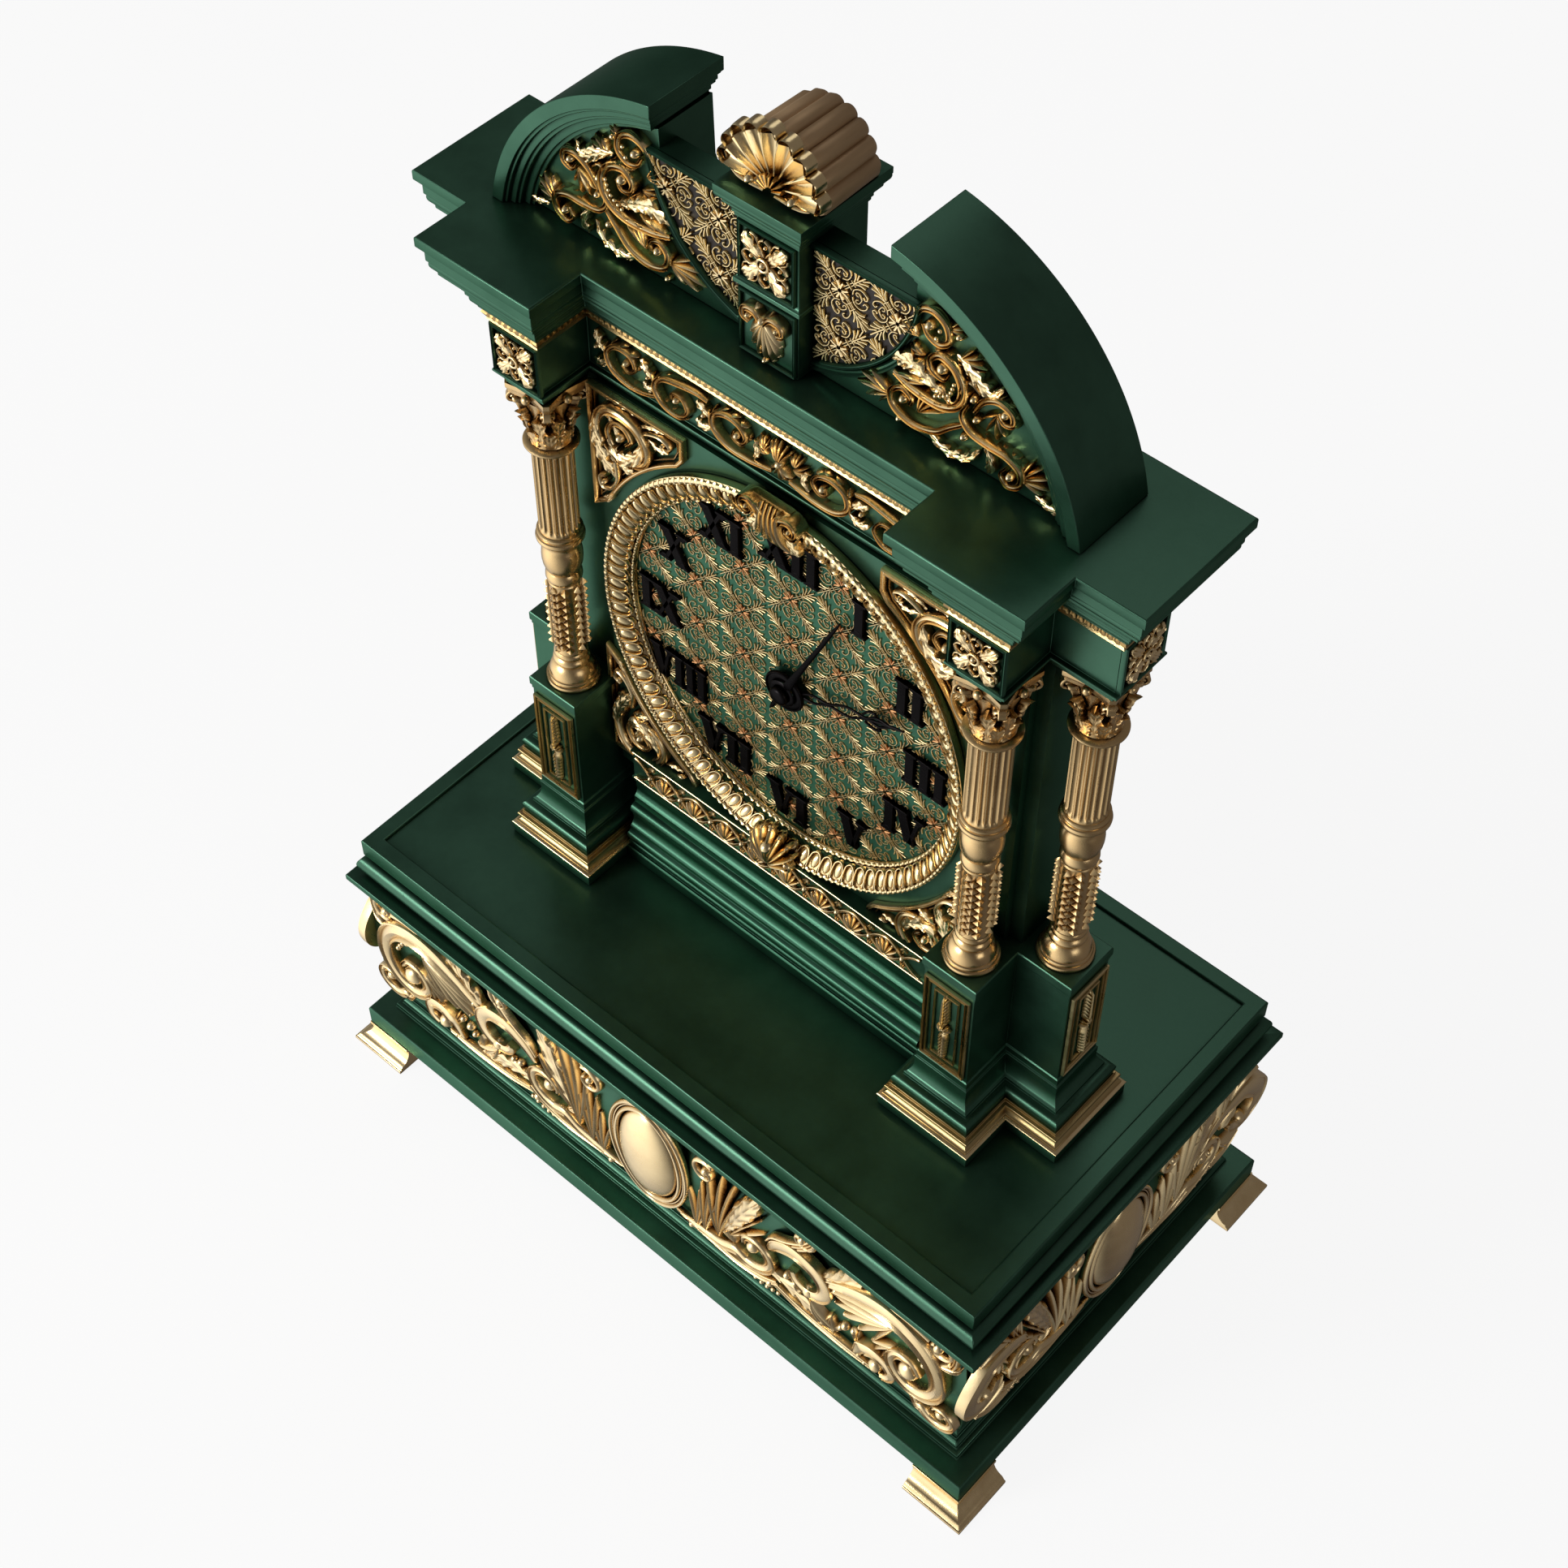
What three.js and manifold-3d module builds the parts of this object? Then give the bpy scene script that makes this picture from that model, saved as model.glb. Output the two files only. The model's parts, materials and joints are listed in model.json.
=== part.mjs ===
// A Renaissance-style table clock in green lacquer and gilt brass, in millimetres.
// +X is the clock's own left-to-right as its dial is read, +Y points to its back, +Z is up.
// The origin is the middle of the footprint, on the surface that the clock stands on.
import * as THREE from "three";
import { mergeVertices } from "three/addons/utils/BufferGeometryUtils.js";
import ManifoldModule from "manifold-3d";

const wasm = await ManifoldModule();
wasm.setup();

// ---- driving dimensions ----
const GAP = 0.3;                       // clearance between pieces that rest on each other
const MODULE = 170;                    // half the width of the base's top slab
const BASE = {
  halfX: MODULE,
  halfY: 0.563 * MODULE,
  footTop: 13.6,
  plinthTop: 25,
  stepTop: 33,
  waistTop: 117,
  lipTop: 129,
  ovoloTop: 139,
  rimBottom: 143.4,
  top: 152.7,
  rimWidth: 7.6,
  recess: 1.6,
};
const FOOT = { leg: 24.7, thick: 14, flare: 6.6, plinthOut: 8.8 };
// Courses of the base's mouldings from the bottom up: [top, outset, edge radius].
const BASE_COURSES = {
  foot: [[3, FOOT.flare, 0.9], [6, FOOT.flare * 0.6, 0], [9.5, FOOT.flare * 0.25, 0], [BASE.footTop - GAP, -0.6, 0]],
  plinth: [[BASE.plinthTop, FOOT.plinthOut, 0.6], [29, -1.5, 0.4], [BASE.stepTop, -4, 0.4]],
  waist: [[48, -6.4, 0.8], [62, -3.4, 2], [98, 0.4, 4], [108, -2, 2], [BASE.waistTop, -4.5, 0.8]],
  slab: [
    [121, -1, 1], [125.3, 3.6, 1.4], [BASE.lipTop, 6.9, 0.4], [BASE.ovoloTop, 2.6, 3.6],
    [BASE.rimBottom, -3.4, 0], [BASE.top, 0, 0.5],
  ],
};
const WAIST_MOUNT = {
  halfHeight: 27,
  mid: 78,
  thick: 2.4,
  endInset: { front: 16, side: 12 },
  boss: [15, 5, 21],
  rim: [17, 12, 23],
  rimTube: 0.12,
  scrollProud: 2.4,
  scrollUp: 4,
  stand: 0.4 + GAP,
};
const TOWER = {
  base: BASE.top - BASE.recess + GAP,
  slabTop: 157.8,
  dieBottom: 189,
  dieTop: 245,
  capTop: 251.9,
  columnTop: 412,
  front: -12.8,
  back: 21,
  halfX: 114,
};
const PEDESTAL = { half: 22.6, dieHalf: 11.9, capHalf: 12.4 };
const PEDESTAL_COURSES = {
  mouldings: [
    [TOWER.slabTop, 0, 0], [162, -2.4, 0.6], [166.5, -3, 0.8], [172, -5.4, 2], [184, -8.6, 0.6],
    [TOWER.dieBottom, -9.8, 0],
  ],
  die: [[TOWER.dieTop, 0, 0], [TOWER.dieTop + 2, 0.25, 0], [TOWER.capTop, PEDESTAL.capHalf - PEDESTAL.dieHalf, 0]],
};
const PEDESTAL_PANEL = { marginX: 1.2, marginZ: 2, thick: 1, dropHalfX: 3, dropDepth: 2, dropShare: 0.8, dropOut: 0.6 };
// Steps of the plinth between the pedestals: [front face, bottom, top].
const PLINTH_STEPS = [
  [-23.6, TOWER.base, 160], [-22, 159.9, 166], [-20.4, 165.9, 174], [-17.4, 173.9, 186], [-15.4, 185.9, 199.6],
];
const PLINTH_BACK_INSET = 0.6;
const FRONT_COLUMN = { x: 103, y: -24.3 };
const SIDE_COLUMN = { x: 128, y: 0.4 };
const DIE_INNER_X = FRONT_COLUMN.x - PEDESTAL.dieHalf;
const COLUMN = {
  // [radius, height above the pedestal's cap]
  profile: [
    [0, 0], [10.9, 0], [10.9, 2.6], [9.4, 4.6], [10.3, 7.2], [8.8, 9.4], [8.8, 54], [9.4, 56], [8.6, 60],
    [10.6, 68], [8.8, 76], [9.6, 81], [8.4, 84], [8.2, 126], [9.5, 128.5], [8.6, 131], [11.4, 153.5], [0, 153.5],
  ],
  abacusHalf: 12.2,
  abacusBottom: 153,
  sides: 14,
};
const CASE = {
  bottom: 199.9,
  sideInset: 1,
  cavity: { halfX: 80, front: -6.4, z0: 209, z1: 402 },
  post: { front: -8, backInset: 8.6 },
  fillet: { front: -11.3, backInset: 6, sideInset: 6 },
};
const DOOR = {
  edge: 80,
  free: -86,
  z0: 205,
  z1: 406,
  thick: 2.4,
  hingeX: 84.6,
  barrel: 2,
  pin: 1,
  knuckle: 9,
  tail: 5,
  strap: [2.8, 5.4],
  hingeShares: [0.12, 0.78],
};
const KNOB = { inset: 9, stem: 2.2, stemEnd: 7, head: 4.4, headOut: 9.4 };
const CORNICE = {
  frontHalfX: 130.5,
  innerX: 75.6,
  frontY: -52.9,
  mainY: -29,
  sideX: 156.8,
  backY: 27.9,
  frieze: -16.8,
  architrave: -14.9,
  architraveTop: 418.1,
  friezeTop: 440.3,
  ropeTop: 446.4,
  ropeProud: 4.4,
  ropeRound: 1.6,
  coreInset: 3,
  slabBottom: 473.8,
  top: 478.2,
};
const CORNICE_COURSES = {
  entablature: [
    [414, CORNICE.architrave - 2.2, 0], [CORNICE.architraveTop, CORNICE.architrave, 0.6],
    [CORNICE.friezeTop, CORNICE.frieze, 0],
  ],
  cornice: [
    [451, -9.6, 0.4], [456, -7.2, 1], [463, -4.4, 1.6], [467.5, -3.4, 0.4], [CORNICE.slabBottom, -1.6, 0.4],
    [CORNICE.top, 0, 0.3],
  ],
};
const ROSETTE = { thick: 1, marginZ: 1.4, knob: 3.2, knobOut: 0.6 };
const FRIEZE_MOUNT = { thick: 1.2, endInset: 3.4, knotHalfX: 9, knotDepth: 3, knotShare: 0.9, knotOut: 1, knots: 5 };
const BAND = { halfX: 78, front: -20.3, back: -15.7, bottom: 201, top: 218.4, ledgeFront: -16, ledgeBottom: 200.4 };
const DIAL = {
  z: 311,
  bezelOuter: 92,
  bezelInner: 82.5,
  plateRadius: 84,
  face: -8.6,
  plateThick: 1.6,
  hole: 3.4,
  seat: -9.3,
  wall: 83.8,
};
// The bezel's front surface from its inner to its outer edge: [out from the inner edge, proud of the case].
const BEZEL_STEPS = [[0, 0.6], [2, 2], [5, 5], [7.4, 4]];
const BEZEL_EDGE = 2;
const CARTOUCHE = { halfX: 10, proud: 5, deep: 5, scroll: 7, scrollX: 8, scrollDrop: 1, below: 4, above: 6, sunk: 0.4 };
const PALMETTE = { half: [12, 6, 11], drop: 4 };
const SPANDREL = { innerX: 36, outerInset: 1.6, thick: 2, overlap: 2.4, reachZ: 38, top: 2.4, bottom: 220.5 };
const HANDS = { hourY: -11.4, minuteY: -13.6, thick: 0.8, hourReach: 60, minuteReach: 66, hourAt: 70, minuteAt: 25 };
const HAND_SHAPE = { hourHalf: 1.9, hourTail: 8, minuteHalf: 1.3, minuteTail: 24, bossWall: 3, waist: 0.9, taperAt: 0.7 };
const NUT = { tip: 2.8, shoulder: [2.4, 2.4], rim: 3.6, socket: 1.2 };
const SLIP = 0.1;                      // a hand's bore is this much wider than its arbor
const MOTION = { gear: 0.6, y: -4.8, thick: 1, arbor: 1.5, hourPipe: 2.6, stud: 0.8, pinionThick: 1.5, hourThick: 1.1 };
// Motion work of 12-hour dials: cannon 12 drives 36, whose pinion of 10 drives the hour wheel of 40.
const TEETH = { cannon: 12, minuteWheel: 36, minutePinion: 10, hourWheel: 40 };
const MOTION_REACH = (TEETH.cannon + TEETH.minuteWheel) * MOTION.gear / 2;
const HOUR_GEAR = 2 * MOTION_REACH / (TEETH.minutePinion + TEETH.hourWheel);
const TOOTH = { halfRoot: 0.25, halfTip: 0.15, dedendum: 1.1, addendum: 0.8 };
const MOVEMENT = {
  plateRadius: 42,
  plateThick: 1.6,
  frontPlate: -1.6,
  backPlate: 12.4,
  pillarOut: 34,
  pillarRadius: 2.6,
  pillars: 4,
  pivots: { centre: [0, 0], barrel: [-25, 0], crutch: [0, 26], stud: [MOTION_REACH, 0] },
};
const GOING = { centreDisc: 9, centreDiscAt: [3.4, 4.6], barrelArbor: 1.2, barrel: 13.5, barrelAt: [1, 11], winding: 2.2 };
const PENDULUM = { length: 108, arbor: 0.8, collar: 3, rod: 0.8, crutch: { halfX: 7, y: [2, 3.4], z: [-1.5, 3.5] } };
// The bob's turned outline: [radius, behind the back plate].
const BOB = [[0, 1.6], [9, 2.4], [11, 3.4], [9, 4.4], [0, 5.2]];
const PEDIMENT = {
  frontY: -20.7,
  backY: 13.4,
  arcX: 32.2,
  arcZ: 459.7,
  arcRadius: 95.4,
  slab: 5,
  moulding: 4,
  tympanumY: -12.7,
  innerX: 48.4,
  biteZ: 539,
  biteRadius: 57,
};
// Bands of the arch: how far each lies below the top, is thick, steps out at its end, and steps back.
const ARCH_BANDS = [
  { drop: 0, thick: PEDIMENT.slab + 0.6, inner: 0, front: 0, back: 0 },
  { drop: PEDIMENT.slab, thick: PEDIMENT.moulding, inner: 2.4, front: 2.4, back: 0.5 },
  { drop: PEDIMENT.slab + PEDIMENT.moulding - 0.6, thick: PEDIMENT.moulding, inner: 5, front: 4.6, back: 0.8 },
];
const FRET_WALL = { front: -14.9, back: -4.4, top: 532 };
const CENTRE = { halfX: 15.8, front: -20.6, back: 11.5, top: 537.2, capHalf: 18, capTop: 543.9, capThick: 3.6, neck: 530 };
const CENTRE_BELT = { z0: 509, z1: 511.4, proud: 0.8, deep: 1 };
const SHELL = { lobes: 9, core: 15.4, lobe: 3.3, front: -19.8, back: 11, eye: 546 };
const AXIS_RUN = 0.35;                 // radial clearance of a running fit
const FAR = 700;                       // farther than any face of the clock: the reach of cutting blocks
const BITE = 0.1;                      // how far joined solids sink into each other

// ---- finishes ----
const finish = (color, roughness, metalness) => new THREE.MeshStandardMaterial({ color, roughness, metalness });
const LACQUER = finish(0x234a38, 0.42, 0.0);
const GILT = finish(0xc79a55, 0.34, 1.0);
const BRONZE = finish(0x5b4632, 0.5, 0.8);
const BLACKED = finish(0x1b1718, 0.4, 0.6);
const BRASS = finish(0xb99a4e, 0.35, 1.0);
const STEEL = finish(0x8d9196, 0.3, 1.0);

const clock = new THREE.Group();
clock.name = "table_clock";

function add(name, shape, material) {
  const mesh = new THREE.Mesh(shape instanceof THREE.BufferGeometry ? shape : toGeometry(shape), material);
  mesh.name = name;
  clock.add(mesh);
  return mesh;
}

// ---- solids ----
// Everything on the far side of a plane: `range` limits one axis and the others run right through.
function region({ x = [-FAR, FAR], y = [-FAR, FAR], z = [-FAR, FAR] }) {
  return toSolid(box(...x, ...y, ...z));
}

function toSolid(geometry) {
  const bare = geometry.clone();
  bare.deleteAttribute("normal");
  bare.deleteAttribute("uv");
  const welded = mergeVertices(bare, 1e-4);
  return new wasm.Manifold(new wasm.Mesh({
    numProp: 3,
    vertProperties: new Float32Array(welded.attributes.position.array),
    triVerts: new Uint32Array(welded.index.array),
  }));
}

function toGeometry(solid) {
  const mesh = solid.getMesh();
  const geometry = new THREE.BufferGeometry();
  geometry.setAttribute("position", new THREE.BufferAttribute(new Float32Array(mesh.vertProperties), 3));
  geometry.setIndex(new THREE.BufferAttribute(new Uint32Array(mesh.triVerts), 1));
  geometry.computeVertexNormals();
  return geometry;
}

function join(geometries) {
  return geometries.map(toSolid).reduce((whole, next) => whole.add(next));
}

function box(x0, x1, y0, y1, z0, z1) {
  const geometry = new THREE.BoxGeometry(x1 - x0, y1 - y0, z1 - z0);
  return geometry.translate((x0 + x1) / 2, (y0 + y1) / 2, (z0 + z1) / 2);
}

// A disc or tube blank that lies along Y between two planes.
function discY(radius, y0, y1, x, z, sides = 40) {
  const geometry = new THREE.CylinderGeometry(radius, radius, y1 - y0, sides);
  return geometry.translate(x, (y0 + y1) / 2, z);
}

// A turned piece: [radius, height] pairs from the axis at the bottom to the axis at the top.
function turned(profile, sides = 20) {
  const points = profile.map(([radius, height]) => new THREE.Vector2(radius, height));
  return new THREE.LatheGeometry(points, sides).rotateX(Math.PI / 2);
}

// A turned piece whose axis lies along Y, its profile's heights read as Y.
function turnedY(profile, x, z, sides = 40) {
  const points = profile.map(([radius, y]) => new THREE.Vector2(radius, y));
  return new THREE.LatheGeometry(points, sides).translate(x, 0, z);
}

// A flat outline drawn in X and Z, given its thickness from y0 to y1.
function upright(shape, y0, y1, curveSegments = 16) {
  const geometry = new THREE.ExtrudeGeometry(shape, { depth: y1 - y0, bevelEnabled: false, curveSegments });
  return geometry.rotateX(Math.PI / 2).translate(0, y1, 0);
}

// ---- right-angled plans and the mouldings that run round them ----
const rectangle = (halfX, halfY) => [[-halfX, -halfY], [halfX, -halfY], [halfX, halfY], [-halfX, halfY]];

// Moves each edge of an anticlockwise right-angled plan outwards by the same distance.
function offsetPlan(plan, out) {
  return plan.map((point, index) => {
    const before = plan[(index + plan.length - 1) % plan.length];
    const after = plan[(index + 1) % plan.length];
    const normal = (from, to) => [Math.sign(to[1] - from[1]), -Math.sign(to[0] - from[0])];
    const [ax, ay] = normal(before, point);
    const [bx, by] = normal(point, after);
    return [point[0] + out * (ax + bx), point[1] + out * (ay + by)];
  });
}

function planShape(plan) {
  return new THREE.Shape(plan.map(([x, y]) => new THREE.Vector2(x, y)));
}

// One course of moulding: a slab of the plan with its edges rounded by `round`.
function course(plan, z0, z1, out = 0, round = 0) {
  const geometry = new THREE.ExtrudeGeometry(planShape(offsetPlan(plan, out - round)), {
    depth: z1 - z0 - 2 * round,
    bevelEnabled: round > 0,
    bevelSize: round,
    bevelThickness: round,
    bevelSegments: 2,
  });
  return geometry.translate(0, 0, z0 + round);
}

// Courses stacked on each other: [top, out, round] from the bottom up, each biting into the next.
function courses(plan, bottom, list) {
  const bite = 0.05;
  const slabs = list.map(([top, out, round = 0], index) => {
    const start = index === 0 ? bottom : list[index - 1][0] - bite;
    return course(plan, start, top, out, round);
  });
  return join(slabs);
}

// ---- base ----
function addFeet() {
  const { leg, thick, plinthOut } = FOOT;
  const cornerX = BASE.halfX + plinthOut;
  const cornerY = BASE.halfY + plinthOut;
  const endCut = toSolid(box(-leg, leg, -leg, leg, 0, BASE.footTop));
  for (const [end, sy] of [["front", -1], ["rear", 1]]) {
    for (const [side, sx] of [["left", -1], ["right", 1]]) {
      const plan = [[0, 0], [leg, 0], [leg, thick], [thick, thick], [thick, leg], [0, leg]];
      const block = toGeometry(courses(plan, 0, BASE_COURSES.foot).intersect(endCut));
      block.translate(-cornerX, -cornerY, 0);
      add(`foot_${end}_${side}`, mirrored(block, sx > 0, sy > 0), GILT);
    }
  }
}

// Reflects a geometry in the middle planes, keeping its faces outwards.
function mirrored(geometry, flipX, flipY) {
  const solid = toSolid(geometry);
  const inX = flipX ? solid.mirror([1, 0, 0]) : solid;
  return flipY ? inX.mirror([0, 1, 0]) : inX;
}

function addBase() {
  const plan = rectangle(BASE.halfX, BASE.halfY);
  add("base_plinth", courses(plan, BASE.footTop, BASE_COURSES.plinth), LACQUER);
  add("base_waist", courses(plan, BASE.stepTop + GAP, BASE_COURSES.waist), LACQUER);
  const wellX = BASE.halfX - BASE.rimWidth;
  const wellY = BASE.halfY - BASE.rimWidth;
  const well = region({ x: [-wellX, wellX], y: [-wellY, wellY], z: [BASE.top - BASE.recess, FAR] });
  add("base_top", courses(plan, BASE.waistTop + GAP, BASE_COURSES.slab).subtract(well), LACQUER);
}

// An openwork-style mount: a long plate with pointed ends, an oval boss and two scroll ends.
function waistMount(halfLength) {
  const { halfHeight, thick, scrollProud, scrollUp } = WAIST_MOUNT;
  const [endLow, endHigh] = [-halfHeight * 0.35, halfHeight * 0.9];
  const outline = new THREE.Shape();
  outline.moveTo(-halfLength, endLow);
  outline.quadraticCurveTo(-halfLength * 0.6, -halfHeight, 0, -halfHeight);
  outline.quadraticCurveTo(halfLength * 0.6, -halfHeight, halfLength, endLow);
  outline.lineTo(halfLength, endHigh);
  outline.quadraticCurveTo(halfLength * 0.5, halfHeight * 0.5, 0, halfHeight);
  outline.quadraticCurveTo(-halfLength * 0.5, halfHeight * 0.5, -halfLength, endHigh);
  const plate = upright(outline, -thick, 0, 5);
  const boss = new THREE.SphereGeometry(1, 14, 8).scale(...WAIST_MOUNT.boss);
  const rim = new THREE.TorusGeometry(1, WAIST_MOUNT.rimTube, 5, 18).rotateX(Math.PI / 2).scale(...WAIST_MOUNT.rim);
  rim.translate(0, -thick, 0);
  const ends = [-1, 1].map((side) => (
    discY(halfHeight * 0.5, -thick - scrollProud, -GAP, side * halfLength * 0.8, scrollUp, 14)
  ));
  return join([plate, boss, rim, ...ends]).subtract(region({ y: [0, FAR] }));
}

function addWaistMounts() {
  const { endInset, stand, mid } = WAIST_MOUNT;
  const front = toGeometry(waistMount(BASE.halfX - endInset.front));
  const side = toGeometry(waistMount(BASE.halfY - endInset.side));
  const frontY = BASE.halfY + stand;
  const sideX = BASE.halfX + stand;
  const place = (geometry, turn, x, y) => geometry.clone().rotateZ(turn).translate(x, y, mid);
  add("waist_mount_front", place(front, 0, 0, -frontY), GILT);
  add("waist_mount_rear", place(front, Math.PI, 0, frontY), GILT);
  add("waist_mount_right", place(side, Math.PI / 2, sideX, 0), GILT);
  add("waist_mount_left", place(side, -Math.PI / 2, -sideX, 0), GILT);
}

// ---- tower: pedestals, plinth, columns ----
// The plan of the paired pedestals on the right: a front square and a side square that share a corner.
function pedestalPlan(half) {
  const { x: fx, y: fy } = FRONT_COLUMN;
  const { x: sx, y: sy } = SIDE_COLUMN;
  return [
    [fx - half, fy - half], [fx + half, fy - half], [fx + half, sy - half], [sx + half, sy - half],
    [sx + half, sy + half], [fx - half, sy + half],
  ];
}

function addPedestals() {
  const mouldings = courses(pedestalPlan(PEDESTAL.half), TOWER.base, PEDESTAL_COURSES.mouldings);
  const dies = courses(pedestalPlan(PEDESTAL.dieHalf), TOWER.dieBottom - BITE / 2, PEDESTAL_COURSES.die);
  const right = toGeometry(mouldings.add(dies));
  add("pedestals_right", right, LACQUER);
  add("pedestals_left", mirrored(right, true, false), LACQUER);
}

function addPedestalPanels() {
  const { marginX, marginZ, thick, dropHalfX, dropDepth, dropShare, dropOut } = PEDESTAL_PANEL;
  const mid = (TOWER.dieBottom + TOWER.dieTop) / 2;
  const halfHeight = (TOWER.dieTop - TOWER.dieBottom) / 2 - marginZ;
  const halfWidth = PEDESTAL.dieHalf - marginX;
  const sheet = box(-halfWidth, halfWidth, -thick, 0, -halfHeight, halfHeight);
  const drop = new THREE.SphereGeometry(1, 12, 8).scale(dropHalfX, dropDepth, halfHeight * dropShare);
  drop.translate(0, -dropOut, 0);
  const panel = toGeometry(join([sheet, drop]).subtract(region({ y: [0, FAR] })));
  const frontY = FRONT_COLUMN.y - PEDESTAL.dieHalf - GAP;
  const sideX = SIDE_COLUMN.x + PEDESTAL.dieHalf + GAP;
  for (const [side, sign] of [["left", -1], ["right", 1]]) {
    const front = panel.clone().translate(sign * FRONT_COLUMN.x, frontY, mid);
    const flank = panel.clone().rotateZ(sign * Math.PI / 2).translate(sign * sideX, SIDE_COLUMN.y, mid);
    add(`pedestal_panel_front_${side}`, front, GILT);
    add(`pedestal_panel_side_${side}`, flank, GILT);
  }
}

function addPlinth() {
  const edge = FRONT_COLUMN.x - PEDESTAL.half - GAP;
  const depth = TOWER.back - PLINTH_BACK_INSET;
  add("tower_plinth", join(PLINTH_STEPS.map(([front, z0, z1]) => box(-edge, edge, front, depth, z0, z1))), LACQUER);
}

function addColumns() {
  const { abacusHalf, abacusBottom, profile, sides } = COLUMN;
  const foot = TOWER.capTop + GAP;
  const height = TOWER.columnTop - GAP - foot;
  const abacus = box(-abacusHalf, abacusHalf, -abacusHalf, abacusHalf, abacusBottom, height);
  const column = toGeometry(join([turned(profile, sides), abacus]));
  for (const [side, sign] of [["left", -1], ["right", 1]]) {
    add(`column_front_${side}`, column.clone().translate(sign * FRONT_COLUMN.x, FRONT_COLUMN.y, foot), GILT);
    add(`column_side_${side}`, column.clone().translate(sign * SIDE_COLUMN.x, SIDE_COLUMN.y, foot), GILT);
  }
}

// ---- case and door ----
function addCase() {
  const { bottom, sideInset, cavity, post, fillet } = CASE;
  const inner = DIE_INNER_X - sideInset;
  const top = TOWER.columnTop - GAP;
  const foot = TOWER.capTop + GAP;
  const outer = toSolid(box(-inner, inner, TOWER.front, TOWER.back, bottom, top));
  const hollow = toSolid(box(-cavity.halfX, cavity.halfX, cavity.front, TOWER.back + 1, cavity.z0, cavity.z1));
  const mouth = toSolid(discY(DIAL.plateRadius + GAP, TOWER.front - 1, 0, 0, DIAL.z, 56));
  // The case's outer corners step back behind the columns, above the pedestals.
  const corner = toGeometry(join([
    box(inner - BITE, TOWER.halfX, post.front, TOWER.back - post.backInset, foot, top),
    box(inner - BITE, TOWER.halfX - fillet.sideInset, fillet.front, TOWER.back - fillet.backInset, foot, top),
  ]));
  const carcass = outer.add(toSolid(corner)).add(mirrored(corner, true, false));
  add("case_body", carcass.subtract(hollow).subtract(mouth), LACQUER);
}

// The rear door hangs on two hinges: its own knuckle turns on each hinge's pin.
function addDoor() {
  const { edge, free, z0, z1, thick, hingeX, barrel, pin, knuckle, tail, strap, hingeShares } = DOOR;
  const plane = TOWER.back + GAP;
  const axisY = plane + barrel + 1;
  const round = (low, high, radius) => {
    const blank = new THREE.CylinderGeometry(radius, radius, high - low, 20).rotateX(Math.PI / 2);
    return blank.translate(hingeX, axisY, (low + high) / 2);
  };
  const starts = hingeShares.map((share) => z0 + share * (z1 - z0));
  const moving = starts.flatMap((start) => [
    round(start, start + knuckle, barrel),
    box(edge - 1, hingeX, axisY - 1, axisY + 1, start, start + knuckle),
    box(edge - 4, edge, plane + thick - 0.4, axisY + 1, start, start + knuckle),
  ]);
  const bores = starts.map((start) => round(start - 1, start + knuckle + 1, pin + AXIS_RUN));
  const door = join([box(free, edge, plane, plane + thick, z0, z1), ...moving]).subtract(join(bores));
  add("rear_door", door, LACQUER);
  starts.forEach((start, index) => addHinge(index === 0 ? "lower" : "upper", start, plane, axisY, round));
  const { inset, stem, stemEnd, head, headOut } = KNOB;
  const knobX = free + inset;
  add("door_knob", join([
    discY(stem, plane + thick + GAP, plane + stemEnd, knobX, DIAL.z, 14),
    new THREE.SphereGeometry(head, 14, 8).translate(knobX, plane + headOut, DIAL.z),
  ]), BRASS);

  function addHinge(name, start, seat, axis, rod) {
    const [low, high] = [start - tail, start + knuckle + tail];
    const ends = [[low, start - GAP], [start + knuckle + GAP, high]].flatMap(([from, to]) => [
      rod(from, to, barrel),
      box(hingeX, hingeX + strap[1], axis - 1, axis + 1, from, to),
    ]);
    const leaf = box(hingeX + strap[0], hingeX + strap[1], seat, axis + 1, low, high);
    add(`door_hinge_${name}`, join([rod(low, high, pin), ...ends, leaf]), BRASS);
  }
}

// ---- dial, bezel, hands ----
function addDial() {
  const { z, bezelOuter, bezelInner, plateRadius, face, plateThick, hole, seat, wall } = DIAL;
  const rim = plateRadius - GAP;
  const back = face + plateThick;
  add("dial_plate", turnedY([[hole, face], [rim, face], [rim, back], [hole, back], [hole, face]], 0, z, 56), LACQUER);
  const front = TOWER.front - GAP;
  add("bezel", turnedY([
    [bezelInner, seat], ...BEZEL_STEPS.map(([out, proud]) => [bezelInner + out, front - proud]),
    [bezelOuter, front - BEZEL_EDGE], [bezelOuter, front], [wall, front], [wall, seat], [bezelInner, seat],
  ], 0, z, 44), GILT);
  addBezelMounts(front);
}

// The scrolled piece over XII and the leaf over VI.
function addBezelMounts(front) {
  const { z, bezelOuter, bezelInner } = DIAL;
  const { halfX, proud, deep, scroll, scrollX, scrollDrop, below, above, sunk } = CARTOUCHE;
  const y0 = front - proud - GAP;
  const scrollAt = (side) => discY(scroll, y0 - scroll, y0 - sunk, side * scrollX, z + bezelOuter - scrollDrop, 20);
  add("bezel_cartouche", join([
    box(-halfX, halfX, y0 - deep, y0, z + bezelInner - below, z + bezelOuter + above), scrollAt(-1), scrollAt(1),
  ]), GILT);
  const leaf = new THREE.SphereGeometry(1, 14, 8).scale(...PALMETTE.half).translate(0, y0, z - bezelInner - PALMETTE.drop);
  const behind = region({ y: [y0, FAR] });
  const band = region({ y: [BAND.front - GAP, FAR], z: [-FAR, BAND.top + GAP] });
  add("bezel_palmette", toSolid(leaf).subtract(behind).subtract(band), GILT);
}

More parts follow.
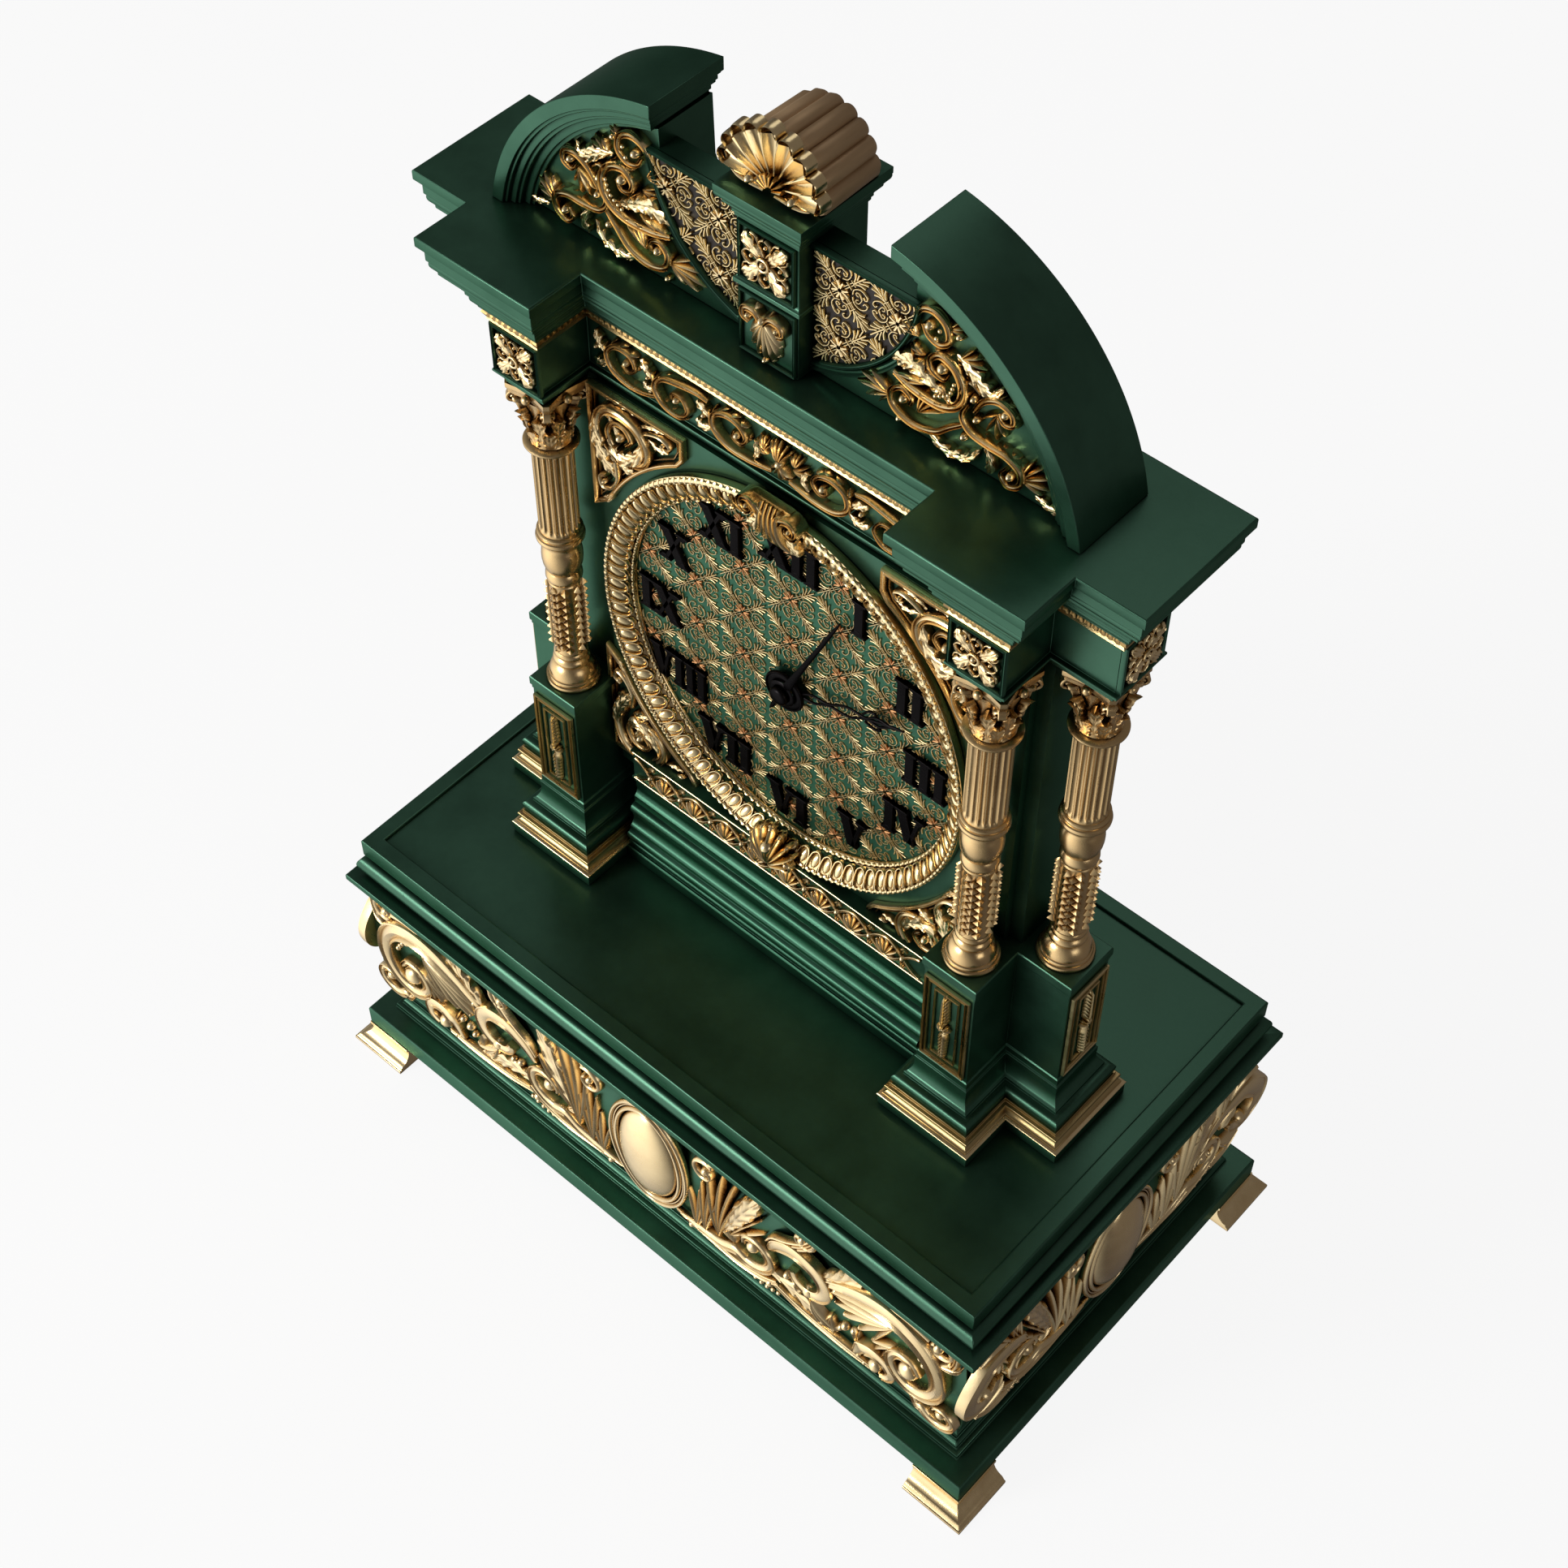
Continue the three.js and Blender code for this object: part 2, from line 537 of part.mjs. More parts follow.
// Spur wheel on an axis along Y, drawn with straight-sided teeth.
function wheel(teeth, module, bore, y0, y1, x, z, turn = 0) {
  const pitch = teeth * module / 2;
  const outline = new THREE.Shape();
  const step = 2 * Math.PI / teeth;
  const { halfRoot, halfTip, dedendum, addendum } = TOOTH;
  const root = pitch - dedendum * module;
  const tip = pitch + addendum * module;
  const corners = [[-halfRoot, root], [-halfTip, tip], [halfTip, tip], [halfRoot, root]];
  for (let tooth = 0; tooth < teeth; tooth += 1) {
    corners.forEach(([share, radius], corner) => {
      const angle = turn + (tooth + share) * step;
      const point = [radius * Math.cos(angle), radius * Math.sin(angle)];
      if (tooth + corner === 0) {
        outline.moveTo(...point);
      } else {
        outline.lineTo(...point);
      }
    });
  }
  const hole = new THREE.Path();
  hole.absarc(0, 0, bore, 0, 2 * Math.PI, true);
  outline.holes.push(hole);
  return upright(outline, y0, y1, 10).translate(x, 0, z);
}

// A tapered hand that points along +Z before it is turned clockwise by `degrees`.
function hand(reach, halfWidth, tail, bore, y0, y1, degrees) {
  const { waist, taperAt, bossWall } = HAND_SHAPE;
  const outline = new THREE.Shape();
  outline.moveTo(-halfWidth, -tail);
  outline.lineTo(halfWidth, -tail);
  outline.lineTo(halfWidth * waist, reach * taperAt);
  outline.lineTo(0, reach);
  outline.lineTo(-halfWidth * waist, reach * taperAt);
  outline.closePath();
  const boss = discY(bore + bossWall, y0, y1, 0, 0, 24);
  const body = join([upright(outline, y0, y1), boss]).subtract(toSolid(discY(bore, y0 - 1, y1 + 1, 0, 0, 24)));
  return toGeometry(body).rotateY(THREE.MathUtils.degToRad(degrees)).translate(0, 0, DIAL.z);
}

function addHands() {
  const { hourY, minuteY, thick, hourReach, minuteReach, hourAt, minuteAt } = HANDS;
  const { hourHalf, hourTail, minuteHalf, minuteTail } = HAND_SHAPE;
  const hourBore = MOTION.hourPipe + SLIP;
  const minuteBore = MOTION.arbor + SLIP;
  const front = minuteY - thick;
  add("hour_hand", hand(hourReach, hourHalf, hourTail, hourBore, hourY - thick, hourY, hourAt), BLACKED);
  add("minute_hand", hand(minuteReach, minuteHalf, minuteTail, minuteBore, front, minuteY, minuteAt), BLACKED);
  add("hand_nut", turnedY([
    [0, front - NUT.tip], [NUT.shoulder[0], front - NUT.shoulder[1]], [NUT.rim, front - GAP],
    [minuteBore, front - GAP], [minuteBore, front - NUT.socket], [0, front - NUT.socket],
  ], 0, DIAL.z, 24), BLACKED);
}

// ---- movement ----
// A hole or a rod along Y at one of the movement's pivots.
const atPivot = (radius, y0, y1, [x, dz], sides = 20) => discY(radius, y0, y1, x, DIAL.z + dz, sides);

function addMovement() {
  const { plateRadius, plateThick, frontPlate, backPlate, pillarOut, pillarRadius, pillars, pivots } = MOVEMENT;
  const plate = (y) => toSolid(discY(plateRadius, y, y + plateThick, 0, DIAL.z, 48));
  const bored = (blank, barrelRadius) => blank
    .subtract(toSolid(atPivot(MOTION.arbor + AXIS_RUN, -FAR, FAR, pivots.centre)))
    .subtract(toSolid(atPivot(barrelRadius + AXIS_RUN, -FAR, FAR, pivots.barrel)))
    .subtract(toSolid(atPivot(PENDULUM.arbor + AXIS_RUN, -FAR, FAR, pivots.crutch)));
  const studFront = MOTION.y - MOTION.pinionThick - 0.2;
  const stud = toSolid(atPivot(MOTION.stud, studFront, frontPlate + 2 * BITE, pivots.stud, 16));
  add("front_plate", bored(plate(frontPlate), GOING.barrelArbor).add(stud), BRASS);
  let back = plate(backPlate);
  for (let corner = 0; corner < pillars; corner += 1) {
    const angle = Math.PI / 4 + corner * 2 * Math.PI / pillars;
    const spot = [pillarOut * Math.cos(angle), pillarOut * Math.sin(angle)];
    back = back.add(toSolid(atPivot(pillarRadius, frontPlate + plateThick + GAP, backPlate + BITE, spot, 16)));
  }
  add("back_plate", bored(back, GOING.winding), BRASS);
  addArbors();
  addMotionWork();
  addPendulum();
}

// The centre arbor with its cannon pinion, and the mainspring barrel on its winding arbor.
function addArbors() {
  const { plateThick, frontPlate, backPlate, pivots } = MOVEMENT;
  const { centreDisc, centreDiscAt, barrelArbor, barrel, barrelAt, winding } = GOING;
  const inside = frontPlate + plateThick;
  const behind = backPlate + plateThick;
  const tip = HANDS.minuteY - HANDS.thick - NUT.socket + BITE;
  add("centre_arbor", join([
    atPivot(MOTION.arbor, tip, behind + 1, pivots.centre),
    wheel(TEETH.cannon, MOTION.gear, 0.5, MOTION.y, MOTION.y + MOTION.thick, 0, DIAL.z),
    atPivot(centreDisc, inside + centreDiscAt[0], inside + centreDiscAt[1], pivots.centre, 36),
  ]), STEEL);
  add("mainspring_barrel", join([
    atPivot(barrelArbor, frontPlate - 2 * BITE, backPlate, pivots.barrel),
    atPivot(barrel, inside + barrelAt[0], inside + barrelAt[1], pivots.barrel, 40),
    atPivot(winding, inside + barrelAt[1] - BITE, behind + 4, pivots.barrel),
  ]), BRASS);
}

// The minute wheel with its pinion, and the hour wheel on the pipe that carries the hour hand.
function addMotionWork() {
  const { gear, y, thick, arbor, hourPipe, stud, pinionThick, hourThick } = MOTION;
  const { z } = DIAL;
  const pinionY = y - pinionThick;
  const bore = stud + AXIS_RUN;
  const half = Math.PI / TEETH.minuteWheel + Math.PI;
  add("minute_wheel", join([
    wheel(TEETH.minuteWheel, gear, bore, y, y + thick, MOTION_REACH, z, half),
    wheel(TEETH.minutePinion, HOUR_GEAR, bore, pinionY, y + BITE / 2, MOTION_REACH, z),
  ]), BRASS);
  const [inner, front, back] = [arbor + AXIS_RUN, HANDS.hourY - HANDS.thick, pinionY + hourThick];
  const pipe = turnedY([[inner, front], [hourPipe, front], [hourPipe, back], [inner, back], [inner, front]], 0, z, 24);
  const disc = wheel(TEETH.hourWheel, HOUR_GEAR, hourPipe - 0.4, pinionY, back, 0, z, Math.PI / TEETH.hourWheel);
  add("hour_wheel", join([pipe, disc]), BRASS);
}

function addPendulum() {
  const { length, arbor, collar, rod, crutch } = PENDULUM;
  const { plateThick, frontPlate, backPlate, pivots } = MOVEMENT;
  const [x, dz] = pivots.crutch;
  const rear = backPlate + plateThick;
  const pivotZ = DIAL.z + dz;
  const end = rear + BOB[3][1];
  add("pendulum", join([
    discY(arbor, frontPlate, end, x, pivotZ, 16),
    discY(collar, rear + 2.2, end, x, pivotZ, 20),
    box(x - rod, x + rod, rear + 2.6, rear + 4.2, pivotZ - length, pivotZ),
    turnedY(BOB.map(([radius, y]) => [radius, rear + y]), x, pivotZ - length, 28),
    box(x - crutch.halfX, x + crutch.halfX, ...crutch.y, pivotZ + crutch.z[0], pivotZ + crutch.z[1]),
  ]), STEEL);
}

// ---- front mounts of the tower ----
function addFrontMounts() {
  const seat = TOWER.front - GAP;
  const band = box(-BAND.halfX, BAND.halfX, BAND.front, BAND.back, BAND.bottom, BAND.top);
  const ledge = box(-BAND.halfX, BAND.halfX, BAND.ledgeFront, seat, BAND.ledgeBottom, BAND.top);
  const clear = discY(DIAL.bezelOuter + GAP, -FAR, FAR, 0, DIAL.z, 56);
  add("guilloche_band", join([band, ledge]).subtract(toSolid(clear)), GILT);
  const { innerX, outerInset, thick, overlap, reachZ, top, bottom } = SPANDREL;
  const outer = DIE_INNER_X - outerInset;
  const ring = toSolid(discY(DIAL.bezelOuter + overlap, -FAR, FAR, 0, DIAL.z, 56));
  const spans = { upper: [DIAL.z + reachZ, TOWER.columnTop - top], lower: [bottom, DIAL.z - reachZ] };
  for (const [level, [z0, z1]] of Object.entries(spans)) {
    const right = toGeometry(toSolid(box(innerX, outer, seat - thick, seat, z0, z1)).subtract(ring));
    add(`spandrel_${level}_right`, right, GILT);
    add(`spandrel_${level}_left`, mirrored(right, true, false), GILT);
  }
}

// ---- entablature and cornice ----
function cornicePlan() {
  const c = CORNICE;
  return [
    [-c.frontHalfX, c.frontY], [-c.innerX, c.frontY], [-c.innerX, c.mainY], [c.innerX, c.mainY],
    [c.innerX, c.frontY], [c.frontHalfX, c.frontY], [c.frontHalfX, c.mainY], [c.sideX, c.mainY],
    [c.sideX, c.backY], [-c.sideX, c.backY], [-c.sideX, c.mainY], [-c.frontHalfX, c.mainY],
  ];
}

function addEntablature() {
  const c = CORNICE;
  const plan = cornicePlan();
  add("entablature", courses(plan, TOWER.columnTop, CORNICE_COURSES.entablature), LACQUER);
  const ropeBottom = c.friezeTop + GAP;
  const core = c.frieze - c.coreInset;
  const strip = toSolid(course(plan, ropeBottom, c.ropeTop, c.frieze + c.ropeProud, c.ropeRound));
  add("rope_moulding", strip.subtract(toSolid(course(plan, ropeBottom - 1, c.ropeTop + 1, core))), GILT);
  const ground = c.ropeTop + GAP;
  const plug = course(plan, ropeBottom, ground + BITE, core - GAP);
  add("cornice", courses(plan, ground, CORNICE_COURSES.cornice).add(toSolid(plug)), LACQUER);
}

function addFriezeMounts() {
  const c = CORNICE;
  const mid = (c.architraveTop + c.friezeTop) / 2;
  const half = (c.friezeTop - c.architraveTop) / 2 - ROSETTE.marginZ;
  const blockHalf = (c.frontHalfX - c.innerX) / 2 + c.frieze - 1;
  const plate = box(-blockHalf, blockHalf, -ROSETTE.thick, 0, -half, half);
  const rose = new THREE.SphereGeometry(ROSETTE.knob, 12, 8).translate(0, -ROSETTE.knobOut, 0);
  const rosette = toGeometry(join([plate, rose]).subtract(region({ y: [0, FAR] })));
  const blockX = (c.frontHalfX + c.innerX) / 2;
  const sideY = (c.mainY + c.backY) / 2;
  for (const [side, sign] of [["left", -1], ["right", 1]]) {
    const front = rosette.clone().translate(sign * blockX, c.frontY - c.frieze - GAP, mid);
    const turn = rosette.clone().rotateZ(sign * Math.PI / 2);
    add(`rosette_front_${side}`, front, GILT);
    add(`rosette_side_${side}`, turn.translate(sign * (c.sideX + c.frieze + GAP), sideY, mid), GILT);
  }
  const { thick, endInset, knotHalfX, knotDepth, knotShare, knotOut, knots } = FRIEZE_MOUNT;
  const reach = c.innerX - c.frieze - endInset;
  const face = c.mainY - c.frieze - GAP;
  const strip = box(-reach, reach, face - thick, face, mid - half, mid + half);
  const bosses = Array.from({ length: knots }, (_, place) => {
    const boss = new THREE.SphereGeometry(1, 14, 8).scale(knotHalfX, knotDepth, half * knotShare);
    return boss.translate((2 * place / knots - (knots - 1) / knots) * reach, face - knotOut, mid);
  });
  add("frieze_mount", join([strip, ...bosses]).subtract(region({ y: [face, FAR] })), GILT);
}

// ---- pediment, centre block and crest ----
// The right half of the arch: everything under the curve, from the middle plane to the foot.
function tympanumShape(drop) {
  const p = PEDIMENT;
  const radius = p.arcRadius - drop;
  const foot = Math.asin((CORNICE.top + GAP - p.arcZ) / radius);
  const shape = new THREE.Shape();
  shape.moveTo(GAP / 2, CORNICE.top + GAP);
  shape.lineTo(p.arcX + radius * Math.cos(foot), CORNICE.top + GAP);
  shape.absarc(p.arcX, p.arcZ, radius, foot, Math.PI / 2, false);
  shape.lineTo(GAP / 2, p.arcZ + radius);
  return shape;
}

// A moulding that follows the arch, `drop` below its top, with a plumb inner end.
function archBand(drop, thick, innerX) {
  const p = PEDIMENT;
  const [outer, inner] = [p.arcRadius - drop, p.arcRadius - drop - thick];
  const foot = (radius) => Math.asin((CORNICE.top + GAP - p.arcZ) / radius);
  const crown = (radius) => Math.acos((innerX - p.arcX) / radius);
  const shape = new THREE.Shape();
  shape.absarc(p.arcX, p.arcZ, outer, foot(outer), crown(outer), false);
  shape.absarc(p.arcX, p.arcZ, inner, crown(inner), foot(inner), true);
  return shape;
}

function addPediment() {
  const p = PEDIMENT;
  const bite = toSolid(discY(p.biteRadius, -FAR, FAR, 0, p.biteZ, 64));
  const tympanum = toSolid(upright(tympanumShape(p.slab), p.tympanumY, p.backY - 1, 20)).subtract(bite);
  const bands = ARCH_BANDS.map(({ drop, thick, inner, front, back }) => (
    upright(archBand(drop, thick, p.innerX + inner), p.frontY + front, p.backY - back, 20)
  ));
  const right = toGeometry(tympanum.add(join(bands)));
  add("pediment_right", right, LACQUER);
  add("pediment_left", mirrored(right, true, false), LACQUER);
}

// The block in the middle of the round bite, and the pierced panels on either side of it.
function addCentre() {
  const p = PEDIMENT;
  const c = CENTRE;
  const low = CORNICE.top + GAP;
  const slot = c.halfX + GAP;
  const disc = toSolid(discY(p.biteRadius - GAP, FRET_WALL.front, FRET_WALL.back, 0, p.biteZ, 64));
  const right = toGeometry(disc.intersect(region({ x: [slot, FAR], z: [-FAR, FRET_WALL.top] })));
  add("fret_panel_right", right, BRONZE);
  add("fret_panel_left", mirrored(right, true, false), BRONZE);
  const capBottom = c.capTop - c.capThick;
  const block = join([
    box(-c.halfX, c.halfX, c.front, c.back, low, c.top + BITE),
    box(-c.halfX - 1, c.halfX + 1, c.front - 1, c.back + 1, c.top, capBottom),
    box(-c.capHalf, c.capHalf, c.front - 1.8, c.back + 2, capBottom - BITE, c.capTop),
    box(-c.halfX, c.halfX, c.front - CENTRE_BELT.proud, c.front + CENTRE_BELT.deep, CENTRE_BELT.z0, CENTRE_BELT.z1),
  ]);
  const bite = toSolid(discY(p.biteRadius, -FAR, FAR, 0, p.biteZ, 64));
  add("centre_block", block.intersect(bite.add(region({ z: [c.neck, FAR] }))), LACQUER);
}

// The crest: a scallop's outline of round lobes, carried from front to back as a fluted barrel.
function addCrest() {
  const s = SHELL;
  const bottom = CENTRE.capTop + GAP;
  const parts = [discY(s.core, s.front, s.back, 0, s.eye, 28)];
  for (let lobe = 0; lobe < s.lobes; lobe += 1) {
    const angle = Math.PI * lobe / (s.lobes - 1);
    const [x, rise] = [s.core * Math.cos(angle), s.core * Math.sin(angle)];
    parts.push(discY(s.lobe, s.front, s.back, x, s.eye + rise, 12));
  }
  add("crest_shell", join(parts).subtract(region({ z: [-FAR, bottom] })), BRONZE);
}

addFeet();
addBase();
addWaistMounts();
addPedestals();
addPedestalPanels();
addPlinth();
addColumns();
addCase();
addDoor();
addDial();
addHands();
addMovement();
addFrontMounts();
addEntablature();
addFriezeMounts();
addPediment();
addCentre();
addCrest();

export default clock;
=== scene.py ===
import json
import math
import bpy
import numpy as np
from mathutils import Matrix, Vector

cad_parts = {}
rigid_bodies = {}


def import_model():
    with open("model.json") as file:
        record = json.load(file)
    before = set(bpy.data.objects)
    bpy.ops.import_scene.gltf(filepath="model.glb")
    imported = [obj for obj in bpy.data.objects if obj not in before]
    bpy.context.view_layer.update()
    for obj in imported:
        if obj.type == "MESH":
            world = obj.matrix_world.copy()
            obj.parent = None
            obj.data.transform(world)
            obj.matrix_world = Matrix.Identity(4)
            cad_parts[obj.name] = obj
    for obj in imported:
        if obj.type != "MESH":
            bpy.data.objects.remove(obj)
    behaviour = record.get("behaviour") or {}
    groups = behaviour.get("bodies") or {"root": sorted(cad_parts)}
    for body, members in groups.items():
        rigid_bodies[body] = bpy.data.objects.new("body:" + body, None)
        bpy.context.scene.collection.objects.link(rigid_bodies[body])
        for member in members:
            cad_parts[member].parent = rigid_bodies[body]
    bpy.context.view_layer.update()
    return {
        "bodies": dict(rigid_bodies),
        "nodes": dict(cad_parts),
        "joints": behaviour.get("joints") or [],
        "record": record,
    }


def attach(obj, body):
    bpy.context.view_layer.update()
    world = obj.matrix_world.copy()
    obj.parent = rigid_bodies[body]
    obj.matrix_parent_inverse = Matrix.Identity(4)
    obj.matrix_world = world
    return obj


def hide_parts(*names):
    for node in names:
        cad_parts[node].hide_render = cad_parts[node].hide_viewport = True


# The clock is drawn in millimetres in the CAD frame and scaled to metres as it is emitted:
# +X is the viewer's right as the dial is read, +Y the back, +Z up, the origin under the middle.
MM = 0.001
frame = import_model()
scene = bpy.context.scene


# ---- materials ----
def grey(level):
    return (level, level, level)


def node_material(name):
    """A new material with its node tree and its shader node."""
    material = bpy.data.materials.new(name)
    material.use_nodes = True
    tree = material.node_tree
    shader = tree.nodes["Principled BSDF"]
    return material, tree, shader


def ramp(tree, source, stops):
    """A colour ramp on a factor: stops are (position, (r, g, b)) in linear light."""
    node = tree.nodes.new("ShaderNodeValToRGB")
    elements = node.color_ramp.elements
    while len(elements) < len(stops):
        elements.new(0.5)
    for element, (position, colour) in zip(elements, stops):
        element.position = position
        element.color = (*colour, 1)
    tree.links.new(source, node.inputs["Fac"])
    return node.outputs["Color"]


def noise(tree, scale, detail=4.0, rough=0.55, stretch=None):
    """A noise factor in object space, drawn out along the axes if stretch is given."""
    coords = tree.nodes.new("ShaderNodeTexCoord").outputs["Object"]
    if stretch:
        mapping = tree.nodes.new("ShaderNodeMapping")
        mapping.inputs["Scale"].default_value = stretch
        tree.links.new(coords, mapping.inputs["Vector"])
        coords = mapping.outputs["Vector"]
    node = tree.nodes.new("ShaderNodeTexNoise")
    node.inputs["Scale"].default_value = scale
    node.inputs["Detail"].default_value = detail
    node.inputs["Roughness"].default_value = rough
    tree.links.new(coords, node.inputs["Vector"])
    return node.outputs["Fac"]


def spread(tree, factor, low, high):
    """Turns the middle of a noise factor into values from low to high."""
    node = tree.nodes.new("ShaderNodeMapRange")
    node.inputs["From Min"].default_value = 0.3
    node.inputs["From Max"].default_value = 0.7
    node.inputs["To Min"].default_value = low
    node.inputs["To Max"].default_value = high
    tree.links.new(factor, node.inputs["Value"])
    return node.outputs["Result"]


def relief(tree, shader, factor, strength, depth):
    """A fine bump on the surface, its depth in metres."""
    node = tree.nodes.new("ShaderNodeBump")
    node.inputs["Strength"].default_value = strength
    node.inputs["Distance"].default_value = depth
    tree.links.new(factor, node.inputs["Height"])
    tree.links.new(node.outputs["Normal"], shader.inputs["Normal"])


def blend(tree, mode, factor, a, b):
    """Mixes two colours, each a socket or an (r, g, b)."""
    node = tree.nodes.new("ShaderNodeMix")
    node.data_type = "RGBA"
    node.blend_type = mode
    if isinstance(factor, float):
        node.inputs["Factor"].default_value = factor
    else:
        tree.links.new(factor, node.inputs["Factor"])
    for socket, value in ((node.inputs[6], a), (node.inputs[7], b)):
        if isinstance(value, tuple):
            socket.default_value = (*value, 1)
        else:
            tree.links.new(value, socket)
    return node.outputs[2]


def hollow(tree, distance):
    """1 on open surfaces, towards 0 in the bottoms of the carving."""
    node = tree.nodes.new("ShaderNodeAmbientOcclusion")
    node.samples = 6
    node.inputs["Distance"].default_value = distance
    return node.outputs["AO"]


GREEN_EDGE = (0.35, 0.60, 0.45, 1.0)
GREY_EDGE = (0.4, 0.4, 0.4, 1.0)


def lacquer(name, dark, light, metallic, rough, coat, edge=GREEN_EDGE):
    """Satin paint over metal: cloudy, with painted shade darkening the corners, its slanting reflections
    tinted by edge.
    """
    material, tree, shader = node_material(name)
    cloud = noise(tree, 34.0, 5.0, 0.6)
    fine = noise(tree, 900.0, 3.0, 0.6)
    base = ramp(tree, cloud, [(0.32, dark), (0.7, light)])
    # Ambient occlusion darkens the paint in corners and recesses: this is painted shade.
    occlusion_shade = hollow(tree, 0.008)
    shade = ramp(tree, occlusion_shade, [(0.25, tuple(0.32 * c for c in dark)), (0.85, grey(1.0))])
    tree.links.new(blend(tree, "MULTIPLY", 0.8, base, shade), shader.inputs["Base Color"])
    shader.inputs["Metallic"].default_value = metallic
    shader.inputs["Coat Weight"].default_value = coat
    shader.inputs["Coat Roughness"].default_value = 0.28
    shader.inputs["Specular Tint"].default_value = edge
    tree.links.new(spread(tree, cloud, *rough), shader.inputs["Roughness"])
    relief(tree, shader, fine, 0.16, 0.00012)
    return material


def gilding(name, pale, mid, deep, rough=(0.24, 0.42), shade=0.0042):
    """Cast and burnished metal: pale on open surfaces, brown in hollows about as narrow as shade metres, the
    brown partly patina and partly painted shade.
    """
    material, tree, shader = node_material(name)
    cloud = noise(tree, 60.0, 6.0, 0.65)
    fine = noise(tree, 1500.0, 3.0, 0.6)
    # Ambient occlusion browns the hollows: partly the patina of the real mounts, partly painted shade.
    occlusion_shade = hollow(tree, shade)
    base = ramp(tree, occlusion_shade, [(0.10, deep), (0.38, mid), (0.78, pale)])
    tint = ramp(tree, cloud, [(0.3, (0.80, 0.74, 0.66)), (0.7, grey(1.0))])
    tree.links.new(blend(tree, "MULTIPLY", 0.75, base, tint), shader.inputs["Base Color"])
    shader.inputs["Metallic"].default_value = 1.0
    tree.links.new(spread(tree, cloud, *rough), shader.inputs["Roughness"])
    relief(tree, shader, fine, 0.25, 0.00010)
    return material


def streaked(name, dark, light, stretch, rough, metallic):
    """Brushed or wiped metal, its streaks drawn out along the axes by stretch."""
    material, tree, shader = node_material(name)
    streak = noise(tree, 40.0, 6.0, 0.7, stretch)
    tree.links.new(ramp(tree, streak, [(0.3, dark), (0.72, light)]), shader.inputs["Base Color"])
    shader.inputs["Metallic"].default_value = metallic
    tree.links.new(spread(tree, streak, *rough), shader.inputs["Roughness"])
    relief(tree, shader, noise(tree, 300.0, 4.0, 0.6, stretch), 0.2, 0.0002)
    return material


LACQUER = lacquer("green_lacquer", (0.037, 0.098, 0.062), (0.056, 0.142, 0.091), 0.84, (0.28, 0.40), 0.15)
# A darker copy of the green lacquer for the tower plinth: painted shade for its recess between the piers.
SHADED = lacquer("shaded_lacquer", (0.018, 0.064, 0.038), (0.030, 0.098, 0.058), 0.84, (0.28, 0.40), 0.15)
GILT = gilding("burnished_gilt", (1.0, 0.79, 0.45), (0.52, 0.335, 0.14), (0.034, 0.017, 0.008), (0.20, 0.36))
# A lighter copy of the gilt with narrower hollow shading and lower roughness, for the bezel and its mounts,
# the tympana and the crest: its lighter colour is painted light.
BRIGHT = gilding("bright_gilt", (1.0, 0.81, 0.46), (0.60, 0.39, 0.16), (0.03, 0.015, 0.007), (0.16, 0.28),
                 shade=0.0034)
WARM = gilding("warm_gilt", (0.78, 0.56, 0.28), (0.34, 0.195, 0.075), (0.03, 0.012, 0.005), (0.20, 0.34),
               shade=0.0055)
ANTIQUE = gilding("antique_gilt", (0.56, 0.42, 0.20), (0.32, 0.22, 0.09), (0.05, 0.032, 0.012))
# A dark brown copy of the gilt for the rope under the cornice's overhang: partly its own tone, partly painted
# shade.
ROPE = gilding("rope_gilt", (0.36, 0.24, 0.095), (0.18, 0.11, 0.04), (0.03, 0.016, 0.006), (0.28, 0.42))
PALE = gilding("fret_gilt", (0.82, 0.66, 0.36), (0.42, 0.30, 0.12), (0.03, 0.03, 0.014), shade=0.0014)
COPPER = gilding("copper_gilt", (0.72, 0.38, 0.17), (0.40, 0.19, 0.08), (0.09, 0.035, 0.014), shade=0.0012)
BRONZE = streaked("brown_bronze", (0.36, 0.235, 0.120), (0.66, 0.445, 0.245), (1, 0.12, 1), (0.42, 0.58),
                  0.45)
BLACK = lacquer("blacked_metal", (0.006, 0.0052, 0.0055), (0.011, 0.0096, 0.010), 0.9, (0.26, 0.42),
                0.0, GREY_EDGE)
ENAMEL = lacquer("dial_green", (0.020, 0.082, 0.048), (0.034, 0.122, 0.070), 0.6, (0.3, 0.42), 0.05)
GROUND = lacquer("fret_ground", (0.010, 0.007, 0.006), (0.020, 0.014, 0.012), 0.1, (0.4, 0.55),
                 0.05, GREY_EDGE)
BRASS = streaked("movement_brass", (0.42, 0.27, 0.10), (0.66, 0.46, 0.19), (1, 1, 1), (0.24, 0.4), 1.0)
STEEL = streaked("polished_steel", (0.30, 0.31, 0.33), (0.52, 0.53, 0.55), (1, 1, 1), (0.2, 0.36), 1.0)


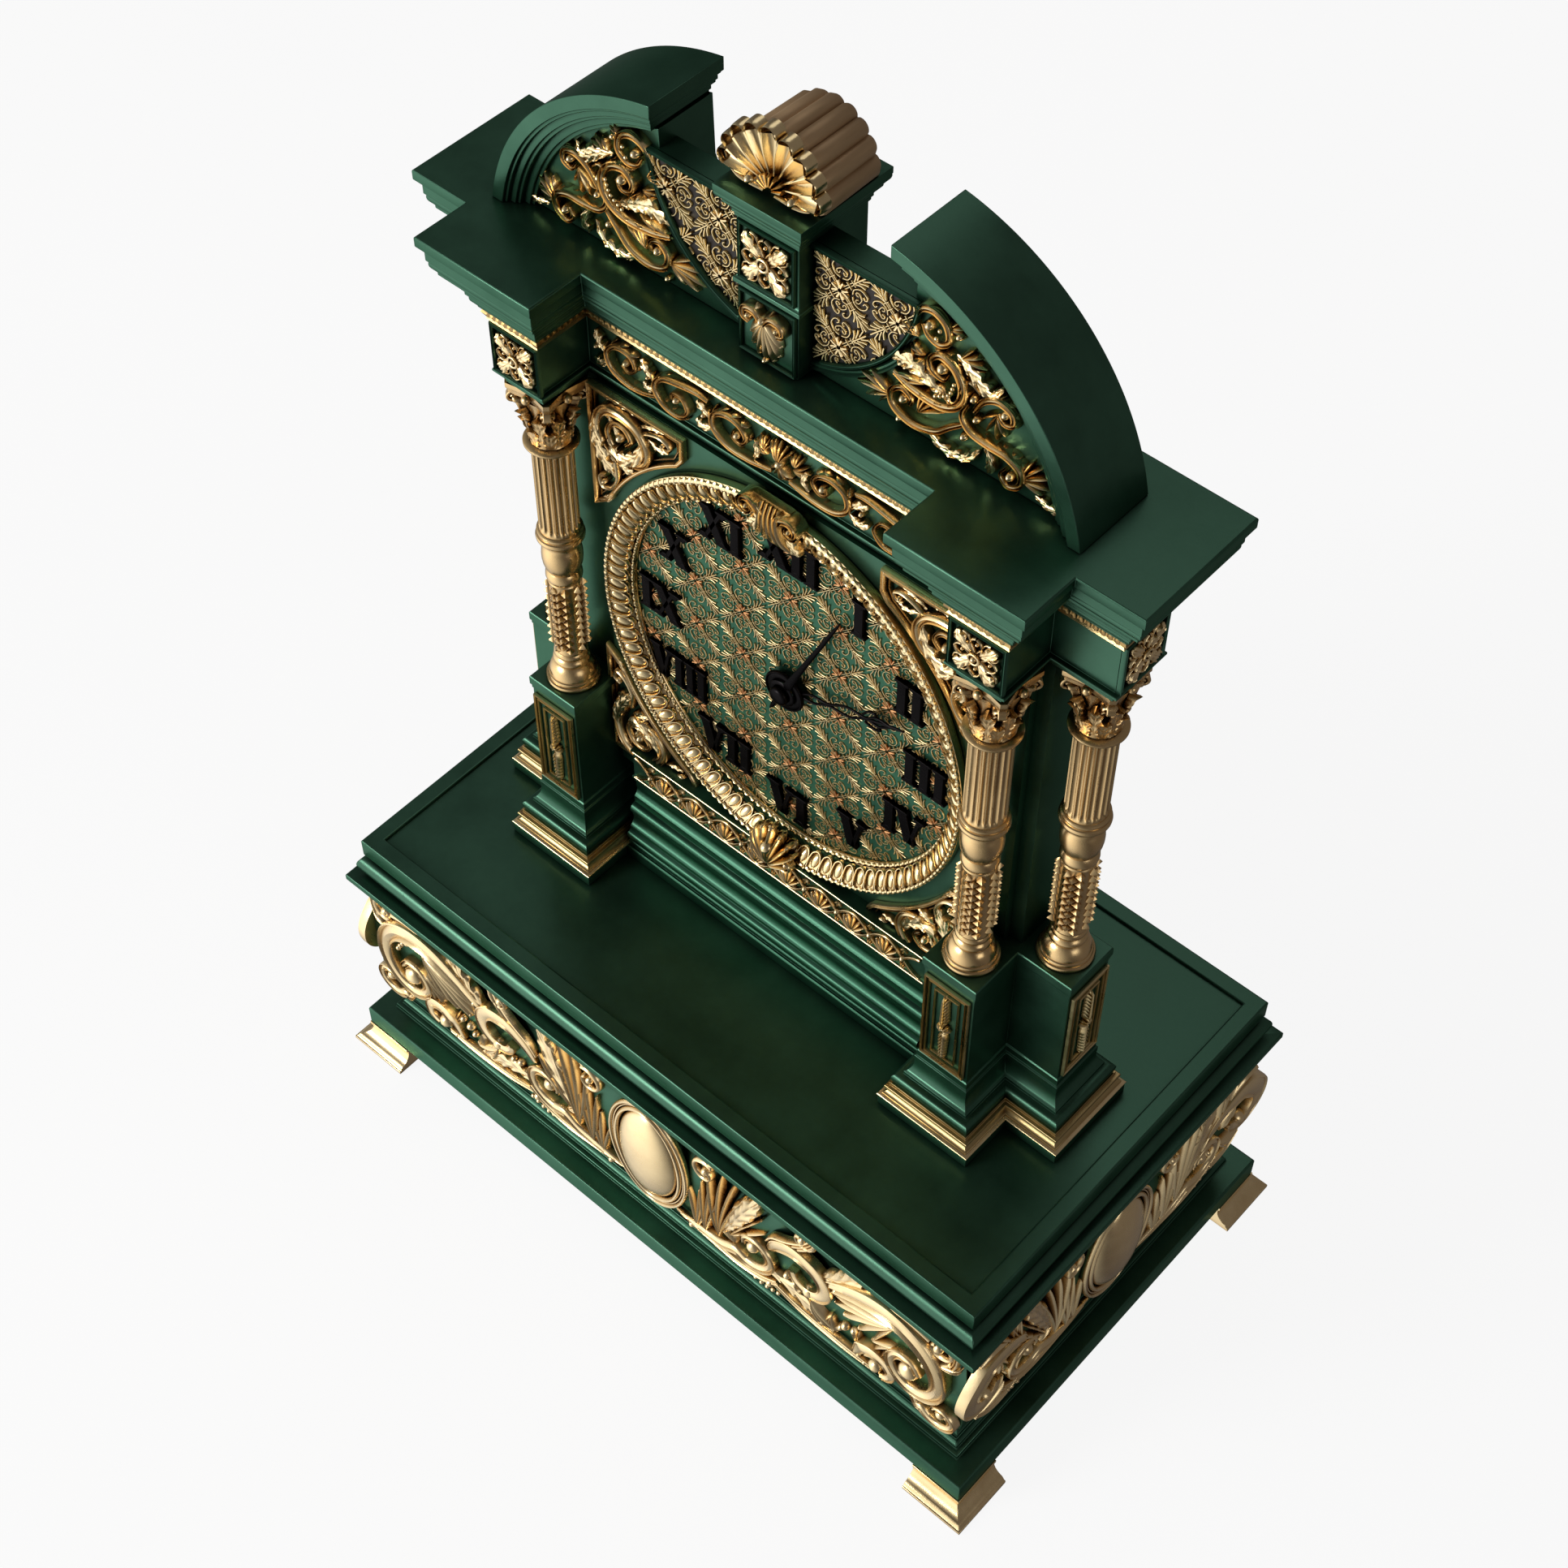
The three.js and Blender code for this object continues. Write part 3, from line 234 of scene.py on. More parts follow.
# ---- solids as point grids ----
class Solid:
    """Closed skins in local millimetres: u across, v up, w out of the face they lie on. Each part is a
    tuple of points, quads, triangles and wider polygons."""

    def __init__(self):
        self.parts = []

    def take(self, points, quads, tris=None, polygons=()):
        """Adds one closed skin and turns its faces outwards."""
        points = np.asarray(points, float)
        tris = np.zeros((0, 3), int) if tris is None else tris
        fans = [[p[0], b, c] for p in polygons for b, c in zip(p[1:], p[2:])]
        six = 0.0
        for face in (quads[:, [0, 1, 2]], quads[:, [0, 2, 3]], tris, np.array(fans, int).reshape(-1, 3)):
            a, b, c = points[face[:, 0]], points[face[:, 1]], points[face[:, 2]]
            six += np.einsum("ij,ij->", a, np.cross(b, c))
        if six < 0:
            quads, tris, polygons = quads[:, ::-1], tris[:, ::-1], [p[::-1] for p in polygons]
        self.parts.append((points, quads, tris, polygons))
        return self

    def tube(self, grid):
        """A closed skin over rings of points: grid is (rings, points in a ring, 3)."""
        rings, around = grid.shape[:2]
        i = np.arange(rings * around).reshape(rings, around)
        j = np.roll(i, -1, 1)
        quads = np.stack([i[:-1], i[1:], j[1:], j[:-1]], -1).reshape(-1, 4)
        ends = np.array([grid[0].mean(0), grid[-1].mean(0)])
        first, last = rings * around, rings * around + 1
        tris = np.concatenate([
            np.stack([np.full(around, first), i[0], j[0]], -1),
            np.stack([np.full(around, last), j[-1], i[-1]], -1),
        ])
        return self.take(np.concatenate([grid.reshape(-1, 3), ends]), quads, tris)

    def ring(self, grid):
        """A skin that closes on itself both ways."""
        rings, around = grid.shape[:2]
        i = np.arange(rings * around).reshape(rings, around)
        k = np.roll(i, -1, 0)
        quads = np.stack([i, k, np.roll(k, -1, 1), np.roll(i, -1, 1)], -1).reshape(-1, 4)
        return self.take(grid.reshape(-1, 3), quads)

    def plan(self, rings):
        """Rings of outline points from the bottom up, closed by a flat face at each end."""
        grid = np.asarray(rings, float)
        count, around = grid.shape[:2]
        i = np.arange(count * around).reshape(count, around)
        j = np.roll(i, -1, 1)
        quads = np.stack([i[:-1], j[:-1], j[1:], i[1:]], -1).reshape(-1, 4)
        return self.take(grid.reshape(-1, 3), quads, None, [i[0][::-1].tolist(), i[-1].tolist()])

    def put(self, other, move=(0, 0, 0), turn=0.0, size=1.0, mirror=False, stretch=(1, 1, 1)):
        """Adds a copy of another solid, scaled, mirrored, turned about w and moved."""
        cos, sin = math.cos(math.radians(turn)), math.sin(math.radians(turn))
        spin = np.array([[cos, sin, 0], [-sin, cos, 0], [0, 0, 1]])
        across = np.array([-1 if mirror else 1, 1, 1]) * np.array(stretch) * size
        for points, quads, tris, polygons in other.parts:
            placed = (points * across) @ spin + np.array(move)
            if mirror:
                quads, tris, polygons = quads[:, ::-1], tris[:, ::-1], [p[::-1] for p in polygons]
            self.parts.append((placed, quads, tris, polygons))
        return self

    def bend(self, other, place):
        """Adds a copy of another solid with its points moved by place."""
        for points, quads, tris, polygons in other.parts:
            self.take(place(points), quads, tris, polygons)

    def both(self):
        """This work and its mirror image."""
        return type(self)().put(self).put(self, mirror=True)

    def emit(self, name, place, material, slot, body="case", stands_for=(), sharp=38.0, bevel=0.0):
        """Makes the mesh, puts it where place says, hangs it on its body and hides the CAD parts it stands
        for.
        """
        starts = np.concatenate([[0], np.cumsum([len(part[0]) for part in self.parts])]).tolist()
        points = place(np.concatenate([part[0] for part in self.parts])) * MM
        quads = np.concatenate([part[1] + at for part, at in zip(self.parts, starts)])
        tris = np.concatenate([part[2] + at for part, at in zip(self.parts, starts)])
        wide = [np.array(p) + at for part, at in zip(self.parts, starts) for p in part[3]]
        loops = np.concatenate([quads.ravel(), tris.ravel(), *wide]).astype(np.int32)
        sizes = np.array([4] * len(quads) + [3] * len(tris) + [len(p) for p in wide])
        mesh = bpy.data.meshes.new(name)
        mesh.vertices.add(len(points))
        mesh.vertices.foreach_set("co", points.astype(np.float32).ravel())
        mesh.loops.add(len(loops))
        mesh.loops.foreach_set("vertex_index", loops)
        mesh.polygons.add(len(sizes))
        mesh.polygons.foreach_set("loop_start", np.concatenate([[0], np.cumsum(sizes)[:-1]]).astype(np.int32))
        mesh.polygons.foreach_set("use_smooth", np.ones(len(sizes), bool))
        mesh.update(calc_edges=True)
        mesh.set_sharp_from_angle(angle=math.radians(sharp))
        mesh.materials.append(material)
        thing = bpy.data.objects.new(name, mesh)
        scene.collection.objects.link(thing)
        if bevel:
            round_over(thing, bevel)
        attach(thing, body)
        if stands_for:
            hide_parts(*stands_for)
        return thing


def round_over(thing, width):
    """Softens the edges sharper than 35 degrees, by a width in millimetres."""
    modifier = thing.modifiers.new("soft_edges", "BEVEL")
    modifier.width = width * MM
    modifier.segments = 2
    modifier.limit_method = "ANGLE"
    modifier.angle_limit = math.radians(35.0)


# ---- where flat work lies on the clock ----
def lay(origin, across, up, out):
    """A function that carries (u, v, w) points to the clock's frame."""
    axes = np.array([across, up, out], float)

    def place(points):
        return np.array(origin, float) + points @ axes
    return place


def on_front(x=0.0, y=0.0, z=0.0):
    return lay((x, y, z), (1, 0, 0), (0, 0, 1), (0, -1, 0))


def on_back(x=0.0, y=0.0, z=0.0):
    return lay((x, y, z), (-1, 0, 0), (0, 0, 1), (0, 1, 0))


def on_right(x=0.0, y=0.0, z=0.0):
    return lay((x, y, z), (0, 1, 0), (0, 0, 1), (1, 0, 0))


def on_left(x=0.0, y=0.0, z=0.0):
    return lay((x, y, z), (0, -1, 0), (0, 0, 1), (-1, 0, 0))


def standing(x=0.0, y=0.0, z=0.0):
    return lay((x, y, z), (1, 0, 0), (0, 1, 0), (0, 0, 1))


def mirrored(place, sign):
    """The same placement with the drawing turned over sideways when sign is -1."""
    return lambda points: place(points * np.array([sign, 1, 1]))


# How far forward the ground of each mount lies.
BEZEL_Y, CARTOUCHE_Y, PALMETTE_Y = -13.1, -16.2, -18.6
MINUTE_Y, HOUR_Y, CAP_Y = -13.6, -11.45, -14.72
SPANDREL_Y, GUILLOCHE_Y, FRIEZE_Y = -13.0, -18.0, -12.3
ROSETTE_Y, ROSETTE_X = -36.3, 140.2
WALL_Y, FRET_Y, FRET_EDGE_Y, BLOCK_Y, CREST_Y = -12.6, -13.9, -13.8, -20.2, -15.4


# ---- mouldings ----
def profile(*steps):
    """A moulding's section from the bottom up as (out, z). A third number bends the run: above 0 it
    swells outwards, below 0 it hollows, and 1 is a half circle."""
    line = [np.array(steps[0][:2], float)]
    for step in steps[1:]:
        end = np.array(step[:2], float)
        bulge = step[2] if len(step) > 2 else 0.0
        if bulge:
            start = line[-1]
            chord = end - start
            length = np.hypot(*chord)
            along = chord / length
            outward = np.array([along[1], -along[0]])
            half = 2 * math.atan(abs(bulge))
            radius = length / 2 / math.sin(half)
            for phi in np.linspace(-half, half, 10)[1:-1]:
                sag = (radius * math.cos(phi) - radius * math.cos(half)) * math.copysign(1, bulge)
                line.append((start + end) / 2 + along * radius * math.sin(phi) + outward * sag)
        line.append(end)
    return np.array(line)


def edge_normals(plan):
    """The outward direction of each edge of an anticlockwise right-angled plan."""
    plan = np.array(plan, float)
    run = np.roll(plan, -1, 0) - plan
    return np.stack([np.sign(run[:, 1]), -np.sign(run[:, 0])], -1)


def moulding(plan, section, plumb=()):
    """Runs a section round an anticlockwise right-angled plan. Edges in plumb don't flare."""
    plan = np.array(plan, float)
    normals = edge_normals(plan)
    for edge in plumb:
        normals[edge] = 0
    corner = normals + np.roll(normals, 1, 0)
    rings = [np.column_stack([plan + out * corner, np.full(len(plan), z)]) for out, z in section]
    return Solid().plan(rings)


def lathe(line, steps):
    """Rings about the local w axis through rows of (radius, w)."""
    a = np.linspace(0, 2 * math.pi, steps, endpoint=False)
    return np.stack([np.column_stack([r * np.cos(a), r * np.sin(a), np.full(steps, w)]) for r, w in line])


def rectangle(x0, x1, y0, y1):
    return [(x0, y0), (x1, y0), (x1, y1), (x0, y1)]


def flipped(plan):
    """The same plan on the other side of the middle."""
    return [(-x, y) for x, y in reversed(plan)]


# ---- strips, scrolls and leaves ----
def through(points, step=0.7):
    """A smooth path through rows of (u, v, ...), resampled at an even step."""
    rows = np.array(points, float)
    padded = np.vstack([2 * rows[0] - rows[1], rows, 2 * rows[-1] - rows[-2]])
    dense = []
    for a, b, c, d in zip(padded[:-3], padded[1:-2], padded[2:-1], padded[3:]):
        t = np.linspace(0, 1, 14, endpoint=False)[:, None]
        dense.append(0.5 * (2 * b + (c - a) * t + (2 * a - 5 * b + 4 * c - d) * t ** 2
                            + (3 * b - a - 3 * c + d) * t ** 3))
    dense = np.vstack(dense + [rows[-1:]])
    along = np.concatenate([[0], np.cumsum(np.hypot(*np.diff(dense[:, :2], axis=0).T))])
    count = max(4, int(along[-1] / step))
    even = np.linspace(0, along[-1], count)
    return np.column_stack([np.interp(even, along, dense[:, k]) for k in range(rows.shape[1])])


def coil(u, v, r0, r1, a0, a1, width=(), height=()):
    """Rows along a spiral round (u, v), from radius r0 at a0 degrees to r1 at a1."""
    count = max(3, int(abs(a1 - a0) / 24))
    t = np.linspace(0, 1, count)
    angle = np.radians(a0 + (a1 - a0) * t)
    radius = r0 * (r1 / r0) ** t
    rows = [u + radius * np.cos(angle), v + radius * np.sin(angle)]
    for pair in (width, height):
        if pair:
            rows.append(pair[0] + (pair[1] - pair[0]) * t)
    return [tuple(row) for row in np.column_stack(rows)]


def sides(path):
    """Unit vectors along a path and to its left."""
    run = np.gradient(path[:, :2], axis=0)
    run /= np.maximum(np.hypot(run[:, 0], run[:, 1]), 1e-9)[:, None]
    return run, np.column_stack([-run[:, 1], run[:, 0]])


def section(*pairs):
    """A strip's section: share of the half width and share of the height, right side to left."""
    return np.array(pairs, float)


ROUND = section(*[(math.cos(a), math.sin(a)) for a in np.linspace(0, math.pi, 9)])
REED = section((1, 0), (1, .62), (.93, .86), (.82, .93), (.72, .82), (.62, .66), (.36, .8), (0, .92),
               (-.36, .8), (-.62, .66), (-.72, .82), (-.82, .93), (-.93, .86), (-1, .62), (-1, 0))
GROOVED = section((1, 0), (.97, .5), (.8, .84), (.6, .9), (.4, .78), (.26, .58), (.1, .84), (0, .92),
                  (-.1, .84), (-.26, .58), (-.4, .78), (-.6, .9), (-.8, .84), (-.97, .5), (-1, 0))
STRAP = section((1, 0), (1, .6), (.95, .84), (.84, .9), (.74, .76), (.5, .84), (0, .95), (-.5, .84),
                (-.74, .76), (-.84, .9), (-.95, .84), (-1, .6), (-1, 0))
RIDGE = section((1, 0), (.86, .3), (.5, .66), (.16, .94), (0, 1), (-.16, .94), (-.5, .66), (-.86, .3),
                (-1, 0))


class Carving(Solid):
    """Relief work: strips, leaves and beads on a flat face."""

    def strip(self, rows, shape=ROUND, step=0.7):
        """A strip along rows of (u, v, width, height)."""
        path = through(rows, step)
        _, left = sides(path)
        half = path[:, 2] / 2
        s, h = shape[:, 0], shape[:, 1]
        flat = path[:, None, :2] - left[:, None] * (half[:, None] * s)[..., None]
        rise = path[:, 3][:, None] * h
        self.tube(np.concatenate([flat, rise[..., None]], -1))
        return self

    def ball(self, u, v, radius, height=None, lift=0.0, fine=12):
        """A bead, flattened or raised to a height."""
        height = radius if height is None else height
        lat = np.linspace(0.02, math.pi - 0.02, fine // 2 + 2)
        lon = np.linspace(0, 2 * math.pi, fine, endpoint=False)
        ring = np.stack([
            u + radius * np.sin(lat)[:, None] * np.cos(lon), v + radius * np.sin(lat)[:, None] * np.sin(lon),
            lift + height * np.cos(lat)[:, None] + 0 * lon,
        ], -1)
        self.tube(ring)
        return self

    def beads(self, rows, radius, pitch=None, lift=0.0):
        """A row of beads along a path."""
        pitch = pitch or radius * 2.15
        path = through([row[:2] for row in rows], 0.2)
        along = np.concatenate([[0], np.cumsum(np.hypot(*np.diff(path, axis=0).T))])
        count = max(2, round(along[-1] / pitch))
        for d in np.linspace(0, along[-1], count):
            self.ball(np.interp(d, along, path[:, 0]), np.interp(d, along, path[:, 1]),
                      radius, lift=lift, fine=8)
        return self

    def leaf(self, rows, lobes=4, depth=0.34, sweep=0.5, curl=0.3, rib=0.35, step=0.6, lift=0.0):
        """An acanthus leaf along rows of (u, v, width, height): scalloped lobes that sweep forwards."""
        path = through(rows, step)
        run, left = sides(path)
        count = len(path)
        t = np.linspace(0, 1, count)[:, None]
        s = np.linspace(1, -1, 15)[None]
        half = path[:, 2][:, None] / 2
        taper = np.clip(np.minimum(1, (1 - t) / 0.22), 0, 1) ** 0.55
        phase = t * lobes - 0.30 * np.abs(s)
        wave = np.abs(np.sin(math.pi * phase))
        reach = half * taper * (1 - depth * (1 - wave) * np.abs(s) ** 1.5)
        along = sweep * half * np.abs(s) ** 1.6 * taper
        flute = 0.5 + 0.5 * np.cos(2 * math.pi * (t * lobes - 0.75 * np.abs(s)))
        height = path[:, 3][:, None]
        rise = height * (0.62 + 0.30 * (1 - np.abs(s)) + curl * s ** 2 - 0.26 * flute * np.abs(s) ** 0.7)
        groove = rib * np.exp(-(s / 0.12) ** 2)
        rise = rise - height * groove * 0.5
        edge = np.abs(s) > 0.99
        rise = np.where(edge, rise * 0.55, rise)
        flat = path[:, None, :2] - left[:, None] * (reach * s)[..., None] + run[:, None] * along[..., None]
        top = np.concatenate([flat, (lift + rise)[..., None]], -1)
        under = top[:, [-1, 0]].copy()
        under[..., 2] = lift
        self.tube(np.concatenate([top, under], 1))
        return self

    def finger(self, u, v, heading, length, bend, width, height, tip=0.35):
        """One tapered lobe: leaves (u, v) at a heading in degrees and bends as it goes."""
        t = np.linspace(0, 1, 6)
        angle = np.radians(heading + bend * t)
        du = np.concatenate([[0], np.cumsum((np.cos(angle[1:]) + np.cos(angle[:-1])) / 2)]) / 5 * length
        dv = np.concatenate([[0], np.cumsum((np.sin(angle[1:]) + np.sin(angle[:-1])) / 2)]) / 5 * length
        swell = np.array([0.5, 0.86, 1.0, 0.98, 0.8, tip])
        rows = np.column_stack([u + du, v + dv, width * swell,
                                height * np.array([.75, .95, 1.0, .95, .85, .55])])
        self.strip(rows, RIDGE, 0.6)
        self.ball(u + du[-1], v + dv[-1], width * tip / 2, height * 0.55, fine=8)
        return self

    def frond(self, rows, side, count, length, width, height, spread, bend):
        """Lobes that grow from one side of a path (1 left, -1 right of its run) and sweep along it."""
        path = through(rows, 0.5)
        run, _ = sides(path)
        for share in np.linspace(0.12, 0.94, count):
            at = int(share * (len(path) - 1))
            heading = math.degrees(math.atan2(run[at, 1], run[at, 0]))
            size = 0.62 + 0.38 * math.sin(math.pi * share)
            u, v = path[at, :2]
            self.finger(u, v, heading + side * spread, length * size, -side * bend, width, height, 0.4)
        return self

    def plume(self, u, v, headings, lengths, bend, width, height):
        """A spray of lobes from one root."""
        for heading, length in zip(headings, lengths):
            self.finger(u, v, heading, length, bend, width, height)
        return self


# ---- base ----
BASE = rectangle(-170, 170, -95.7, 95.7)
WAIST_FACE, WAIST_SIDE = 96.9, 171.2
TOP_PANEL = 151.1


def build_base():
    """Three courses: plinth, swelling waist that carries the mounts, and top with its sunk panel."""
    plinth = moulding(BASE, profile(
        (8.8, 13.6), (8.8, 24.2), (8.2, 25.0), (-0.6, 25.0), (-0.6, 27.2), (-1.6, 27.6), (-3.0, 27.6),
        (-3.0, 29.6), (-4.2, 33.0, -0.3)))
    plinth.emit("base_plinth_moulded", standing(), LACQUER, "lacquer", stands_for=["base_plinth"], bevel=0.4)
    waist = moulding(BASE, profile(
        (-5.0, 33.3), (-5.0, 36.6), (-3.6, 36.6), (-3.6, 39.4), (-5.6, 40.6), (-5.0, 44, -0.2),
        (0.6, 66, 0.16), (0.9, 84, 0.05), (-1.6, 104, 0.12), (-4.6, 114, 0.1), (-4.6, 117)))
    waist.emit("base_waist_swelling", standing(), LACQUER, "lacquer", stands_for=["base_waist"], bevel=0.25)
    top = moulding(BASE, profile(
        (-3.6, 117.3), (-2.4, 119.4, 0.3), (-1.2, 119.8), (3.4, 124.8, -0.35), (6.0, 125.2),
        (6.9, 126.0, 0.4), (6.9, 128.2), (6.3, 129.0, 0.4), (0.6, 129.0), (-0.4, 131.4, -0.4), (0.2, 131.4),
        (2.8, 134.6, 0.3), (-1.2, 140.2, 0.45), (-2.6, 140.6), (-2.6, 142.6), (-0.4, 142.6), (0, 143.2),
        (0, 152.2), (-0.5, 152.7),
        (-7.0, 152.7), (-7.5, 152.2), (-7.6, TOP_PANEL)))
    top.emit("base_top_moulded", standing(), LACQUER, "lacquer", stands_for=["base_top"], bevel=0.28)


FOOT_X, FOOT_Y = (154.1, 178.8), (79.8, 104.5)
FOOT_INNER_EDGES = {("front", "left"): [1, 2], ("front", "right"): [2, 3],
                    ("rear", "right"): [0, 3], ("rear", "left"): [0, 1]}


def build_feet():
    """Four bracket feet that flare on their two outer sides only."""
    section_line = profile((6.4, 0.0), (6.4, 1.6), (5.2, 2.6, -0.3), (4.6, 3.4), (-0.4, 10.4, -0.36),
                           (-0.4, 11.4), (0.4, 11.6), (0.4, 13.3))
    for end, sy in (("front", -1), ("rear", 1)):
        for side, sx in (("left", -1), ("right", 1)):
            plan = rectangle(*sorted(sx * x for x in FOOT_X), *sorted(sy * y for y in FOOT_Y))
            foot = moulding(plan, section_line, plumb=FOOT_INNER_EDGES[end, side])
            foot.emit(f"bracket_foot_{end}_{side}", standing(), GILT, "gilt",
                      stands_for=[f"foot_{end}_{side}"], bevel=0.3)


# ---- tower ----
FRONT_COLUMN = (103.0, -24.3)
SIDE_COLUMN = (128.0, 0.4)
DIE = 11.9


def pair_plan(half):
    """The joined plan of the front and side pedestals on the right."""
    (fx, fy), (sx, sy) = FRONT_COLUMN, SIDE_COLUMN
    return [(fx - half, fy - half), (fx + half, fy - half), (fx + half, sy - half), (sx + half, sy - half),
            (sx + half, sy + half), (fx - half, sy + half)]


def build_pedestals():
    """Each pair of pedestals is one green moulding, with a gilt base and a thin gilt line under it."""
    for side, plan in (("right", pair_plan(DIE)), ("left", flipped(pair_plan(DIE)))):
        green = moulding(plan, profile(
            (10.7, 151.4), (10.7, 156.9), (10.1, 157.8), (6.6, 157.8), (6.6, 166.4), (7.2, 167.0),
            (7.2, 167.9), (5.0, 171.2, 0.55), (3.8, 171.6), (3.8, 173.4), (3.0, 173.8), (1.2, 182.0, -0.2),
            (1.2, 184.6), (0.5, 185.0), (0.5, 188.4), (0, 189.0), (0, 245.0), (0.35, 245.2), (0.35, 246.6),
            (0.9, 247.4, -0.3), (0.9, 251.4), (0.5, 251.9)))
        green.emit(f"pedestals_moulded_{side}", standing(), LACQUER, "lacquer",
                   stands_for=[f"pedestals_{side}"], bevel=0.22)
        gold = moulding(plan, profile(
            (6.7, 157.95), (9.6, 157.95), (9.6, 158.7), (7.6, 161.9, -0.35), (8.6, 162.1), (9.0, 162.9, 0.6),
            (8.6, 163.6, 0.6), (7.5, 163.8), (7.5, 165.6), (6.7, 165.6)))
        gold.emit(f"pedestal_gilt_base_{side}", standing(), ANTIQUE, "antique_gilt", bevel=0.15)
        edge = moulding(plan, profile((10.6, 157.05), (10.95, 157.1), (11.0, 157.6, 0.4), (10.6, 157.9)))
        edge.emit(f"pedestal_edge_line_{side}", standing(), GILT, "gilt")


def build_plinth():
    plan = rectangle(-80.1, 80.1, -15.4, 20.4)
    steps = moulding(plan, profile(
        (8.2, 151.4), (8.2, 156.6), (7.6, 157.4), (6.8, 157.4), (6.8, 159.4), (6.2, 160.2, -0.3),
        (6.2, 162.0), (6.9, 162.4), (6.6, 166.0, 0.5), (5.4, 166.6), (5.4, 168.6), (4.8, 169.0),
        (3.6, 174.6, -0.3), (3.6, 176.6), (4.2, 177.0), (3.0, 181.6, 0.5), (1.9, 182.0), (1.9, 185.6),
        (1.2, 186.2), (0.3, 191.0, -0.3), (0.3, 194.6), (1.1, 195.0), (1.1, 199.2),
        (0.6, 199.6)), plumb=[1, 2, 3])
    # The plinth takes the darker lacquer: painted shade for its recess between the piers.
    steps.emit("tower_plinth_moulded", standing(), SHADED, "lacquer", stands_for=["tower_plinth"], bevel=0.2)


# ---- entablature, cornice and pediment ----
SLAB = [
    (-130.5, -52.9), (-75.6, -52.9), (-75.6, -29.0), (75.6, -29.0), (75.6, -52.9), (130.5, -52.9),
    (130.5, -29.0), (156.8, -29.0), (156.8, 27.9), (-156.8, 27.9), (-156.8, -29.0), (-130.5, -29.0),
]


def build_entablature():
    lower = moulding(SLAB, profile(
        (-18.0, 412.0), (-18.0, 413.4), (-17.3, 413.8), (-17.3, 415.4), (-16.6, 415.8), (-15.3, 417.0, -0.3),
        (-14.9, 417.2), (-14.9, 418.1), (-15.3, 418.4), (-16.8, 418.4), (-16.8, 440.3)))
    lower.emit("entablature_moulded", standing(), LACQUER, "lacquer", stands_for=["entablature"], bevel=0.18)
    upper = moulding(SLAB, profile(
        (-19.9, 440.6), (-19.9, 446.7), (-13.2, 446.7), (-13.2, 448.2), (-12.4, 448.6), (-11.6, 452.0, 0.4),
        (-10.4, 452.4), (-10.4, 454.2), (-9.6, 454.6), (-5.2, 461.0, -0.35), (-4.6, 461.4), (-4.6, 463.4),
        (-3.8, 463.8), (-2.9, 467.4, 0.35), (-2.1, 467.8), (-2.1, 472.8), (-1.6, 473.4), (-0.2, 473.8),
        (0, 474.2), (0, 477.7), (-0.5, 478.2)))
    upper.emit("cornice_moulded", standing(), LACQUER, "lacquer", stands_for=["cornice"], bevel=0.22)


ARC_X, ARC_Z, ARC_R = 32.2, 459.7, 95.4
BITE_Z, BITE_R = 539.0, 57.0
SEAT = 478.5


def arc_points(radius, start, end):
    """Points on a circle about the arch's centre, from one angle in radians to another."""
    angle = np.linspace(start, end, 48)
    return np.column_stack([ARC_X + radius * np.cos(angle), ARC_Z + radius * np.sin(angle)])


def plate(outline, w0, w1):
    """A flat outline in u and v as the two rings of a plate from w0 to w1."""
    flat = np.asarray(outline, float)
    return np.stack([np.column_stack([flat, np.full(len(flat), w)]) for w in (w0, w1)])


def arch_moulding(sign):
    """The arch's section swept along its curve: courses step down and back, each with a plumb end."""
    work = Solid()
    courses = [
        (0.0, 4.9, 48.4, -20.7, 13.4), (4.7, 6.1, 49.4, -19.6, 13.1), (5.9, 8.6, 50.6, -18.2, 12.9),
        (8.4, 9.9, 51.4, -17.2, 12.7), (9.7, 12.6, 53.2, -15.4, 12.5), (12.4, 14.0, 54.0, -14.5, 12.3),
    ]
    for top, bottom, inner, y0, y1 in courses:
        outer_r, inner_r = ARC_R - top, ARC_R - bottom
        foot = [math.asin((SEAT - ARC_Z) / r) for r in (outer_r, inner_r)]
        crown = [math.acos((inner - ARC_X) / r) for r in (outer_r, inner_r)]
        over = arc_points(outer_r, foot[0], crown[0])
        under = arc_points(inner_r, foot[1], crown[1])
        ring = [np.stack([
            np.array([a[0], a[1], -y0]), np.array([a[0], a[1], -y1]),
            np.array([b[0], b[1], -y1]), np.array([b[0], b[1], -y0]),
        ]) for a, b in zip(over, under)]
        work.tube(np.array(ring) * np.array([sign, 1, 1]))
    return work


def bite_points(x_from, x_to, radius=BITE_R, count=60):
    """The lower curve of the round bite between the two halves, by x."""
    x = np.linspace(x_from, x_to, count)
    return np.column_stack([x, BITE_Z - np.sqrt(radius ** 2 - x ** 2)])


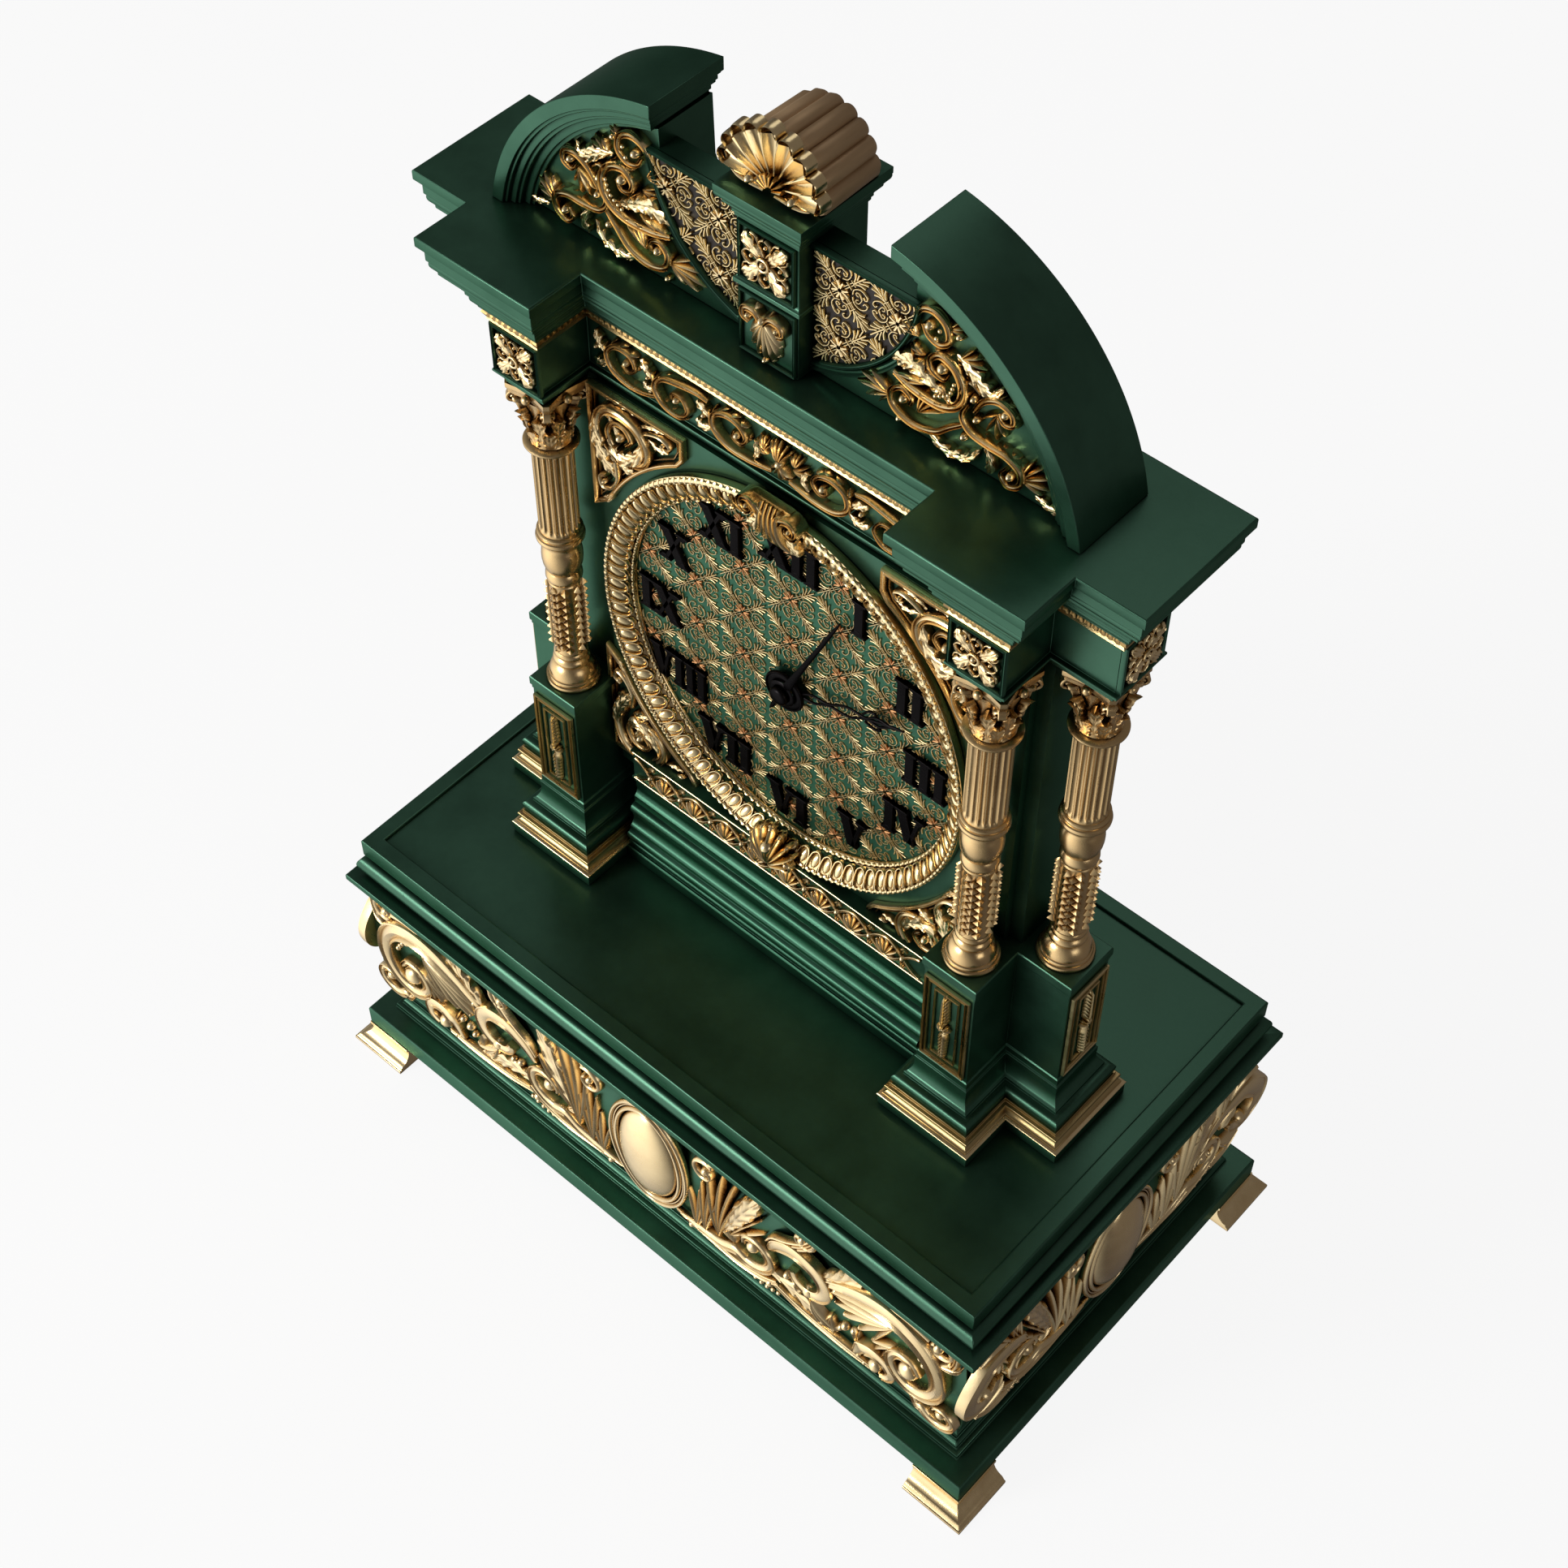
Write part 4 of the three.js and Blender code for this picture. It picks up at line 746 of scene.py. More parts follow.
def build_pediment():
    """Each half is an arch over a wall, and a rim follows the round bite between the halves."""
    arch_depth, middle_gap, inner_x = 13.8, 0.2, 52.6
    front_y, back_y = -12.7, 12.4
    for side, sign in (("right", 1), ("left", -1)):
        radius = ARC_R - arch_depth
        foot = math.asin((SEAT - ARC_Z) / radius)
        crown = math.acos((inner_x - ARC_X) / radius)
        bite = bite_points(middle_gap, 56.5, count=50)
        outline = [(middle_gap, SEAT), (ARC_X + radius * math.cos(foot), SEAT)]
        outline += [tuple(p) for p in arc_points(radius, foot, crown)[1:]]
        outline += [tuple(p) for p in bite[bite[:, 0] < inner_x][::-1]]
        wall = Solid().plan(plate(np.array(outline) * np.array([sign, 1]), -back_y, -front_y))
        whole = arch_moulding(sign).put(wall)
        whole.emit(f"pediment_arch_{side}", on_front(), LACQUER, "lacquer",
                   stands_for=[f"pediment_{side}"], bevel=0.22)
        rim = Carving()
        rows = [(sign * x, z, 3.2, 2.4) for x, z in bite_points(1.0, 52.0, BITE_R + 1.7)]
        rim.strip(rows, section((1, 0), (1, .55), (.82, .9), (.4, 1), (.1, .62), (-.3, .62), (-.6, .86),
                                (-1, .5), (-1, 0)), 1.0)
        rim.emit(f"bite_rim_{side}", on_front(y=WALL_Y), LACQUER, "lacquer")


# ---- carved mounts of the base ----
BOSS_V, BOSS_HALF_U, BOSS_HALF_V = 85.4, 16.8, 30.4


def cabochon(work, v, half_u, half_v):
    """A polished oval boss in three rings."""
    lip, dome_rise, around = 0.6, 8.2, 72
    lat = np.linspace(0, math.pi / 2, 14)
    lon = np.linspace(0, 2 * math.pi, 56, endpoint=False)
    dome = np.stack([
        half_u * np.cos(lat)[:, None] * np.cos(lon), v + half_v * np.cos(lat)[:, None] * np.sin(lon),
        lip + dome_rise * np.sin(lat)[:, None] + 0 * lon,
    ], -1)
    dome[-1] = [0, v, lip + dome_rise]
    foot = dome[0].copy()
    foot[:, 2] = 0
    work.tube(np.concatenate([foot[None], dome]))
    for out, width, height in ((1.5, 2.4, 3.9), (3.5, 1.3, 2.9), (5.1, 2.1, 3.6)):
        angle = np.linspace(0, 2 * math.pi, around, endpoint=False)
        turn = np.linspace(0, 2 * math.pi, 10, endpoint=False)
        spine = np.column_stack([(half_u + out) * np.cos(angle), v + (half_v + out) * np.sin(angle)])
        radial = np.column_stack([np.cos(angle), np.sin(angle)])
        ring = np.concatenate([
            spine[:, None] + radial[:, None] * (width / 2 * np.cos(turn))[None, :, None],
            np.broadcast_to(height * (0.5 + 0.5 * np.sin(turn)), (around, len(turn)))[..., None],
        ], -1)
        work.ring(ring)


def eye_scroll(work, rows, eye, shape=REED, height=3.4):
    """A strap that ends in a round eye of (u, v, radius)."""
    work.strip(rows, shape)
    work.ball(*eye, height=height, lift=0.6)


def pearls(work, places):
    """Single beads at (u, v, radius), each a little higher than it is wide."""
    for u, v, r in places:
        work.ball(u, v, r, r + 1.4)


def waist_inner(work):
    """The foliage next to the boss: small volute, petals, stems and the first scroll."""
    curl = coil(33.2, 108.6, 8.2, 2.9, 60, 420, (3.2, 2.0), (3.4, 4.0))
    eye_scroll(work, [(43, 120, 3.2, 2.6), (36, 117, 3.2, 3.0)] + curl, (33.2, 108.6, 2.3), ROUND)
    work.plume(27.5, 57, (97, 84, 70), (26, 30, 24), 8, 3.6, 3.6)
    work.plume(33, 60, (96, 88, 79), (37, 42, 40), -4, 3.7, 4.4)
    work.plume(41, 66, (104, 94, 86, 79), (46, 54, 56, 50), -14, 3.9, 4.8)
    work.leaf([(42, 70, 3, 3.2), (48, 84, 8, 4.2), (54, 99, 11, 4.6), (63, 118, 8, 3.4)],
              5, 0.3, 0.6, 0.28, 0.4)
    work.plume(47, 73, (66, 54), (34, 28), -10, 3.2, 3.8)
    curl = coil(59.6, 77.6, 15.5, 5.2, 232, 545, (6.6, 3.4), (4.6, 4.2))
    eye_scroll(work, [(18, 56, 2.6, 2.6), (30, 58, 5.4, 3.6), (42, 60.5, 6.4, 4.2)] + curl,
               (59.4, 77.4, 3.6), height=4.2)
    work.strip([(15, 56.5, 2.0, 2.4), (32, 55.5, 4.6, 3.2), (50, 54, 4.4, 3.4), (64, 57, 4.6, 3.4),
                (73, 62, 3.6, 3.0)], GROOVED)
    work.plume(50, 68, (150, 135, 118), (13, 12, 10), 24, 2.6, 3.0)


def front_waist_half():
    """The right half of the long mount, from the boss out to the corner."""
    work = Carving()
    waist_inner(work)
    # hooked strap from the lip, and the second scroll
    work.strip([(93, 121, 4.6, 3.0), (88, 112, 5.2, 3.6), (80, 104, 5.6, 3.9), (72, 98, 5.8, 3.8),
                (68, 91, 4.4, 3.0)], GROOVED)
    curl = coil(86.5, 115.5, 6.4, 2.6, 20, -250, (3.0, 2.0), (3.0, 3.6))
    eye_scroll(work, [(95, 121, 2.4, 2.6)] + curl, (86.2, 115.0, 2.5), ROUND)
    curl = coil(88.2, 86.6, 14.6, 6.6, 76, -168, (8.6, 4.4), (4.8, 4.0))
    eye_scroll(work, [(68, 86, 3.0, 2.6), (73, 95, 6.8, 3.8), (82, 101.5, 8.6, 4.6)] + curl,
               (90.6, 78.0, 3.7), STRAP, height=4.4)
    # leaf that rises to the lip, and its ribs
    work.leaf([(96, 98, 5, 3.4), (103, 104, 10, 4.2), (110, 111, 11, 4.2), (118, 122, 8, 3.0)],
              4, 0.3, 0.7, 0.3, 0.4)
    work.plume(98, 101, (22, 36), (22, 24), 18, 2.6, 3.6)
    # the great scroll with its bead row
    great = [
        (96, 92, 4.5, 3.0), (104, 99, 7.6, 4.2), (115, 107.4, 10.4, 5.2), (127, 113.6, 12.4, 6.0),
        (139, 114.6, 12.6, 6.4), (150, 109.5, 11.4, 6.4), (157.2, 100.0, 9.6, 6.2), (160, 88.5, 8.6, 6.0),
        (158.6, 78.0, 8.0, 5.6), (153, 69.8, 7.6, 5.2), (144.6, 67.4, 7.2, 5.0), (137.6, 71.6, 6.4, 4.8),
        (134.8, 79.4, 5.8, 4.8), (138.2, 87.0, 5.2, 4.8), (145.6, 88.2, 4.6, 4.8), (149.8, 82.8, 4.0, 4.8),
    ]
    work.strip(great, REED, 0.8)
    work.ball(144.2, 79.6, 5.4, 5.6, lift=0.8, fine=18)
    work.beads([(133.6, 104.8), (141.0, 105.4), (147.6, 101.4), (151.6, 94.4)], 1.45, 3.3, lift=3.0)
    work.strip([(121, 113.6, 2.6, 3.4), (130, 119.6, 3.6, 4.2), (142, 121.2, 4.2, 4.4), (153, 117, 3.0, 3.6)])
    # plumes inside it
    for heading, length, width in ((196, 34, 4.0), (205, 37, 4.6), (216, 36, 5.0), (228, 32, 4.8),
                                   (241, 27, 4.2)):
        work.finger(136, 105, heading, length, 12, width, 4.6, 0.5)
    work.plume(136.5, 88, (205, 222, 238, 252), (16, 20, 22, 18), 26, 3.2, 3.9)
    work.plume(132.5, 77.5, (250, 268), (12, 11), 8, 2.8, 3.6)
    # low foliage between the scrolls
    work.leaf([(64, 66, 3, 2.8), (74, 70, 8, 3.8), (85, 68, 9, 3.8), (95, 62, 7, 3.2), (104, 58, 4, 2.4)],
              5, 0.36, 0.6)
    work.plume(92, 72, (300, 282, 318), (16, 15, 17), 18, 4.4, 4.2)
    work.strip([(70, 60, 3.2, 2.8), (84, 57, 4.6, 3.4), (98, 55.5, 5.4, 3.6), (112, 54.5, 4.8, 3.4),
                (125, 53.6, 3.0, 2.6)], GROOVED)
    work.plume(103, 72, (256, 272, 240), (11, 12, 10), 20, 3.0, 3.4)
    pearls(work, [(78, 75, 2.2), (82.5, 73.6, 2.0), (110, 71.5, 2.4), (114.6, 73, 2.0), (107.6, 67.4, 1.9),
                  (100, 88, 2.2), (104.6, 95.4, 2.3), (68.8, 57.4, 2.6), (24, 54, 2.2)])
    work.beads([(57, 52.0), (64, 50.4), (73, 52.6)], 1.3, 2.9, lift=1.2)
    # low scroll that opens downwards
    curl = coil(128.4, 62.4, 10.2, 6.2, 140, -70, (8.0, 4.0), (5.2, 4.2))
    eye_scroll(work, [(116, 57, 3.6, 3.2), (119, 66.4, 6.4, 4.4)] + curl, (127.0, 59.4, 3.9),
               STRAP, height=4.4)
    work.plume(118, 68, (128, 110, 92), (7, 8, 7), 10, 2.6, 3.6)
    work.beads([(117, 61.0), (117.6, 56.8), (121, 53.6)], 1.25, 2.8, lift=1.8)
    # end volutes
    curl = coil(161.4, 62.6, 10.4, 3.6, 208, 520, (5.6, 3.0), (4.4, 4.2))
    eye_scroll(work, [(145.5, 65.4, 3.4, 3.4), (150, 57.0, 5.2, 4.0)] + curl, (161.6, 63.0, 3.0), height=4.0)
    curl = coil(157.6, 115.4, 7.2, 3.0, 38, -235, (3.6, 2.4), (3.4, 3.8))
    eye_scroll(work, [(165, 121, 3.2, 2.8)] + curl, (157.2, 115.6, 2.9), ROUND, height=4.0)
    work.plume(156, 104.5, (-6, 10, 26), (11, 12, 11), 14, 3.0, 3.8)
    work.strip([(165.5, 120, 4.2, 3.0), (164.4, 110, 4.6, 3.4), (160.8, 102.5, 3.6, 3.2)], GROOVED)
    return work


def side_waist_half():
    """One half of the short mount, from the boss out to the corner."""
    work = Carving()
    waist_inner(work)
    work.strip([(66, 121, 4.0, 3.0), (70, 111, 5.4, 3.6), (68, 102, 5.0, 3.4), (63, 95, 3.6, 3.0)], GROOVED)
    work.plume(67, 96, (62, 78, 94), (22, 25, 23), -16, 3.4, 3.8)
    curl = coil(85.8, 84.0, 14.6, 6.4, 60, -176, (12.2, 5.0), (5.6, 4.6))
    eye_scroll(work, [(61, 88, 3.4, 3.0), (67, 97, 7.4, 4.2), (76, 102.6, 10.4, 5.0),
                      (86, 103.0, 12.2, 5.4)] + curl,
               (86.4, 77.4, 4.3), STRAP, height=4.8)
    work.strip([(76, 108.0, 3.0, 3.4), (84, 112.6, 3.6, 4.0), (92.5, 111.0, 3.0, 3.6)])
    work.plume(80, 98, (232, 246, 260), (16, 17, 14), 18, 3.4, 4.0)
    work.plume(74, 71, (330, 312, 296), (18, 15, 12), 16, 4.0, 4.0)
    work.strip([(62, 60, 3.4, 3.0), (72, 57, 4.8, 3.6), (82, 57.5, 4.6, 3.4), (90, 62.5, 3.0, 2.8)], GROOVED)
    pearls(work, [(70, 57.4, 2.4), (66.5, 72.4, 2.2), (71.4, 75.4, 2.0), (91.0, 98.6, 1.7)])
    work.beads([(54, 52.0), (61, 50.4), (69, 52.6)], 1.3, 2.9, lift=1.2)
    return work


def build_waist_mounts():
    """The long mount lies on the front and the rear, the short one on both sides."""
    boss = Carving()
    cabochon(boss, BOSS_V, BOSS_HALF_U, BOSS_HALF_V)
    long_mount = front_waist_half().both().put(boss)
    short_mount = side_waist_half().both().put(boss)
    sunk = 0.4
    face_y, face_x = WAIST_FACE - sunk, WAIST_SIDE - sunk
    for side, mount, place in (
        ("front", long_mount, on_front(y=-face_y)),
        ("rear", long_mount, on_back(y=face_y)),
        ("right", short_mount, on_right(x=face_x)),
        ("left", short_mount, on_left(x=-face_x)),
    ):
        mount.emit(f"waist_carving_{side}", place, GILT, "gilt", stands_for=[f"waist_mount_{side}"])


# ---- fret pattern of the dial and the pierced panels ----
FRET_PITCH = 23.6


def cut_to(rows, inside):
    """The runs of a path that lie inside a boundary."""
    runs, run = [], []
    for row in through(rows, 0.5):
        if inside(row[0], row[1]):
            run.append(tuple(row))
        else:
            if len(run) > 4:
                runs.append(run)
            run = []
    if len(run) > 4:
        runs.append(run)
    return runs


THREAD = section((1, 0), (.92, .62), (.4, .98), (-.4, .98), (-.92, .62), (-1, 0))


def fret_unit(work, flower, cx, cy, pitch, inside, height=0.5, line=0.42):
    """One repeat: a four-petalled flower, collared diagonal leaves, and two-volute curls between."""
    k = pitch / FRET_PITCH
    wide = line * k

    def draw(rows, turn, thick=1.0, tall=1.0, onto=work):
        c, s = math.cos(math.radians(turn)), math.sin(math.radians(turn))
        size = (wide * thick, height * tall)
        placed = [(cx + k * (u * c - v * s), cy + k * (u * s + v * c), *size) for u, v in rows]
        for run in cut_to(placed, inside):
            onto.strip(run, THREAD, 0.42)

    for turn in (0, 90, 180, 270):
        for sign in (1, -1):
            draw([(0.8, 0.1 * sign), (2.4, 0.7 * sign), (3.3, 1.3 * sign)], turn, 1.9, 1.9, flower)
            draw([(2.6, 0.5 * sign), (4.2, 0.75 * sign)], turn, 1.5, 2.1, flower)
            draw([(2.0, 1.0 * sign), (2.6, 2.1 * sign)], turn, 1.2, 1.7, flower)
        for sign in (1, -1):
            draw([(4.6, 0.5 * sign), (5.2, 2.6 * sign), (7.6, 3.9 * sign), (10.0, 2.9 * sign),
                  (10.7, 1.3 * sign),
                  (9.6, 0.75 * sign), (9.0, 1.6 * sign)], turn, 0.95, 1.0)
            draw([(8.4, 0.0), (7.9, 1.0 * sign), (7.0, 2.1 * sign), (6.0, 1.9 * sign), (6.1, 0.9 * sign),
                  (7.0, 0.75 * sign)], turn, 0.85, 0.9)
        draw([(6.2, 0), (8.6, 0)], turn, 0.8, 0.9)
    for turn in (45, 135, 225, 315):
        for sign in (1, -1):
            draw([(1.6, 0.42 * sign), (7.6, 0.42 * sign)], turn, 0.85, 1.15)
        draw([(5.0, -1.5), (5.0, 1.5)], turn, 0.8, 1.5)
        draw([(7.4, -1.3), (7.4, 1.3)], turn, 0.8, 1.4)
        draw([(7.6, 0), (10.5, 0), (15.4, 0)], turn, 1.3, 1.5)
        for sign in (1, -1):
            draw([(8.0, 0.4 * sign), (9.8, 1.5 * sign), (11.0, 3.2 * sign)], turn, 1.35, 1.3)
            draw([(9.8, 0.5 * sign), (11.8, 1.6 * sign), (13.2, 2.7 * sign)], turn, 1.3, 1.3)
            draw([(11.8, 0.5 * sign), (13.6, 1.2 * sign), (15.0, 1.7 * sign)], turn, 1.2, 1.2)


# The surround is drawn between two circles and eased onto two ovals, given by their half axes.
DIAL_Z = 311.0
PLATE_FACE = 8.6
ROUND_INNER, ROUND_OUTER = 82.5, 92.0
OVAL_INNER, OVAL_OUTER = (79.4, 84.2), (88.0, 96.0)
OVAL_RISE = 2.2


def ovalled(points):
    """The dial's surround is slightly taller than wide: a round drawing eased onto the oval."""
    u, v, w = points.T
    t = np.clip((np.hypot(u, v) - ROUND_INNER) / (ROUND_OUTER - ROUND_INNER), 0, 1)
    wide = (1 - t) * OVAL_INNER[0] / ROUND_INNER + t * OVAL_OUTER[0] / ROUND_OUTER
    tall = (1 - t) * OVAL_INNER[1] / ROUND_INNER + t * OVAL_OUTER[1] / ROUND_OUTER
    return np.column_stack([u * wide, v * tall + OVAL_RISE * t, w])


def on_oval(y):
    """Where the oval surround lies."""
    place = on_front(y=y, z=DIAL_Z)
    return lambda points: place(ovalled(points))


def build_dial_fret():
    """A square lattice of flowers cut to the oval and to a small circle round the arbor."""
    work, flower = Carving(), Carving()
    arbor_clear, rim_gap, last_unit = 8.6, 0.9, 98

    def inside(u, v):
        share = math.hypot(u / (OVAL_INNER[0] - rim_gap), v / (OVAL_INNER[1] - rim_gap))
        return math.hypot(u, v) > arbor_clear and share < 1

    for column in range(-4, 5):
        for row in range(-4, 5):
            if math.hypot(column, row) * FRET_PITCH < last_unit:
                fret_unit(work, flower, column * FRET_PITCH, row * FRET_PITCH, FRET_PITCH, inside)
    work.emit("dial_gilt_fret", on_front(y=-PLATE_FACE, z=DIAL_Z), PALE, "antique_gilt", sharp=60)
    flower.emit("dial_copper_flowers", on_front(y=-PLATE_FACE, z=DIAL_Z), COPPER, "antique_gilt", sharp=60)


# ---- Roman numerals ----
def stroke_box(work, corners, depth):
    """A flat-sided stroke with chamfered edges, from an anticlockwise outline."""
    outline = np.array(corners, float)
    centre = outline.mean(0)
    shrink = centre + (outline - centre) * np.array([0.90, 0.965])
    levels = ((outline, -0.15), (outline, depth - 0.35), (shrink, depth))
    work.plan([np.column_stack([ring, np.full(len(ring), w)]) for ring, w in levels])


def slanted(work, x0, x1, width, tall, depth):
    """A stroke from x0 at the foot to x1 at the top."""
    half = width / 2
    stroke_box(work, [(x0 - half, -tall / 2), (x0 + half, -tall / 2), (x1 + half, tall / 2),
                      (x1 - half, tall / 2)],
               depth)


def serif(work, x, at, width, depth):
    """A bracketed slab serif at the top (at > 0) or the foot of a stroke."""
    sign = math.copysign(1, at)
    half = width / 2
    shape = [(-half, 0), (half, 0), (half, 0.8), (half * 0.52, 1.5), (half * 0.38, 2.6), (-half * 0.38, 2.6),
             (-half * 0.52, 1.5), (-half, 0.8)]
    placed = [(x + u, at - sign * v) for u, v in shape]
    if sign > 0:
        placed = placed[::-1]
    stroke_box(work, placed, depth + 0.12)


def letter(work, mark, x, tall, depth):
    """One letter centred on x: I, V and X with thick and thin strokes."""
    end = tall / 2
    if mark == "I":
        slanted(work, x, x, 4.2, tall, depth)
        serif(work, x, end, 6.8, depth)
        serif(work, x, -end, 6.8, depth)
    elif mark == "V":
        slanted(work, x + 0.4, x - 4.2, 4.9, tall, depth)
        slanted(work, x + 0.4, x + 4.6, 1.9, tall, depth)
        serif(work, x - 4.3, end, 7.2, depth)
        serif(work, x + 4.6, end, 5.6, depth)
    else:
        slanted(work, x + 4.4, x - 4.4, 5.0, tall, depth)
        slanted(work, x - 4.4, x + 4.4, 1.9, tall, depth)
        for side in (-4.5, 4.5):
            serif(work, x + side, end, 6.4, depth)
            serif(work, x + side, -end, 6.4, depth)


def build_numerals():
    """Twelve upright numerals on the oval, the long ones squeezed to fit."""
    work = Solid()
    tall, depth, widest = 17.0, 2.25, 29.0
    reach_u, reach_v, rise = 65.5, 70.0, 0.8
    widths = {"I": 6.9, "V": 13.0, "X": 14.0}
    for hour, word in enumerate(("XII", "I", "II", "III", "IV", "V", "VI", "VII", "VIII", "IX", "X", "XI")):
        angle = math.radians(30 * hour)
        total = sum(widths[mark] for mark in word)
        one = Solid()
        x = -total / 2
        for mark in word:
            letter(one, mark, x + widths[mark] / 2, tall, depth)
            x += widths[mark]
        spot = (reach_u * math.sin(angle), reach_v * math.cos(angle) + rise, 0)
        work.put(one, spot, stretch=(min(1.0, widest / total), 1, 1))
    work.emit("roman_numerals", on_front(y=-PLATE_FACE, z=DIAL_Z), BLACK, "blacked", bevel=0.1)


# ---- bezel ----
def ring_of(radius, half, rise, lift, twist=0, strands=1, steps=720, around=10, bulge=0.0):
    """A round moulding ring, plain or cut as a twisted cord."""
    a = np.linspace(0, 2 * math.pi, steps, endpoint=False)[:, None]
    b = np.linspace(0, 2 * math.pi, around, endpoint=False)[None]
    swell = 1 + bulge * np.cos(strands * b + twist * a)
    r = radius + half * swell * np.cos(b)
    w = lift + rise * swell * np.sin(b)
    return np.stack([r * np.sin(a), r * np.cos(a), w], -1)


def egg_and_tongue():
    """One egg with the tongue that loops round it, leaning back with the dish of the band."""
    egg, leaning = Carving(), Carving()
    tilt = math.atan2(3.6, 5.6)
    lat = np.linspace(0.05, math.pi / 2, 7)[::-1][:, None]
    lon = np.linspace(0, 2 * math.pi, 16, endpoint=False)
    across = 2.2 * np.sin(lat) * np.cos(lon) * (1 - 0.16 * np.sin(lon)) + 0.8 * np.sin(lon) * np.sin(lat)
    egg.tube(np.stack([across, 3.7 * np.sin(lat) * np.sin(lon), 1.7 * np.cos(lat) + 0 * lon], -1))
    egg.strip([(3.6, 3.7, 0.7, 1.4), (3.1, 0.4, 0.75, 1.7), (1.5, -3.2, 0.8, 1.8), (-0.9, -4.1, 0.8, 1.7),
               (-2.6, -2.8, 0.8, 1.8), (-3.0, 0.2, 0.75, 1.7), (-1.9, 3.9, 0.7, 1.4)], THREAD, 0.6)

    def lean(points):
        u, v, w = points.T
        down = v * math.cos(tilt) - w * math.sin(tilt) * 0.6
        return np.column_stack([u, down, v * math.sin(tilt) + w * math.cos(tilt)])

    leaning.bend(egg, lean)
    return leaning


def build_bezel():
    """A dished egg band between a cord at the outer edge and a beaded inner edge, on a plumb wall."""
    work = Carving()
    eggs, egg_circle, egg_lift = 84, 86.6, 1.3
    a = np.linspace(0, 2 * math.pi, 240, endpoint=False)[:, None]
    line = np.array([
        (81.6, -4.3), (81.6, -3.2), (82.0, -2.6), (82.6, -2.4), (83.1, -2.6), (83.4, -2.2), (84.6, 0.3),
        (89.6, 3.4), (89.9, 3.2), (90.2, 3.5), (91.3, 3.9), (91.9, 3.4), (92.0, 1.2), (91.7, 0.9),
        (91.7, 0.1), (84.2, 0.1), (84.2, -4.3),
    ])
    r, w = line[:, 0][None], line[:, 1][None]
    work.ring(np.stack([r * np.sin(a), r * np.cos(a), w + 0 * a], -1))
    work.ring(ring_of(82.4, 0.75, 0.75, -2.3, 150, 2, 1200, 8, 0.2))
    work.ring(ring_of(90.9, 0.9, 0.9, 4.0, 170, 2, 1360, 8, 0.22))
    egg = egg_and_tongue()
    for index in range(eggs):
        angle = 360 * index / eggs
        rad = math.radians(angle)
        work.put(egg, (egg_circle * math.sin(rad), egg_circle * math.cos(rad), egg_lift), turn=-angle)
    work.emit("bezel_egg_moulding", on_oval(BEZEL_Y), BRIGHT, "gilt", stands_for=["bezel"])


def build_cartouche():
    """The scrolled mount over the twelve: two volutes, five ribs that fall apart and two leaves."""
    top = Carving()
    for sign in (-1, 1):
        curl = coil(10.8 * sign, 402.2, 5.3, 1.9, 90 + 50 * sign, 90 - 310 * sign, (3.4, 1.8), (7.6, 7.0))
        eye_scroll(top, [(3.4 * sign, 402, 4.0, 7.2), (6.4 * sign, 405.6, 4.2, 7.6)] + curl,
                   (10.8 * sign, 402.0, 1.9), height=6.6)
    for u, end, width in ((-3.9, -8.2, 3.2), (-1.7, -3.4, 2.9), (0.4, 1.0, 2.9), (2.6, 5.2, 2.9),
                          (4.6, 9.0, 3.2)):
        top.strip([(u, 408.4, width * 0.8, 5.2), (u * 1.02, 403, width * 0.86, 7.4),
                   (u * 1.05 + (end - u) * 0.18, 396, width, 7.4),
                   (u + (end - u) * 0.55, 390.6, width * 1.06, 5.6), (end, 386.8, width * 0.7, 3.0)])
    for sign in (-1, 1):
        top.leaf([(7 * sign, 395, 5, 4.5), (10 * sign, 391, 6, 4.2), (12.4 * sign, 386.6, 4, 2.4)],
                 3, 0.3, 0.5)
    top.tube(np.array([[(-9.4, 408.9, 0), (9.4, 408.9, 0), (9.4, 408.9, 3.4), (-9.4, 408.9, 3.4)],
                       [(-8.4, 392, 0), (8.4, 392, 0), (8.4, 392, 3.6), (-8.4, 392, 3.6)]]))
    small = Carving()
    small.put(top, (0, 46.8, 0), size=0.9)
    small.emit("bezel_scroll_cartouche", on_front(y=CARTOUCHE_Y),
               BRIGHT, "gilt", stands_for=["bezel_cartouche"])


def build_palmette():
    """The leafy mount under the six: nine lobes round a bead, with a small curl on each side."""
    low = Carving()
    for heading, length, width in ((90, 20, 5.6), (104, 18.5, 4.6), (76, 18.5, 4.6), (120, 16.5, 4.2),
                                   (60, 16.5, 4.2), (138, 14, 3.8), (42, 14, 3.8), (158, 11, 3.2),
                                   (22, 11, 3.2)):
        low.finger(0, 214.8, heading, length, 0, width, 5.8, 0.5)
    low.ball(0, 225.6, 3.3, 5.2, lift=2.2, fine=16)
    for sign in (1, -1):
        curl = coil(8.4 * sign, 219.2, 3.6, 1.5, 270 - 30 * sign, 270 + 230 * sign, (2.2, 1.4), (4.0, 4.2))
        eye_scroll(low, [(1.5 * sign, 215.6, 3, 4)] + curl, (8.4 * sign, 219.2, 1.5), ROUND)
    low.emit("bezel_acanthus_palmette", on_front(y=PALMETTE_Y), BRIGHT, "gilt", stands_for=["bezel_palmette"])


# ---- hands ----
HOUR_TURN, MINUTE_TURN = 70, 25


def turned_hand(work, degrees):
    """A hand drawn upright, turned clockwise as the dial is read."""
    return Carving().put(work, turn=-degrees)


